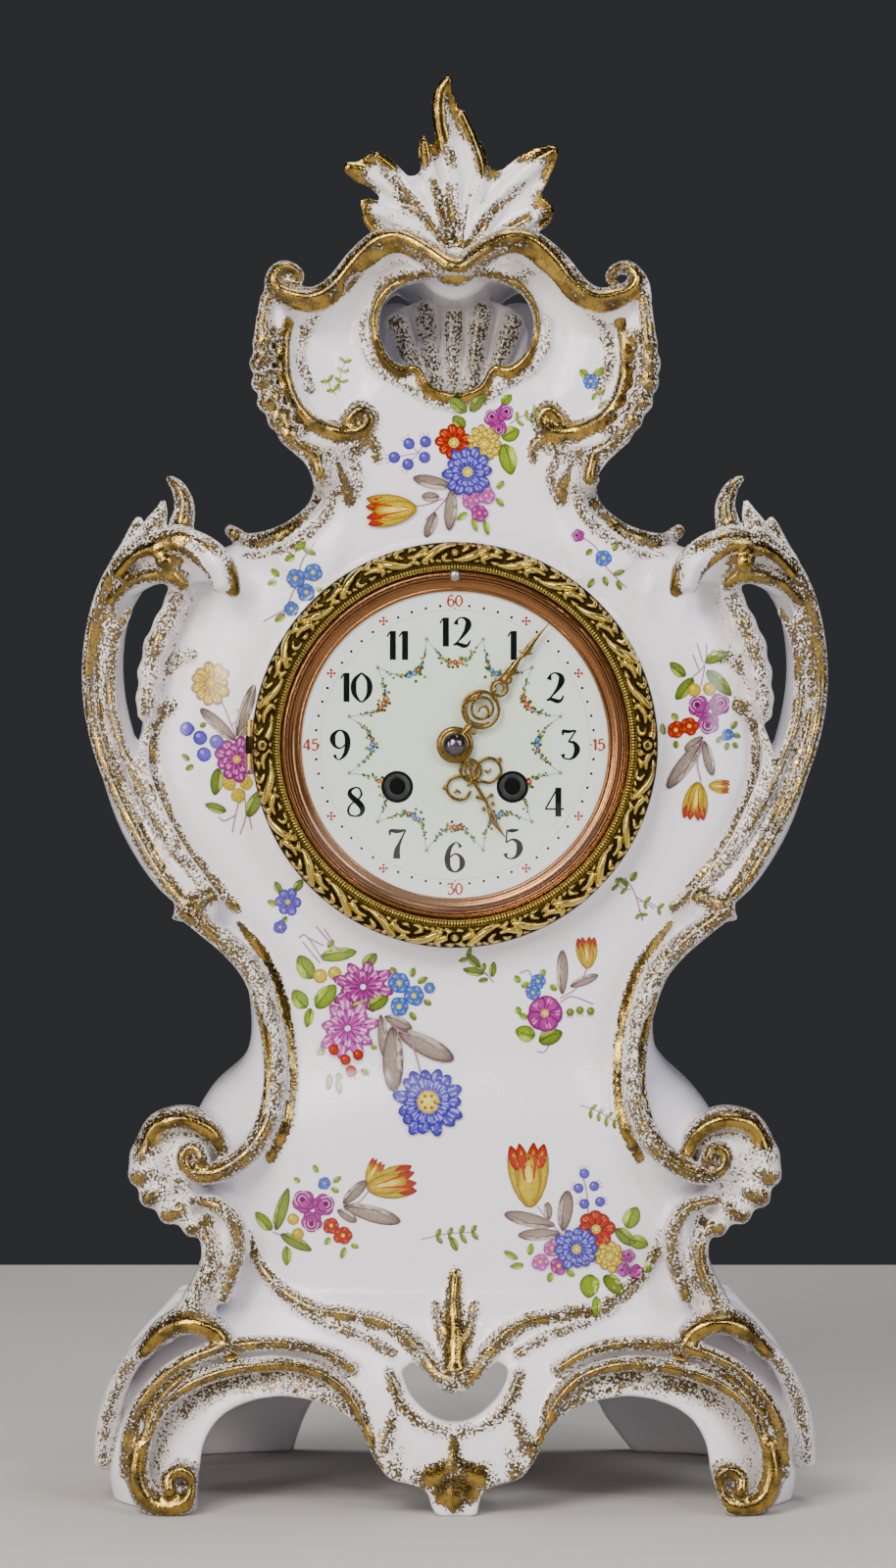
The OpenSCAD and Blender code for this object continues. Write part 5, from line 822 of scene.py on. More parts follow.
# Gold on the tips and the turned edges
for points in ([(374, 198, 0), (354, 178, 0), (352, 168, 0), (366, 164, 0), (384, 155, 0), (400, 164, 0)],
               [(426, 164, 0), (426, 146, 0), (433, 138, 0), (442, 150, 0)],
               [(447, 138, 0), (442, 112, 0), (446, 92, 0), (457, 80, 0)],
               [(462, 86, 0), (468, 108, 0), (482, 132, 0), (496, 152, 0), (499, 172, 0)],
               [(536, 155, 0), (562, 149, 0), (569, 156, 0), (564, 180, 0)],
               [(556, 204, 0), (566, 213, 0), (560, 228, 0)],
               [(366, 206, 0), (370, 226, 0), (388, 244, 0)]):
    lobe(points, [-56, -57, -58], deep=2.4, gilt=(5.2, 1.3))
# The rolled foot by which it is luted on
lobe([(430, 268, 2.0), (446, 274, 2.8), (464, 280, 4.0), (482, 274, 2.8), (500, 266, 2.0)],
     [-55, -57, -58, -57, -55], gilt=(1.6, 0.8))
leaf, = joined_pieces(clay, (("crest_leaf_porcelain", 300, 500),), glaze)
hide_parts("crest_leaf")

# Overglaze painting: enamel colours brushed on the fired glaze and fused into it, so they are as
# glossy as the glaze and have almost no thickness. Each stroke is a thin patch that follows the
# porcelain, darker at its rim, where the wet colour gathers.
WASH_MM = 0.8
enamels, tree, shader = finish_of("overglaze_enamel_colours", IOR=1.52, Roughness=0.16)
tint = node(tree, "ShaderNodeAttribute", attribute_name="tint").outputs["Color"]
wash = node(tree, "ShaderNodeTexNoise",
            {"Vector": node(tree, "ShaderNodeTexCoord").outputs["Object"], "Scale": 1 / (WASH_MM * MM),
             "Detail": 2.0})
uneven = node(tree, "ShaderNodeMapRange",
              {"Value": wash.outputs["Fac"], "From Min": 0.35, "From Max": 0.65, "To Min": 0.74,
               "To Max": 0.97}).outputs[0]
tree.links.new(node(tree, "ShaderNodeVectorMath", {0: tint, 1: uneven}, operation="MULTIPLY").outputs[0],
               shader.inputs["Base Color"])
brush = np.random.default_rng(5)


# How much each stroke stands above the one before, in mm
COAT = 0.0022


class Paint:
    """Brush strokes on a surface whose depth is known over x and z, all in millimetres"""
    def __init__(self, depth, lift):
        self.depth, self.lift, self.layer, self.count = depth, lift, 0, 0
        self.spots, self.faces, self.tints = [], [], []

    def lay(self, xz, faces, colours):
        """Adds a stroke a hair above the last, so that later paint covers earlier"""
        xz = np.asarray(xz, float)
        self.layer += 1
        y = self.depth(xz[:, 0], xz[:, 1]) - self.lift - COAT * self.layer
        self.spots.append(np.stack([xz[:, 0], y, xz[:, 1]], 1))
        self.faces.append(np.asarray(faces) + self.count)
        self.tints.append(np.clip(np.asarray(colours, float)[:, :3], 0, 1))
        self.count += len(xz)

    def patch(self, ring, heart, inner, outer):
        """A filled shape from its rim points; colours run from the heart to the rim"""
        ring, heart = np.asarray(ring, float), np.asarray(heart, float)
        n = len(ring)
        middle = heart + (ring - heart) * 0.72
        i = np.arange(n)
        j = (i + 1) % n
        faces = np.vstack([np.stack([i * 0 + 2 * n, n + i, n + j], 1), np.stack([n + i, i, j], 1),
                           np.stack([n + i, j, n + j], 1)])
        inner, outer = np.array(inner[:3]), np.array(outer[:3])
        shade = 1 + brush.normal(0, 0.06)
        colours = np.vstack([np.tile(outer, (n, 1)), np.tile(inner * 0.75 + outer * 0.25, (n, 1)),
                             inner]) * shade
        self.lay(np.vstack([ring, middle, heart]), faces, colours)

    def line(self, points, colour, steps=5):
        """A brush line through rows x, z, width"""
        p = curve_through(points, steps)
        d = np.gradient(p[:, :2], axis=0)
        side = np.stack([-d[:, 1], d[:, 0]], 1) / np.maximum(np.linalg.norm(d, axis=1, keepdims=True), 1e-6)
        a, b = p[:, :2] + side * p[:, 2:3] / 2, p[:, :2] - side * p[:, 2:3] / 2
        n = len(p)
        i = np.arange(n - 1)
        self.lay(np.vstack([a, b]),
                 np.vstack([np.stack([i, i + 1, n + i], 1), np.stack([i + 1, n + i + 1, n + i], 1)]),
                 np.tile(colour[:3], (2 * n, 1)))

    def dot(self, x, z, r, colour, edge=None, n=10):
        """A round dab with n points round its rim"""
        a = np.linspace(0, 2 * math.pi, n, endpoint=False)
        self.patch(np.stack([x + r * np.cos(a), z + r * np.sin(a)], 1), (x, z), colour, edge or colour)

    def petal(self, x, z, angle, start, length, width, inner, outer, point=0.0, n=14):
        """One petal or leaf from start to length along its angle; point 0 is round, 1 sharp"""
        t = np.linspace(0, 2 * math.pi, n, endpoint=False)
        u = (1 - np.cos(t)) / 2
        v = np.sin(t) * (0.55 + 0.45 * u * (1 - point)) * (1 - point * u ** 3 * 0.6)
        along, across = start + (length - start) * u, v * width / 2
        c, s = math.cos(angle), math.sin(angle)
        heart = start + (length - start) * 0.45
        self.patch(np.stack([x + along * c - across * s, z + along * s + across * c], 1),
                   (x + heart * c, z + heart * s), inner, outer)

    def mesh(self, name, body, material):
        """All the strokes as one mesh object that faces forward and rides with its CAD body"""
        spots, faces = np.vstack(self.spots), np.vstack(self.faces)
        a, b, c = (spots[faces[:, k]] for k in range(3))
        back = np.cross(b - a, c - a)[:, 1] > 0
        faces[back] = faces[back][:, ::-1]
        o = laid_mesh(name, spots, faces)
        layer = o.data.color_attributes.new("tint", "FLOAT_COLOR", "POINT")
        rgba = np.ones((len(spots), 4), np.float32)
        rgba[:, :3] = np.vstack(self.tints)
        layer.data.foreach_set("color", rgba.ravel())
        o.data.materials.append(material)
        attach(o, body)


# The sprays: scattered German flowers, loose bunches and single sprigs, as decorators of such
# wares painted them freehand. Flowers are laid petal by petal, the far ones first.
garden = Paint(depth_at, lift=0.12)
# Each colour: its wash, its outline, and the light that is wiped out of it
VIOLET, BLUE, MAGENTA, PINK, SCARLET, YELLOW, MAUVE_TIPPED, GREEN, OLIVE, DUN = (
    tuple(map(hex_colour, three.split())) for three in (
        "#5d53bf #2a1f8c #9693e4", "#4d72c8 #1d3c98 #8fb0ea", "#ad3d96 #620a54 #de8fcd",
        "#c561b3 #821f7a #ecb4e2", "#b22c0e #700e05 #dd6a30", "#d4b722 #87690e #f0e272",
        "#d8c530 #98566c #f0e678", "#86a22a #41600f #bccd58", "#76882a #384c14 #a8b656",
        "#9c8d80 #543f3c #c6bbae"))
STALK = hex_colour("#a86a9a")
# How much larger each kind is painted than the sketch below has it
FLOWER_SIZE, LEAF_WIDTH, TULIP_LENGTH, TULIP_WIDTH = 1.08, 1.6, 1.1, 1.25


def flower(px, py, r, petals, colours, heart=0.24, point=0.15, rows=1, turn=0.0, full=1.15, squash=1.0):
    """An open flower: one or two rows of petals round a yellow heart"""
    x, z = flat_xz(px, py)
    r *= PIXEL * FLOWER_SIZE
    for row in range(rows):
        for k in range(petals):
            a = turn + 2 * math.pi * (k + 0.5 * row) / petals + brush.normal(0, 0.06)
            long = r * (1 - 0.3 * row) * (1 + brush.normal(0, 0.06)) * (squash if abs(math.cos(a)) > 0.7
                                                                        else 1)
            wide = 2 * math.pi * r / petals * full * (1 - 0.25 * row)
            garden.petal(x, z, a, r * 0.10, long, wide, *colours[:2], point=point)
            if r > 2.2:
                # Two lights wiped out near the tip and a dark line near the heart
                for lean, p, q, colour, share in ((0.1, 0.55, 0.86, colours[2], 0.11),
                                                  (-0.12, 0.6, 0.8, colours[2], 0.08),
                                                  (0.0, 0.22, 0.6, colours[1], 0.06)):
                    u, v = math.cos(a + lean), math.sin(a + lean)
                    garden.line([(x + p * long * u, z + p * long * v, r * share * 0.5),
                                 (x + q * long * u, z + q * long * v, r * share)], colour, 1)
    if heart:
        garden.dot(x, z, r * heart, hex_colour("#f3e06a"), hex_colour("#a8861e"))
        for a in np.arange(6) * 1.05:
            garden.dot(x + r * heart * 0.55 * math.cos(a), z + r * heart * 0.55 * math.sin(a),
                       r * heart * 0.16, hex_colour("#8c6a1a"), n=6)


def rose(px, py, r, turn):
    """A half-open rose: a ball of wrapped magenta petals with a dark eye"""
    x, z = flat_xz(px, py)
    r *= PIXEL
    for k in range(5):
        a = turn + k * 1.2566
        garden.dot(x + r * 0.45 * math.cos(a), z + r * 0.45 * math.sin(a), r * 0.62, MAGENTA[0], MAGENTA[1],
                   n=12)
    garden.dot(x, z, r * 0.66, MAGENTA[0], MAGENTA[1], n=12)
    cx, cz = x + 0.22 * r * math.cos(turn), z + 0.22 * r * math.sin(turn)
    for q, colour in ((0.66, MAGENTA[2]), (0.5, MAGENTA[1]), (0.36, MAGENTA[2])):
        garden.line([(cx + q * r * math.cos(turn + a), cz + q * r * math.sin(turn + a), r * 0.12)
                     for a in (-1.9, -1.0, 0, 1.0, 1.9)],
                    colour)
    garden.dot(cx, cz, r * 0.24, hex_colour("#5f0f54"))


def berry(px, py, r, colours=VIOLET, away=None):
    """A round bud or berry; away is the way its three hairs point"""
    x, z = flat_xz(px, py)
    r *= PIXEL
    garden.dot(x, z, r, colours[0], colours[1], n=12)
    garden.dot(x - 0.25 * r, z + 0.3 * r, r * 0.32, colours[2], colours[0], n=8)
    if away is not None:
        for da in (-0.5, 0, 0.5):
            u, v = math.cos(away + da), math.sin(away + da)
            garden.line([(x + r * u, z + r * v, 0.22), (x + 1.7 * r * u, z + 1.7 * r * v, 0.14)], STALK, 1)


def leaf_at(px0, py0, px1, py1, wide, colours=GREEN, point=0.7, rib=True):
    """A leaf from its stalk end to its tip, one half washed lighter"""
    (x0, z0), (x1, z1) = flat_xz(px0, py0), flat_xz(px1, py1)
    a, long = math.atan2(z1 - z0, x1 - x0), math.hypot(x1 - x0, z1 - z0)
    wide *= PIXEL * LEAF_WIDTH
    garden.petal(x0, z0, a, 0, long, wide, *colours[:2], point=point, n=16)
    garden.petal(x0 - wide * 0.2 * math.sin(a), z0 + wide * 0.2 * math.cos(a), a, long * 0.12, long * 0.8,
                 wide * 0.42, colours[2], colours[0], point=point)
    if rib:
        bend = 0.06 * long
        garden.line([(x0, z0, 0.34),
                     ((x0 + x1) / 2 - bend * math.sin(a), (z0 + z1) / 2 + bend * math.cos(a), 0.26),
                     (x0 * 0.12 + x1 * 0.88, z0 * 0.12 + z1 * 0.88, 0.12)],
                    colours[1])


def stalk(*points, width=1.2):
    garden.line([flat_xz(*p) + (width * PIXEL,) for p in points], STALK)


def tulip(px, py, long, wide, degrees):
    """A tulip seen from the side: yellow cup, red-flamed tips"""
    x, z = flat_xz(px, py)
    a = math.radians(degrees)
    long, wide = long * PIXEL * TULIP_LENGTH, wide * PIXEL * TULIP_WIDTH
    for lean, share in ((-0.26, 0.62), (0.26, 0.62), (-0.1, 0.56), (0.12, 0.56)):
        garden.petal(x, z, a + lean, 0, long, wide * share, *YELLOW[:2], point=0.7)
        garden.petal(x, z, a + lean, long * 0.6, long * 1.02, wide * share * 0.55, *SCARLET[:2], point=0.85)
    garden.petal(x, z, a, 0, long * 0.84, wide * 0.6, *YELLOW[:2], point=0.5)
    garden.petal(x, z, a, long * 0.12, long * 0.7, wide * 0.26, YELLOW[2], YELLOW[0], point=0.5)
    for lean in (-0.16, 0.14):
        u, v = long * math.cos(a + lean), long * math.sin(a + lean)
        garden.line([(x + t * u, z + t * v, w * long / 13)
                     for t, w in ((0.15, 0.2), (0.5, 0.4), (0.78, 0.7))],
                    SCARLET[0])


def twig(px, py, degrees, long, leaves, colours=OLIVE, size=8):
    """A thin stalk with small leaves in pairs"""
    a = math.radians(degrees)
    at = lambda t, off=0.0: (px + t * long * math.cos(a) - off * math.sin(a),
                             py - t * long * math.sin(a) - off * math.cos(a))
    stalk(at(0), at(0.5, 2), at(1), width=1.0)
    for k in range(leaves):
        t = 0.3 + 0.7 * k / max(leaves - 1, 1)
        for side in (-1, 1):
            p, q = at(t), at(t + 0.5 * size / long, side * size * brush.uniform(0.7, 1.1))
            leaf_at(*p, *q, size * 0.55, colours, rib=False)


def each(stroke, *rows, **alike):
    """Paints one kind of stroke for each row, in the order given"""
    for row in rows:
        stroke(*row, **alike)


# Bunch on the neck, under the cartouche
each(leaf_at, (476, 420, 458, 406, 13), (480, 420, 494, 402, 12, OLIVE), (474, 436, 462, 424, 14, OLIVE),
     (512, 446, 530, 438, 17), (514, 452, 522, 484, 19))
twig(520, 432, 25, 28, 3, GREEN)
leaf_at(512, 412, 522, 402, 10)
each(stalk, ((472, 484), (452, 512), (434, 530)), ((452, 508), (436, 514), (424, 516)))
for q, away in (((402, 466), 3.3), ((417, 452), 2.2), ((416, 473), 4.0), ((434, 450), 1.8)):
    stalk((427, 461), q, width=0.7)
    berry(*q, 6.0, away=away)
berry(433, 466, 6.0)
each(rose, (503, 426, 9, 2.2), (515, 420, 8.5, 0.5), (509, 436, 8, 4.6))
flower(463, 451, 17.5, 9, SCARLET, heart=0.3, turn=0.3)
flower(494, 452, 17, 11, YELLOW, heart=0.3, rows=2)
each(leaf_at, (460, 495, 421, 487, 12, DUN, 0.4), (448, 506, 430, 506, 9, DUN, 0.4),
     (461, 498, 458, 541, 12, DUN, 0.4), (444, 522, 434, 548, 10, DUN, 0.4))
each(leaf_at, (507, 498, 514, 490), (506, 508, 514, 516), (476, 522, 466, 530), (482, 528, 486, 542),
     (494, 530, 498, 546), wide=6, colours=GREEN, rib=False)
each(flower, (480, 510, 8.5, 5, PINK), (496, 505, 8.5, 5, PINK), (489, 523, 8, 5, MAGENTA), heart=0.2)
flower(477, 481, 24, 12, VIOLET, heart=0.22, rows=2, turn=0.1)
tulip(425, 518, 47, 40, 184)
garden.layer = 0
# Sprigs beside the cartouche and on the shoulders
each(twig, (346, 398, 80, 30, 3, GREEN), (343, 402, 120, 16, 2, GREEN))
each(leaf_at, (600, 384, 592, 376, 9), (606, 384, 616, 374, 8))
flower(603, 388, 7.5, 6, BLUE)
twig(606, 396, -60, 16, 2, GREEN)
garden.layer = 0
each(leaf_at, (300, 562, 312, 552), (308, 558, 322, 566), (284, 588, 276, 580), (282, 592, 272, 596),
     (322, 600, 332, 604), (314, 616, 322, 624), (290, 626, 280, 634), (300, 566, 290, 572), wide=7.5,
     colours=GREEN)
each(stalk, ((322, 552), (308, 572), (300, 600), (286, 632)), ((300, 600), (314, 606)),
     ((290, 622), (268, 634)))
for q in ((301, 590, 9), (319, 584, 9), (312, 604, 8.5), (297, 621, 7)):
    flower(*q, 5, BLUE, heart=0.26, turn=q[0])
garden.layer = 0
each(stalk, ((592, 546), (606, 556), (614, 566)), ((616, 576), (628, 588), (640, 600)),
     ((614, 576), (606, 596)))
rose(590, 546, 6.5, 3.0)
flower(616, 569, 8, 5, BLUE, heart=0.26)
each(leaf_at, (604, 560, 598, 566), (626, 562, 630, 554), (626, 586, 638, 582), (630, 592, 634, 602),
     (606, 590, 600, 600), (616, 588, 620, 598), wide=6, colours=OLIVE, rib=False)
garden.layer = 0
# Left of the bezel
each(stalk, ((216, 700), (228, 722), (240, 752)), ((236, 740), (247, 730), (240, 724)))
each(leaf_at, (240, 756, 203, 723, 12, DUN, 0.35), (241, 752, 259, 698, 12, DUN, 0.35),
     (243, 754, 252, 742, 6, DUN))
flower(214, 697, 21, 11, MAUVE_TIPPED, heart=0.22, point=0.05)
each(leaf_at, (197, 746, 190, 738), (203, 742, 209, 738), (192, 776, 184, 770), (196, 781, 188, 786),
     wide=6, colours=OLIVE, rib=False)
each(berry, (203, 753), (220, 757), (207, 770), (189, 744), r=7.5)
each(stalk, ((246, 806), (240, 830), (236, 850)), ((248, 806), (250, 832), (244, 852)),
     ((240, 832), (228, 838), (222, 834)), ((252, 826), (256, 846)))
each(leaf_at, (222, 784, 218, 812, 14, OLIVE), (252, 834, 266, 806, 14, OLIVE),
     (230, 828, 208, 821, 10, OLIVE), (256, 790, 262, 776, 9, OLIVE))
each(flower, (233, 800, 6.5, 5, YELLOW), (250, 799, 6.5, 5, YELLOW), (242, 812, 7, 5, YELLOW), heart=0.2)
flower(241, 775, 21, 9, MAGENTA, heart=0.2, rows=2)
each(berry, (258, 752, 3), (260, 758, 3), colours=SCARLET)
garden.layer = 0
# Right of the bezel
each(stalk, ((722, 656), (720, 678), (704, 694)), ((712, 656), (718, 676)), ((708, 668), (714, 684)),
     ((720, 680), (716, 700)))
each(leaf_at, (720, 676, 746, 664, 12, OLIVE), (722, 684, 748, 710, 15, OLIVE),
     (708, 692, 690, 714, 14, OLIVE), (700, 690, 684, 676, 12, OLIVE))
each(berry, (709, 704, 7, YELLOW), (725, 703, 7, YELLOW))
each(rose, (714, 721, 11, 2.4), (735, 719, 11, 0.6), (724, 738, 11, 4.4))
each(flower, (690, 745, 8.5, 5, SCARLET), (704, 741, 8.5, 5, SCARLET), heart=0.25)
each(leaf_at, (692, 734, 686, 728, 7, GREEN), (678, 750, 676, 738, 6, OLIVE), rib=False)
leaf_at(690, 756, 690, 764, 6, OLIVE)
each(leaf_at, (738, 752, 732, 758), (748, 744, 754, 736), (750, 750, 758, 752), (744, 758, 742, 766),
     (750, 758, 754, 764), wide=6, colours=OLIVE, rib=False)
flower(744, 750, 6, 5, BLUE, heart=0.2)
each(leaf_at, (718, 752, 699, 766, 9, DUN, 0.35), (717, 756, 681, 805, 14, DUN, 0.35),
     (719, 756, 728, 792, 10, DUN, 0.35))
stalk((718, 756), (712, 778), (716, 798))
each(tulip, (713, 798, 36, 32, -97), (724, 802, 20, 17, -4))
garden.layer = 0
# Below the bezel
flower(293, 921, 13, 6, VIOLET, heart=0.22, full=1.0)
each(leaf_at, (286, 912, 280, 900, 8, OLIVE), (300, 910, 308, 898, 9, OLIVE))
leaf_at(282, 924, 272, 920, 7, GREEN, rib=False)
leaf_at(292, 936, 286, 944, 6, OLIVE)
flower(285, 947, 6.5, 5, VIOLET)
each(stalk, ((322, 946), (336, 962), (352, 976)), ((314, 958), (330, 966)), ((330, 948), (338, 960)))
garden.layer = 0
each(stalk, ((638, 896), (648, 912), (656, 940)), ((650, 916), (668, 928)))
each(twig, (652, 920, -20, 22, 2), (644, 908, 160, 14, 2), (652, 930, -70, 12, 1))
each(leaf_at, (644, 900, 650, 890, 7, OLIVE), (640, 904, 632, 896, 6, OLIVE))
garden.layer = 0
stalk((504, 1004), (494, 992), (478, 980))
twig(500, 998, 140, 30, 2, OLIVE, 10)
each(leaf_at, (502, 998, 504, 982, 8, OLIVE), (494, 994, 472, 990, 9, OLIVE),
     (490, 988, 476, 974, 9, OLIVE), (498, 1000, 488, 1002, 6, OLIVE))
garden.layer = 0
# Large bunch under the dial, left
each(leaf_at, (318, 1000, 304, 976, 19), (326, 978, 364, 972, 15), (322, 1030, 342, 1006, 19),
     (312, 1030, 298, 1012, 17), (370, 988, 384, 974, 13, OLIVE), (316, 1030, 312, 1050, 10, GREEN),
     (334, 968, 340, 960, 7, GREEN))
each(berry, (326, 997, 7.5, YELLOW), (341, 994, 7, YELLOW))
each(stalk, ((326, 984), (308, 962)), ((330, 982), (312, 956), (304, 958)))
flower(370, 1008, 27, 8, MAGENTA, heart=0, point=0.75, rows=2, turn=0.5, full=1.1, squash=1.1)
each(leaf_at, (358, 1030, 376, 1024, 9, GREEN), (376, 1030, 396, 1018, 14, OLIVE))
each(leaf_at, (404, 994, 398, 988), (420, 998, 422, 988), (432, 1022, 440, 1026), (418, 1034, 424, 1042),
     (426, 1004, 436, 998), wide=6.5, colours=OLIVE, rib=False)
each(flower, (407, 1004, 10), (422, 1017, 9.5), (407, 1028, 9), (438, 1009, 5.5), petals=6, colours=BLUE,
     heart=0.3, full=1.3)
flower(354, 1050, 30, 9, PINK, heart=0, point=0.75, rows=2, turn=0.2, full=1.1)
each(berry, (340, 1072), (352, 1082), (365, 1077), (358, 1093), r=5.5, colours=SCARLET, away=-1.6)
each(leaf_at, (330, 1072, 322, 1076), (348, 1096, 342, 1100), (368, 1092, 376, 1096),
     (336, 1096, 334, 1112), (344, 1102, 346, 1116), (378, 1068, 384, 1070), wide=6, colours=GREEN,
     rib=False)
each(leaf_at, (388, 1036, 392, 1080, 9, DUN, 0.35), (392, 1038, 420, 1050, 10, DUN, 0.35),
     (400, 1048, 401, 1114, 19, DUN, 0.3), (406, 1054, 463, 1082, 18, DUN, 0.3))
stalk((398, 1046), (418, 1062), (430, 1098), width=1.6)
flower(437, 1124, 33, 15, VIOLET, heart=0.34, rows=2, full=1.2)
garden.layer = 0
# Smaller bunch under the dial, right
each(leaf_at, (574, 1016, 574, 970, 11, DUN, 0.35), (582, 1008, 611, 996, 9, DUN, 0.35))
each(stalk, ((572, 1020), (590, 1008), (600, 988)), ((564, 1060), (556, 1074), (548, 1074)))
tulip(600, 990, 30, 28, 93)
each(leaf_at, (552, 998, 556, 990), (530, 1004, 526, 996), (532, 1008, 540, 1004), (562, 1006, 568, 1012),
     (530, 1036, 528, 1028), (538, 1040, 530, 1036), wide=7, colours=GREEN, rib=False)
each(stalk, ((546, 1010), (540, 992), (530, 994)), ((572, 1024), (584, 1018), (606, 1026)))
each(flower, (549, 1002, 7.5, 5, BLUE), (544, 1014, 7.5, 5, BLUE))
each(leaf_at, (546, 1058, 526, 1052, 17), (550, 1064, 574, 1054, 17, OLIVE))
each(berry, (582, 1034), (592, 1032), (603, 1033), r=4, colours=OLIVE, away=-1.6)
flower(556, 1035, 17, 5, MAGENTA, heart=0.24, full=1.25)
garden.layer = 0
each(twig, (592, 1128, -25, 38, 4, OLIVE, 8), (430, 1264, 8, 52, 4, OLIVE, 10))
leaf_at(460, 1262, 466, 1276, 8, OLIVE)
garden.layer = 0
# Low on the body, left
each(tulip, (374, 1212, 46, 42, 12), (374, 1206, 24, 17, 60))
stalk((378, 1212), (366, 1226), (350, 1230))
each(leaf_at, (350, 1228, 374, 1204, 11, DUN, 0.35), (350, 1230, 409, 1246, 15, DUN, 0.3),
     (344, 1234, 364, 1246, 9, DUN, 0.3), (281, 1256, 294, 1212, 13, OLIVE), (277, 1256, 260, 1238, 13),
     (286, 1260, 318, 1276, 13, OLIVE), (292, 1272, 292, 1292, 10))
stalk((278, 1258), (290, 1262))
each(berry, (299, 1244, 6, YELLOW), (304, 1259, 6, YELLOW))
each(leaf_at, (306, 1206, 300, 1202), (324, 1196, 320, 1188), (340, 1206, 348, 1200),
     (338, 1212, 346, 1216), (336, 1262, 332, 1270), (352, 1272, 348, 1284), (358, 1270, 366, 1272), wide=6,
     colours=GREEN, rib=False)
flower(331, 1207, 6, 5, BLUE)
each(rose, (310, 1226, 11.5, 2.2), (330, 1229, 11, 0.4), (318, 1246, 10.5, 4.6))
each(flower, (338, 1250, 8, 5, SCARLET), (350, 1260, 8.5, 5, SCARLET))
garden.layer = 0
# Low on the body, right
each(leaf_at, (566, 1250, 514, 1238, 13, DUN, 0.3), (572, 1258, 528, 1260, 11, DUN, 0.3),
     (574, 1256, 579, 1214, 14, DUN, 0.3), (560, 1244, 558, 1226, 8, DUN, 0.3))
stalk((548, 1230), (560, 1246), (574, 1260))
tulip(541, 1232, 60, 50, 93)
each(leaf_at, (640, 1254, 650, 1232, 18), (628, 1254, 648, 1272, 14, OLIVE), (642, 1266, 662, 1272, 15),
     (602, 1300, 600, 1324, 21), (616, 1302, 636, 1320, 16, OLIVE), (608, 1322, 608, 1342, 10),
     (660, 1300, 662, 1288, 8, GREEN))
stalk((600, 1240), (598, 1214), (592, 1192))
for q, away in (((596, 1197), 1.8), ((590, 1212), 2.8), ((606, 1210), 0.4), ((596, 1228), 2.6),
                ((612, 1226), 0.2)):
    berry(*q, 5.2, away=away)
each(leaf_at, (528, 1284, 514, 1276), (534, 1290, 520, 1292), (540, 1280, 542, 1268),
     (562, 1298, 560, 1308), (578, 1296, 586, 1302), wide=7, colours=GREEN, rib=False)
flower(608, 1254, 18, 8, SCARLET, heart=0.26, full=1.3)
flower(622, 1282, 15, 9, YELLOW, heart=0.28, rows=2)
each(flower, (563, 1273, 8.5, 5, PINK), (551, 1287, 8, 5, PINK), (570, 1291, 8.5, 5, MAGENTA))
each(rose, (641, 1282, 7, 1.2), (636, 1296, 7, 3.4), (649, 1298, 7, 5.2))
flower(588, 1274, 22, 12, VIOLET, heart=0.22, rows=2)
garden.mesh("painted_sprays", "case", enamels)


# Mounting ring, plates, wheels and the rest of the movement: rolled clock brass, ground steel and
# cast bell metal. The pieces themselves come from the CAD; here each gets the finish of its metal.
# Lacquered brass is smooth and yellow, the steel a little blue; the winding arbors are nearly black:
# painted shade for the dark key holes.
def plain_metal(name, colour, roughness, grain_mm, strength):
    """A metal with the fine grain that its working left"""
    m, tree, shader = finish_of(name, Base_Color=hex_colour(colour), Metallic=1.0, Roughness=roughness)
    at = node(tree, "ShaderNodeTexCoord").outputs["Object"]
    grain = node(tree, "ShaderNodeTexNoise",
                 {"Vector": at, "Scale": 1 / (grain_mm * MM), "Detail": 4.0, "Roughness": 0.6})
    rough = node(tree, "ShaderNodeMapRange", {"Value": grain.outputs["Fac"], "To Min": roughness - 0.08,
                                              "To Max": roughness + 0.12})
    tree.links.new(rough.outputs[0], shader.inputs["Roughness"])
    bump = node(tree, "ShaderNodeBump",
                {"Height": grain.outputs["Fac"], "Strength": strength, "Distance": 0.05 * MM})
    tree.links.new(bump.outputs[0], shader.inputs["Normal"])
    return m


FINISHES = {"brass": plain_metal("lacquered_clock_brass", "#d2b26a", 0.24, 0.6, 0.2),
            "steel": plain_metal("ground_steel", "#a7abb0", 0.28, 0.4, 0.25),
            "bell_metal": plain_metal("turned_bell_metal", "#b9a06a", 0.3, 0.8, 0.3),
            "gilt_brass": plain_metal("gilt_hand_brass", "#7d6632", 0.24, 0.5, 0.2)}
# Painted shade: near-black steel for the winding arbors, which sit in the dark key holes
HOLE_SHADE_STEEL = plain_metal("arbor_steel_painted_hole_shade", "#1d1b1a", 0.42, 0.6, 0.2)
for label, part_node in nodes.items():
    for slot in part_node.material_slots:
        if label.endswith("winding_arbor"):
            slot.material = HOLE_SHADE_STEEL
        elif slot.material and slot.material.name in FINISHES:
            slot.material = FINISHES[slot.material.name]


# Dial: copper disc with fired enamel, pale mint with a whiter rim and as glossy as glass. Its black
# hour numbers, a dot for each minute, the red fives and a small garland are painted on and fired.
enamel, tree, shader = finish_of("fired_dial_enamel", IOR=1.5, Roughness=0.12)
place = node(tree, "ShaderNodeSeparateXYZ", {0: node(tree, "ShaderNodeTexCoord").outputs["Object"]})
up = node(tree, "ShaderNodeMath", {0: place.outputs["Z"], 1: DIAL_Z * MM}, operation="SUBTRACT").outputs[0]
flat = node(tree, "ShaderNodeCombineXYZ", {"X": place.outputs["X"], "Y": up})
off = node(tree, "ShaderNodeVectorMath", {0: flat.outputs[0]}, operation="LENGTH").outputs["Value"]
# From here to there, in mm from the middle, the mint turns to white
MINT_TO, WHITE_FROM = 26, 45
paler = node(tree, "ShaderNodeMapRange",
             {"Value": off, "From Min": MINT_TO * MM, "From Max": WHITE_FROM * MM}).outputs[0]
tree.links.new(mixed(tree, paler, hex_colour("#e0eedb"), hex_colour("#ecf5f1")),
               shader.inputs["Base Color"])
for slot in nodes["dial"].material_slots:
    slot.material = enamel

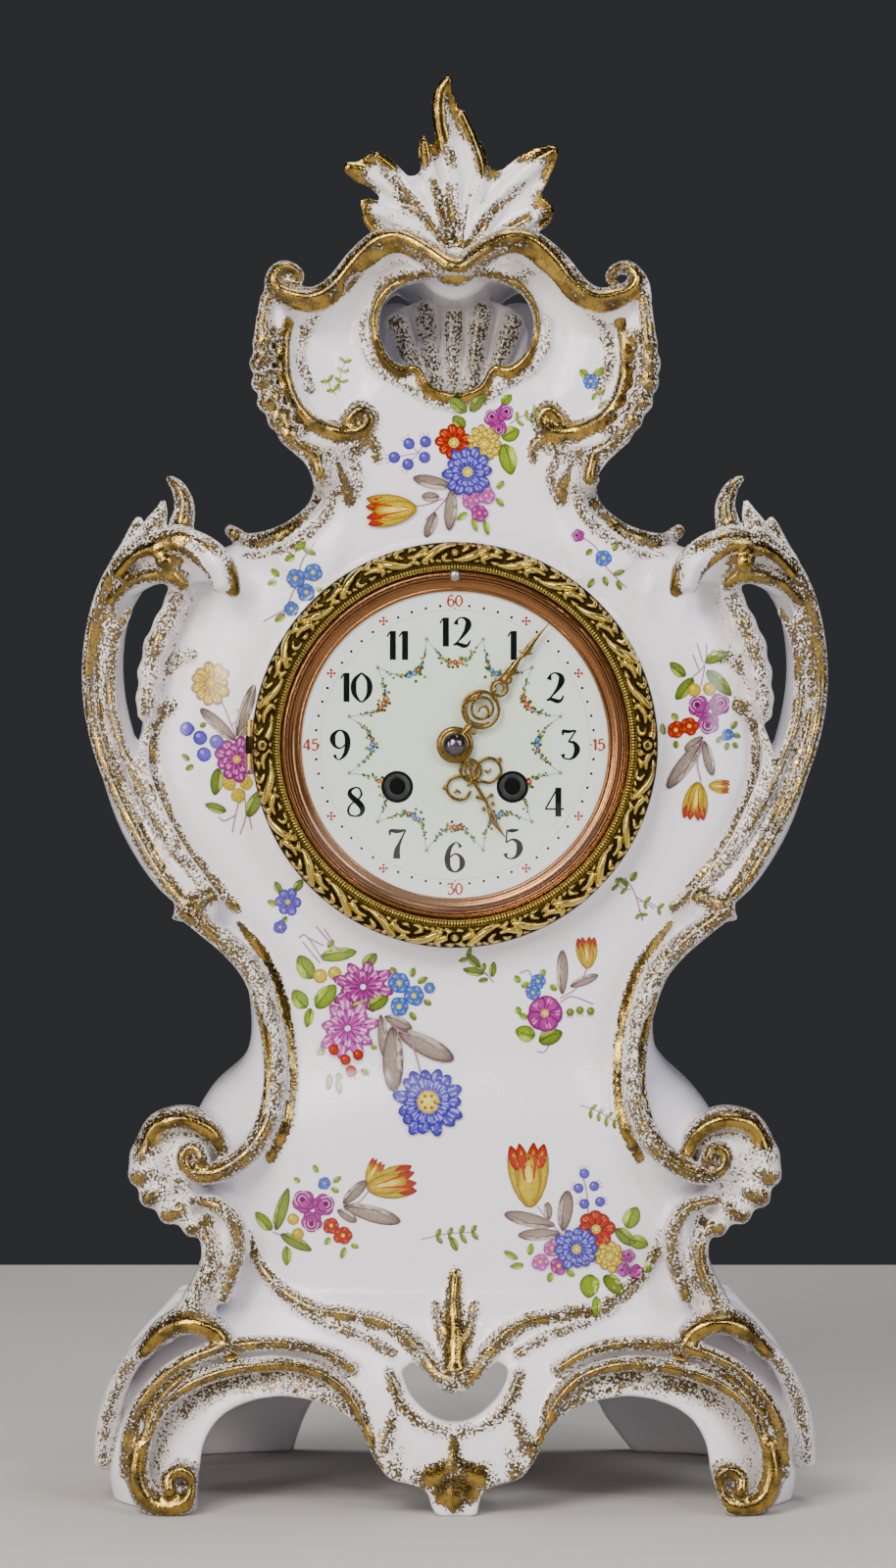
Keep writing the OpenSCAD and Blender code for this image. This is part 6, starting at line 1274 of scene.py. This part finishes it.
DIAL_FACE = -52.35
marks = Paint(lambda x, z: np.full(len(x), DIAL_FACE), lift=0.05)
# Millimetres from the dial's middle to each row of marks
SWAG_AT, STARS_AT, HOURS_AT, LINE_AT = 24.4, 32.4, 34.0, 40.0
QUARTER_DOT_AT, DOTS_AT, FIVES_AT, QUARTERS_AT = 40.4, 41.3, 42.3, 42.7
HOUR_TALL, QUARTER_TALL = 8.6, 3.3
BLACK, RED, LILAC = hex_colour("#101314"), hex_colour("#a83c20"), hex_colour("#85638f")
LEAF_DARK, LEAF_LIGHT = hex_colour("#33591f"), hex_colour("#7c9433")
# Each numeral by its brush strokes, in parts of its height: x, up, width of the stroke
SIX = [[(0.50, 0.85, 0.12), (0.42, 0.98, 0.05), (0.30, 1.00, 0.04), (0.12, 0.80, 0.13), (0.04, 0.45, 0.18),
        (0.10, 0.14, 0.14), (0.30, 0.00, 0.04), (0.50, 0.12, 0.12), (0.56, 0.32, 0.18), (0.48, 0.54, 0.10),
        (0.30, 0.62, 0.04), (0.12, 0.50, 0.04)]]
STROKES = {"0": (0.60, [[(0.30, 1.00, 0.04), (0.08, 0.78, 0.13), (0.02, 0.50, 0.18), (0.08, 0.22, 0.13),
                         (0.30, 0.00, 0.04), (0.52, 0.22, 0.13), (0.58, 0.50, 0.18), (0.52, 0.78, 0.13),
                         (0.30, 1.00, 0.04)]]),
           "1": (0.30, [[(0.20, 1.00, 0.19), (0.20, 0.00, 0.19)],
                        [(0.20, 0.98, 0.05), (0.08, 0.93, 0.04), (0.00, 0.80, 0.02)]]),
           "2": (0.60, [[(0.12, 0.76, 0.17), (0.18, 0.93, 0.06), (0.33, 1.00, 0.05), (0.52, 0.90, 0.14),
                         (0.55, 0.72, 0.20), (0.44, 0.48, 0.13), (0.20, 0.18, 0.05), (0.04, 0.04, 0.05)],
                        [(0.04, 0.06, 0.05), (0.20, 0.09, 0.11), (0.40, 0.02, 0.13), (0.54, 0.06, 0.08),
                         (0.62, 0.22, 0.03)]]),
           "3": (0.60, [[(0.07, 0.82, 0.03), (0.08, 0.97, 0.10), (0.24, 0.95, 0.10), (0.52, 0.99, 0.04)],
                        [(0.52, 0.99, 0.04), (0.26, 0.60, 0.04)],
                        [(0.26, 0.60, 0.04), (0.46, 0.56, 0.11), (0.56, 0.34, 0.19), (0.46, 0.10, 0.12),
                         (0.28, 0.00, 0.04), (0.10, 0.05, 0.06), (0.07, 0.18, 0.15)]]),
           "4": (0.64, [[(0.44, 1.00, 0.04), (0.02, 0.27, 0.04)], [(0.00, 0.26, 0.05), (0.66, 0.26, 0.05)],
                        [(0.46, 1.00, 0.19), (0.46, 0.00, 0.19)]]),
           "5": (0.60, [[(0.12, 0.97, 0.04), (0.30, 0.96, 0.12), (0.52, 0.99, 0.05)],
                        [(0.12, 0.98, 0.04), (0.09, 0.55, 0.04)],
                        [(0.09, 0.55, 0.04), (0.30, 0.66, 0.06), (0.50, 0.56, 0.15), (0.56, 0.34, 0.20),
                         (0.46, 0.10, 0.12), (0.28, 0.00, 0.04), (0.10, 0.05, 0.06), (0.07, 0.18, 0.15)]]),
           "6": (0.60, SIX),
           "7": (0.60, [[(0.04, 0.80, 0.03), (0.06, 0.96, 0.10), (0.30, 0.94, 0.13), (0.58, 0.99, 0.04)],
                        [(0.58, 0.99, 0.04), (0.40, 0.60, 0.08), (0.29, 0.30, 0.17), (0.27, 0.00, 0.23)]]),
           "8": (0.60, [[(0.50, 0.82, 0.06), (0.44, 0.96, 0.06), (0.30, 1.00, 0.05), (0.13, 0.91, 0.10),
                         (0.11, 0.76, 0.15), (0.26, 0.60, 0.18), (0.44, 0.44, 0.19), (0.54, 0.26, 0.17),
                         (0.48, 0.08, 0.10), (0.30, 0.00, 0.04)],
                        [(0.30, 0.00, 0.04), (0.10, 0.07, 0.07), (0.05, 0.24, 0.08), (0.16, 0.44, 0.05),
                         (0.38, 0.58, 0.04), (0.50, 0.74, 0.07), (0.50, 0.84, 0.06)]]),
           "9": (0.60, [[(0.6 - x, 1 - z, w) for x, z, w in SIX[0]]])}


# The gap between two figures, and the thinnest stroke of large and of small ones, in the same parts
GAP, THIN, THIN_SMALL = 0.12, 0.05, 0.12


def numeral(text, x, z, tall, colour):
    """A number about its middle"""
    marks.layer = 0
    wide = sum(STROKES[c][0] for c in text) + GAP * (len(text) - 1)
    thin = THIN if tall == HOUR_TALL else THIN_SMALL
    x -= wide * tall / 2
    for c in text:
        for stroke in STROKES[c][1]:
            marks.line([(x + u * tall, z + (v - 0.5) * tall, max(w, thin) * tall * 1.12)
                        for u, v, w in stroke],
                       colour)
        x += (STROKES[c][0] + GAP) * tall


def round_dial(clock_angle, r):
    """Point on the dial at a clockwise angle from twelve"""
    a = math.radians(clock_angle)
    return r * math.sin(a), DIAL_Z + r * math.cos(a)


for hour in range(1, 13):
    numeral(str(hour), *round_dial(30 * hour, HOURS_AT - (0.6 if hour in (12, 6) else 0)), HOUR_TALL, BLACK)
for minute in range(60):
    marks.layer = 0
    if minute % 5:
        marks.dot(*round_dial(6 * minute, DOTS_AT), 0.42, BLACK, n=8)
    elif minute % 15:
        x, z = round_dial(6 * minute, FIVES_AT)
        for u, v in ((0, 0), (1, 0), (-1, 0), (0, 1), (0, -1)):
            marks.dot(x + 0.95 * u, z + 0.95 * v, 0.45, RED, n=7)
    else:
        numeral(str(minute or 60), *round_dial(6 * minute, QUARTERS_AT), QUARTER_TALL, RED)
        marks.dot(*round_dial(6 * minute, QUARTER_DOT_AT), 0.24, BLACK, n=8)
turn = np.radians(np.arange(0, 361, 5))
# The two holes for the key, each with a black ring round it: painted shade that widens the dark of the hole
WINDING_HOLES, WINDING_Z, HOLE_SHADE_AT, HOLE_SHADE_WIDE = (-17.1, 17.1), 213.7, 4.3, 0.9


def beside_holes(x, z):
    return min(math.hypot(x - x0, z - WINDING_Z) for x0 in WINDING_HOLES) > 4.9


marks.line([(LINE_AT * math.sin(a), DIAL_Z + LINE_AT * math.cos(a), 0.12) for a in turn],
           hex_colour("#bccbc4"), 1)
for k in range(12):
    marks.layer = 0
    x, z = round_dial(15 + 30 * k, STARS_AT)
    for a in range(0, 180, 45):
        u, v = 0.8 * math.cos(math.radians(a)), 0.8 * math.sin(math.radians(a))
        marks.line([(x - u, z - v, 0.14), (x + u, z + v, 0.14)], LILAC, 1)
    marks.dot(x, z, 0.3, hex_colour("#5d3f6a"), n=7)

    # The swag hangs inward between two stars: a lilac thread, then leaves and small flowers
    def swag(t):
        return round_dial(30 * k + 15 * t, SWAG_AT + 8.0 * abs(t) ** 2.6)

    thread = [swag(t) for t in np.linspace(-1, 1, 25)]
    for p, q in zip(thread, thread[1:]):
        if beside_holes(*p) and beside_holes(*q):
            marks.line([p + (0.16,), q + (0.16,)], LILAC, 1)
    for t in np.linspace(-0.82, 0.82, 44):
        x, z = swag(t)
        size = 0.52 * (1 - 0.4 * abs(t))
        stray = 0.75 * (1 - abs(t)) + 0.15
        x, z = x + brush.normal(0, stray), z + brush.normal(0, stray)
        if beside_holes(x, z):
            marks.dot(x, z, size, LEAF_LIGHT if brush.random() < 0.35 else LEAF_DARK, n=6)
    first, second = ((RED, hex_colour("#d9653f")), (hex_colour("#3f6fb8"), hex_colour("#8a3b2c")))[k % 2]
    for t, colour, size in ((0.02, first, 0.58), (0.26, second, 0.52), (-0.24, first, 0.54),
                            (0.5, hex_colour("#4a7cc0"), 0.26), (-0.48, hex_colour("#c8853c"), 0.26),
                            (0.68, RED, 0.22), (-0.68, hex_colour("#4a7cc0"), 0.22)):
        x, z = swag(t)
        if not beside_holes(x, z):
            continue
        for a in np.arange(5) * 1.2566 + brush.uniform(0, 1):
            marks.dot(x + size * math.cos(a), z + size * math.sin(a), size * 0.6, colour, n=7)
        marks.dot(x, z, size * 0.45, hex_colour("#f0e3b0"), n=6)
marks.layer = 0
# Painted shade: a black ring round each key hole
for x0 in WINDING_HOLES:
    marks.line([(x0 + HOLE_SHADE_AT * math.sin(a), WINDING_Z + HOLE_SHADE_AT * math.cos(a), HOLE_SHADE_WIDE)
                for a in turn],
               BLACK, 1)
marks.mesh("dial_painting", "case", enamels)


# Hands: pierced and chased gilt brass, pressed on their pipes, held by a domed steel collet. Each
# is worked as thin rolls, like the strokes of a pen, given in quarter picture pixels from the
# dial's middle, with radii in mm.
def faces_around(around, across, closed=False):
    """Faces between rows of points that go round an axis; closed joins the last row to the first"""
    steps = np.arange(across if closed else across - 1)
    i, j = (m.ravel() for m in np.meshgrid(np.arange(around), steps, indexing="ij"))
    n, m = (i + 1) % around, (j + 1) % across
    return np.stack([i * across + j, i * across + m, n * across + m, n * across + j], 1)


def turned(name, rows, body, material, around=256, up=DIAL_Z):
    """A ring turned about the dial's axis from rows of radius and depth"""
    a = np.linspace(0, 2 * math.pi, around, endpoint=False)
    r, y = np.array(rows, float).T
    depth = np.broadcast_to(y, (around, len(r)))
    spots = np.stack([np.outer(np.sin(a), r), depth, up + np.outer(np.cos(a), r)], 2)
    o = laid_mesh(name, spots.reshape(-1, 3), faces_around(around, len(r)))
    o.data.materials.append(material)
    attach(o, body)
    return o


HAND_UNIT, HAND_STEP, FATTER = PIXEL / 4, 0.17, 1.2


def ring_of(cx, cz, r, thick, start=0, stop=360):
    turns = np.radians(np.linspace(start, stop, 13))
    return [(cx + r * math.cos(a), cz + r * math.sin(a), thick) for a in turns]


MINUTE_HAND = [[(38, 44, 0.8), (52, 60, 0.7), (66, 76, 0.55)],
               [(40, 66, 0.3), (48, 80, 0.42), (60, 78, 0.3)],
               [(66, 52, 0.3), (78, 46, 0.42), (86, 56, 0.3)], ring_of(106, 144, 74, 0.46),
               ring_of(106, 144, 60, 0.3, 100, 300), ring_of(112, 150, 44, 0.38, -60, 190),
               [(68, 150, 0.3), (74, 122, 0.4), (96, 106, 0.42), (124, 110, 0.42), (138, 134, 0.4),
                (126, 156, 0.36), (104, 152, 0.32), (98, 136, 0.3)],
               [(36, 160, 0.3), (46, 184, 0.5), (66, 206, 0.5), (96, 220, 0.35)],
               [(86, 188, 0.3), (98, 206, 0.45), (122, 214, 0.3)],
               [(150, 196, 0.3), (168, 180, 0.45), (180, 160, 0.3)],
               [(60, 178, 0.28), (74, 186, 0.4), (84, 176, 0.25)], ring_of(181, 233, 33, 0.44),
               ring_of(181, 233, 18, 0.3, -60, 170), [(150, 214, 0.4), (160, 220, 0.5), (166, 230, 0.3)],
               ring_of(214, 268, 15, 0.42), [(196, 256, 0.4), (206, 262, 0.4)],
               [(204, 262, 0.55), (218, 284, 0.7), (230, 302, 1.05), (246, 326, 0.8), (262, 350, 0.5),
                (280, 366, 0.5)],
               [(208, 300, 0.3), (216, 306, 0.42), (226, 300, 0.3)],
               [(242, 294, 0.3), (250, 300, 0.42), (246, 310, 0.3)], [(232, 328, 0.3), (238, 334, 0.38)],
               [(262, 384, 0.2), (276, 378, 0.5), (290, 378, 0.75), (304, 374, 0.5), (316, 374, 0.2)],
               [(284, 366, 0.55), (300, 392, 0.85), (318, 418, 0.62), (344, 450, 0.4), (383, 494, 0.14)]]
HOUR_HAND = [[(34, -44, 0.8), (44, -62, 0.7), (52, -80, 0.5)], ring_of(64, -104, 42, 0.44),
             ring_of(64, -104, 24, 0.3, 20, 250),
             [(48, -132, 0.4), (14, -128, 0.44), (-18, -142, 0.44), (-34, -174, 0.44), (-18, -208, 0.44),
              (14, -224, 0.44), (46, -216, 0.44), (62, -192, 0.4)],
             [(-34, -174, 0.3), (-46, -180, 0.34), (-44, -168, 0.24)],
             [(22, -196, 0.28), (8, -186, 0.36), (-2, -196, 0.26)],
             [(92, -148, 0.4), (82, -112, 0.44), (94, -78, 0.44), (124, -56, 0.44), (158, -58, 0.44),
              (182, -80, 0.44), (188, -112, 0.44), (168, -140, 0.44), (138, -154, 0.42), (104, -148, 0.4)],
             [(170, -64, 0.3), (184, -54, 0.36), (188, -68, 0.24)],
             [(146, -100, 0.28), (134, -112, 0.36), (122, -104, 0.26)],
             [(60, -90, 0.4), (78, -148, 0.5), (104, -194, 0.5), (126, -228, 0.45)],
             [(78, -148, 0.4), (52, -166, 0.36)], [(78, -148, 0.4), (108, -150, 0.36)],
             [(92, -214, 0.55), (93, -214, 0.55)], [(148, -206, 0.55), (149, -206, 0.55)],
             [(154, -240, 0.55), (155, -240, 0.55)], [(116, -262, 0.55), (117, -262, 0.55)],
             [(92, -214, 0.3), (112, -222, 0.3), (126, -230, 0.3)],
             [(148, -206, 0.3), (134, -216, 0.3), (126, -228, 0.3)],
             [(126, -228, 0.4), (138, -258, 0.55), (153, -292, 0.9), (170, -328, 0.6), (204, -376, 0.14)]]
for label, strokes, y, hand_body in (("minute_hand", MINUTE_HAND, -55.0, "minute"),
                                     ("hour_hand", HOUR_HAND, -53.5, "hour")):
    strokes = [[(x, z, r * FATTER) for x, z, r in stroke] for stroke in strokes]
    spots = np.array([q for stroke in strokes for q in stroke]) * (HAND_UNIT, HAND_UNIT, 1) + (0, DIAL_Z, 0)
    (x0, z0), (x1, z1) = spots[:, :2].min(0) - 2, spots[:, :2].max(0) + 2
    clay = Clay((x0, y - 1.2, z0), (x1, y + 1.2, z1), HAND_STEP)
    gilded = []
    for stroke in strokes:
        path = curve_through(stroke, 3) * (HAND_UNIT, HAND_UNIT, 1)
        path = np.stack([path[:, 0], np.full(len(path), y), path[:, 1] + DIAL_Z, path[:, 2]], 1)
        clay.roll(path, 0.12, 0.75)
    pierced, = joined_pieces(clay, ((label + "_pierced", -999, 999),), FINISHES["gilt_brass"], hand_body)
    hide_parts(label)
# The bosses are turned of the same brass. The collet's dome is blued steel, polished, so it shows
# one small soft light, and it stands on a brass seat.
turned("minute_hand_boss", [(1.5, -55.4), (4.6, -55.4), (5.3, -55.15), (5.5, -54.7), (1.5, -54.7)],
       "minute", FINISHES["gilt_brass"], 64)
turned("hour_hand_boss", [(2.0, -53.9), (4.2, -53.9), (4.4, -53.2), (2.0, -53.2)], "hour",
       FINISHES["gilt_brass"], 64)
dome = turned("collet_dome",
              [(0.0, -57.9), (1.0, -57.8), (2.1, -57.3), (3.0, -56.5), (3.6, -55.8), (3.8, -55.35)],
              "minute", plain_metal("blued_steel_dome", "#6a6670", 0.16, 0.5, 0.1), 48)
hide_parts("hand_collet")
turned("collet_seat", [(3.6, -55.8), (4.05, -55.75), (4.3, -55.35)], "minute", FINISHES["gilt_brass"], 48)

# Sight ring: spun on the lathe from copper-red brass, with a cove, a bead and a rounded outer edge,
# and burnished. Handling has dulled it in patches of about 20 mm; its edges catch lines of light.
HANDLED_MM = 22
copper, tree, shader = finish_of("burnished_red_brass", Metallic=1.0, Roughness=0.24)
handled = node(tree, "ShaderNodeTexNoise",
               {"Vector": node(tree, "ShaderNodeTexCoord").outputs["Object"],
                "Scale": 1 / (HANDLED_MM * MM)})
tree.links.new(mixed(tree, handled.outputs["Fac"], hex_colour("#ab774d"), hex_colour("#775231")),
               shader.inputs["Base Color"])
inner_edge = [(45.4, -52.3), (45.5, -53.1), (45.7, -53.45), (46.0, -53.6), (46.3, -53.6), (46.5, -53.45)]
cove = [(46.6 + 2.7 * math.sin(a), -56.3 + 2.7 * math.cos(a)) for a in np.linspace(0.06, 1.5, 12)]
bead = [(49.75 + 0.4 * math.sin(a), -56.5 - 0.4 * math.cos(a)) for a in np.linspace(-1.5, 1.5, 9)]
brow = [(50.3 + 1.1 * math.sin(a), -56.4 - 1.1 * math.cos(a)) for a in np.linspace(-0.1, 1.5, 9)]
section = inner_edge + cove + bead + brow + [(51.4, -52.4), (45.4, -52.3)]
ring = turned("sight_ring_spun", section, "case", copper, 320)
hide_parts("sight_ring")

# Bezel: a cast brass ring of running acanthus, chased and left to darken in its hollows, with a
# turned and milled inner ring that holds the glass. The pattern runs down both sides from twelve.
# Rubbing has brightened its crests to pale gold; dust and old lacquer lie dull between them.
DUST_MM = 1.2
antique, tree, shader = finish_of("antique_cast_brass", Metallic=1.0, Roughness=0.3)
high = node(tree, "ShaderNodeAttribute", attribute_name="high").outputs["Fac"]
dust = node(tree, "ShaderNodeTexNoise",
            {"Vector": node(tree, "ShaderNodeTexCoord").outputs["Object"], "Scale": 1 / (DUST_MM * MM),
             "Detail": 4.0})
worn = node(tree, "ShaderNodeMath", {0: dust.outputs["Fac"], 1: 0.5, 2: -0.25}, operation="MULTIPLY_ADD")
level = node(tree, "ShaderNodeMath", {0: high, 1: worn.outputs[0]}, operation="ADD").outputs[0]
level = node(tree, "ShaderNodeMapRange", {"Value": level, "From Min": 0.06, "From Max": 0.58}).outputs[0]
tree.links.new(mixed(tree, level, hex_colour("#2a220c"), hex_colour("#c8b057")),
               shader.inputs["Base Color"])
tree.links.new(node(tree, "ShaderNodeMapRange", {"Value": level, "To Min": 0.5, "To Max": 0.2}).outputs[0],
               shader.inputs["Roughness"])
# One unit of the pattern, 14 mm long: along the ring, outward, radius of the stroke
UNIT = 14.0
SCROLLS = [[(0.0, -2.7, 0.6), (2.5, -2.3, 1.15), (5.5, -0.9, 1.5), (8.2, 1.1, 1.35), (9.7, 2.4, 0.95),
            (8.7, 3.1, 0.6)],
           [(7.0, 2.6, 0.8), (7.1, 2.6, 0.8)],
           [(9.4, -2.9, 0.6), (8.6, -1.7, 1.0), (9.8, -0.6, 1.25), (11.9, 0.2, 1.15), (14.0, 0.0, 0.7)],
           [(2.0, 0.3, 0.6), (3.5, 1.6, 1.0), (2.7, 2.9, 0.7), (1.0, 3.1, 0.4)],
           [(11.4, 2.8, 0.7), (12.6, 1.9, 0.95), (14.0, 1.8, 0.5)], [(4.6, 3.1, 0.5), (5.5, 2.7, 0.6)],
           [(11.6, -2.4, 0.5), (12.8, -2.6, 0.75), (13.6, -1.9, 0.4)],
           [(6.4, -2.9, 0.45), (7.2, -2.6, 0.6)]]
AROUND, ACROSS, HALF_WIDE, UNITS_A_SIDE = 2016, 36, 3.7, 13
PATTERN_R = 57.2
run = 2 * math.pi * PATTERN_R
s_at = np.arange(AROUND) / AROUND * run
v_at = np.linspace(-HALF_WIDE, HALF_WIDE, ACROSS)
relief = np.zeros((AROUND, ACROSS))
scale = run / 2 / UNITS_A_SIDE / UNIT
for side in (0, 1):
    for k in range(UNITS_A_SIDE):
        swell, lean = 1 + brush.normal(0, 0.05), brush.normal(0, 0.12)
        flip = -1 if brush.random() < 0.25 else 1
        for stroke in SCROLLS:
            p = curve_through(stroke, 3) if len(stroke) > 2 else np.array(stroke)
            for a, b in zip(p[:-1], p[1:]):
                sa, sb = ((k * UNIT + q) * scale for q in (a[0], b[0]))
                if side:
                    sa, sb = run - sa, run - sb
                va, vb = a[1] * flip + lean, b[1] * flip + lean
                ra, rb = a[2] * swell, b[2] * swell
                lo = int((min(sa, sb) - 1.6) / run * AROUND)
                cols = np.arange(lo, int((max(sa, sb) + 1.6) / run * AROUND) + 2)
                ds, dv = cols[:, None] * run / AROUND - sa, v_at[None, :] - va
                e = (sb - sa, vb - va)
                t = np.clip((ds * e[0] + dv * e[1]) / max(e[0] ** 2 + e[1] ** 2, 1e-6), 0, 1)
                r = ra + (rb - ra) * t
                d2 = (ds - t * e[0]) ** 2 + (dv - t * e[1]) ** 2
                h = np.sqrt(np.maximum(r * r - d2, 0))
                relief[cols % AROUND] = np.maximum(relief[cols % AROUND], h)
# Two round bosses at three and nine o'clock, and a small one where the runs meet
BOSS_R, SMALL_BOSS_R = 1.9, 1.5
for s0, r in ((run / 4, BOSS_R), (3 * run / 4, BOSS_R), (run / 2, SMALL_BOSS_R), (0, SMALL_BOSS_R)):
    ds = (s_at - s0 + run / 2) % run - run / 2
    h = np.sqrt(np.maximum(r * r - ds[:, None] ** 2 - v_at[None, :] ** 2, 0))
    near = (ds[:, None] ** 2 + v_at[None, :] ** 2) < (r + 0.7) ** 2
    relief = np.where(near, h * 1.1, relief)
# A crowned ring that carries the relief: its middle and depth, and how far its crests may stand out
RING_R, RING_Y, FOREMOST_Y, CROWN = 56.75, -59.6, -63.9, 1.9
crown = CROWN * np.sqrt(np.maximum(1 - (v_at / (HALF_WIDE + 0.15)) ** 2, 0))
radius = RING_R + v_at * 0.81
front_y = np.maximum(RING_Y - crown * 0.75 - relief * 1.7 + v_at * 0.25, FOREMOST_Y)
a = 2 * math.pi * np.arange(AROUND) / AROUND
sin_a, cos_a = np.sin(a)[:, None], np.cos(a)[:, None]
# Its plain back: rows of radius and depth
back_r, back_y = np.array([(60.0, -58.4), (59.6, -54.2), (54.6, -54.2), (53.7, -58.3)]).T
radius = np.concatenate([radius, back_r])
depth = np.concatenate([front_y, np.tile(back_y, (AROUND, 1))], 1)
spots = np.stack([sin_a * radius, depth, DIAL_Z + cos_a * radius], 2).reshape(-1, 3)
shown = np.concatenate([np.clip(relief / 1.1, 0, 1), np.full((AROUND, len(back_r)), 0.5)], 1)
cast_ring = laid_mesh("bezel_cast_ring", spots, faces_around(AROUND, len(radius), closed=True),
                      marks={"high": shown.ravel()})
cast_ring.data.materials.append(antique)
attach(cast_ring, "bezel")
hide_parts("bezel")
# Milled ring: about 370 cuts, 0.9 mm apart and 0.34 mm deep, each given at five points
CUTS = 372
tooth = np.tile([0.0, 0.05, 0.34, 0.34, 0.05], CUTS)[:, None]
a = 2 * math.pi * np.arange(CUTS * 5)[:, None] / (CUTS * 5)
# Rows of radius and depth, and how much of the cut each takes
rows = [(51.5, -56.3, 0), (51.55, -57.7, 0), (51.8, -58.2, 0.2), (52.1, -58.9, 1), (52.7, -59.25, 1),
        (53.3, -59.1, 1), (53.6, -58.6, 0.2), (54.6, -58.2, 0), (54.7, -57.4, 0), (51.5, -56.3, 0)]
r, y, t = np.array(rows, float).T
spots = np.stack([np.sin(a) * r, y + tooth * t, DIAL_Z + np.cos(a) * r], 2).reshape(-1, 3)
bright = 0.55 * (1 - 2.4 * tooth * t)
milled = laid_mesh("bezel_milled_ring", spots, faces_around(len(a), len(rows)),
                   marks={"high": bright.ravel()})
milled.data.materials.append(antique)
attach(milled, "bezel")
# The bezel's own hinge knuckle, between the two on the mounting ring. It is turned like the rings
# and then stood upright on the hinge pin.
PIN_X, PIN_Y = -60.3, -55.55
knuckle = turned("bezel_knuckle",
                 [(0.0, -3.0), (1.35, -3.0), (1.6, -2.7), (1.6, 2.7), (1.35, 3.0), (0.0, 3.0)], "bezel",
                 antique, 24)
for v in knuckle.data.vertices:
    v.co = Vector((v.co.x + PIN_X * MM, v.co.z - DIAL_Z * MM + PIN_Y * MM, DIAL_Z * MM + v.co.y))
# Spring catch at twelve: a small domed steel stud
CATCH_UP = 50.2
turned("bezel_catch", [(0.0, -59.4), (0.8, -59.3), (1.4, -58.9), (1.7, -58.2), (1.7, -56.6)], "bezel",
       FINISHES["steel"], 24, DIAL_Z + CATCH_UP)

# Glass: a shallow watch-glass dome, blown, cut round and held in the bezel's inner ring. It is
# clear and polished, so it is seen only by what it reflects: a faint mirror over the dial.
clear, _, _ = finish_of("clear_watch_glass", Base_Color=(1, 1, 1, 1), Metallic=1.0, Roughness=0.02,
                        Alpha=0.035)
for slot in nodes["bezel_glass"].material_slots:
    slot.material = clear
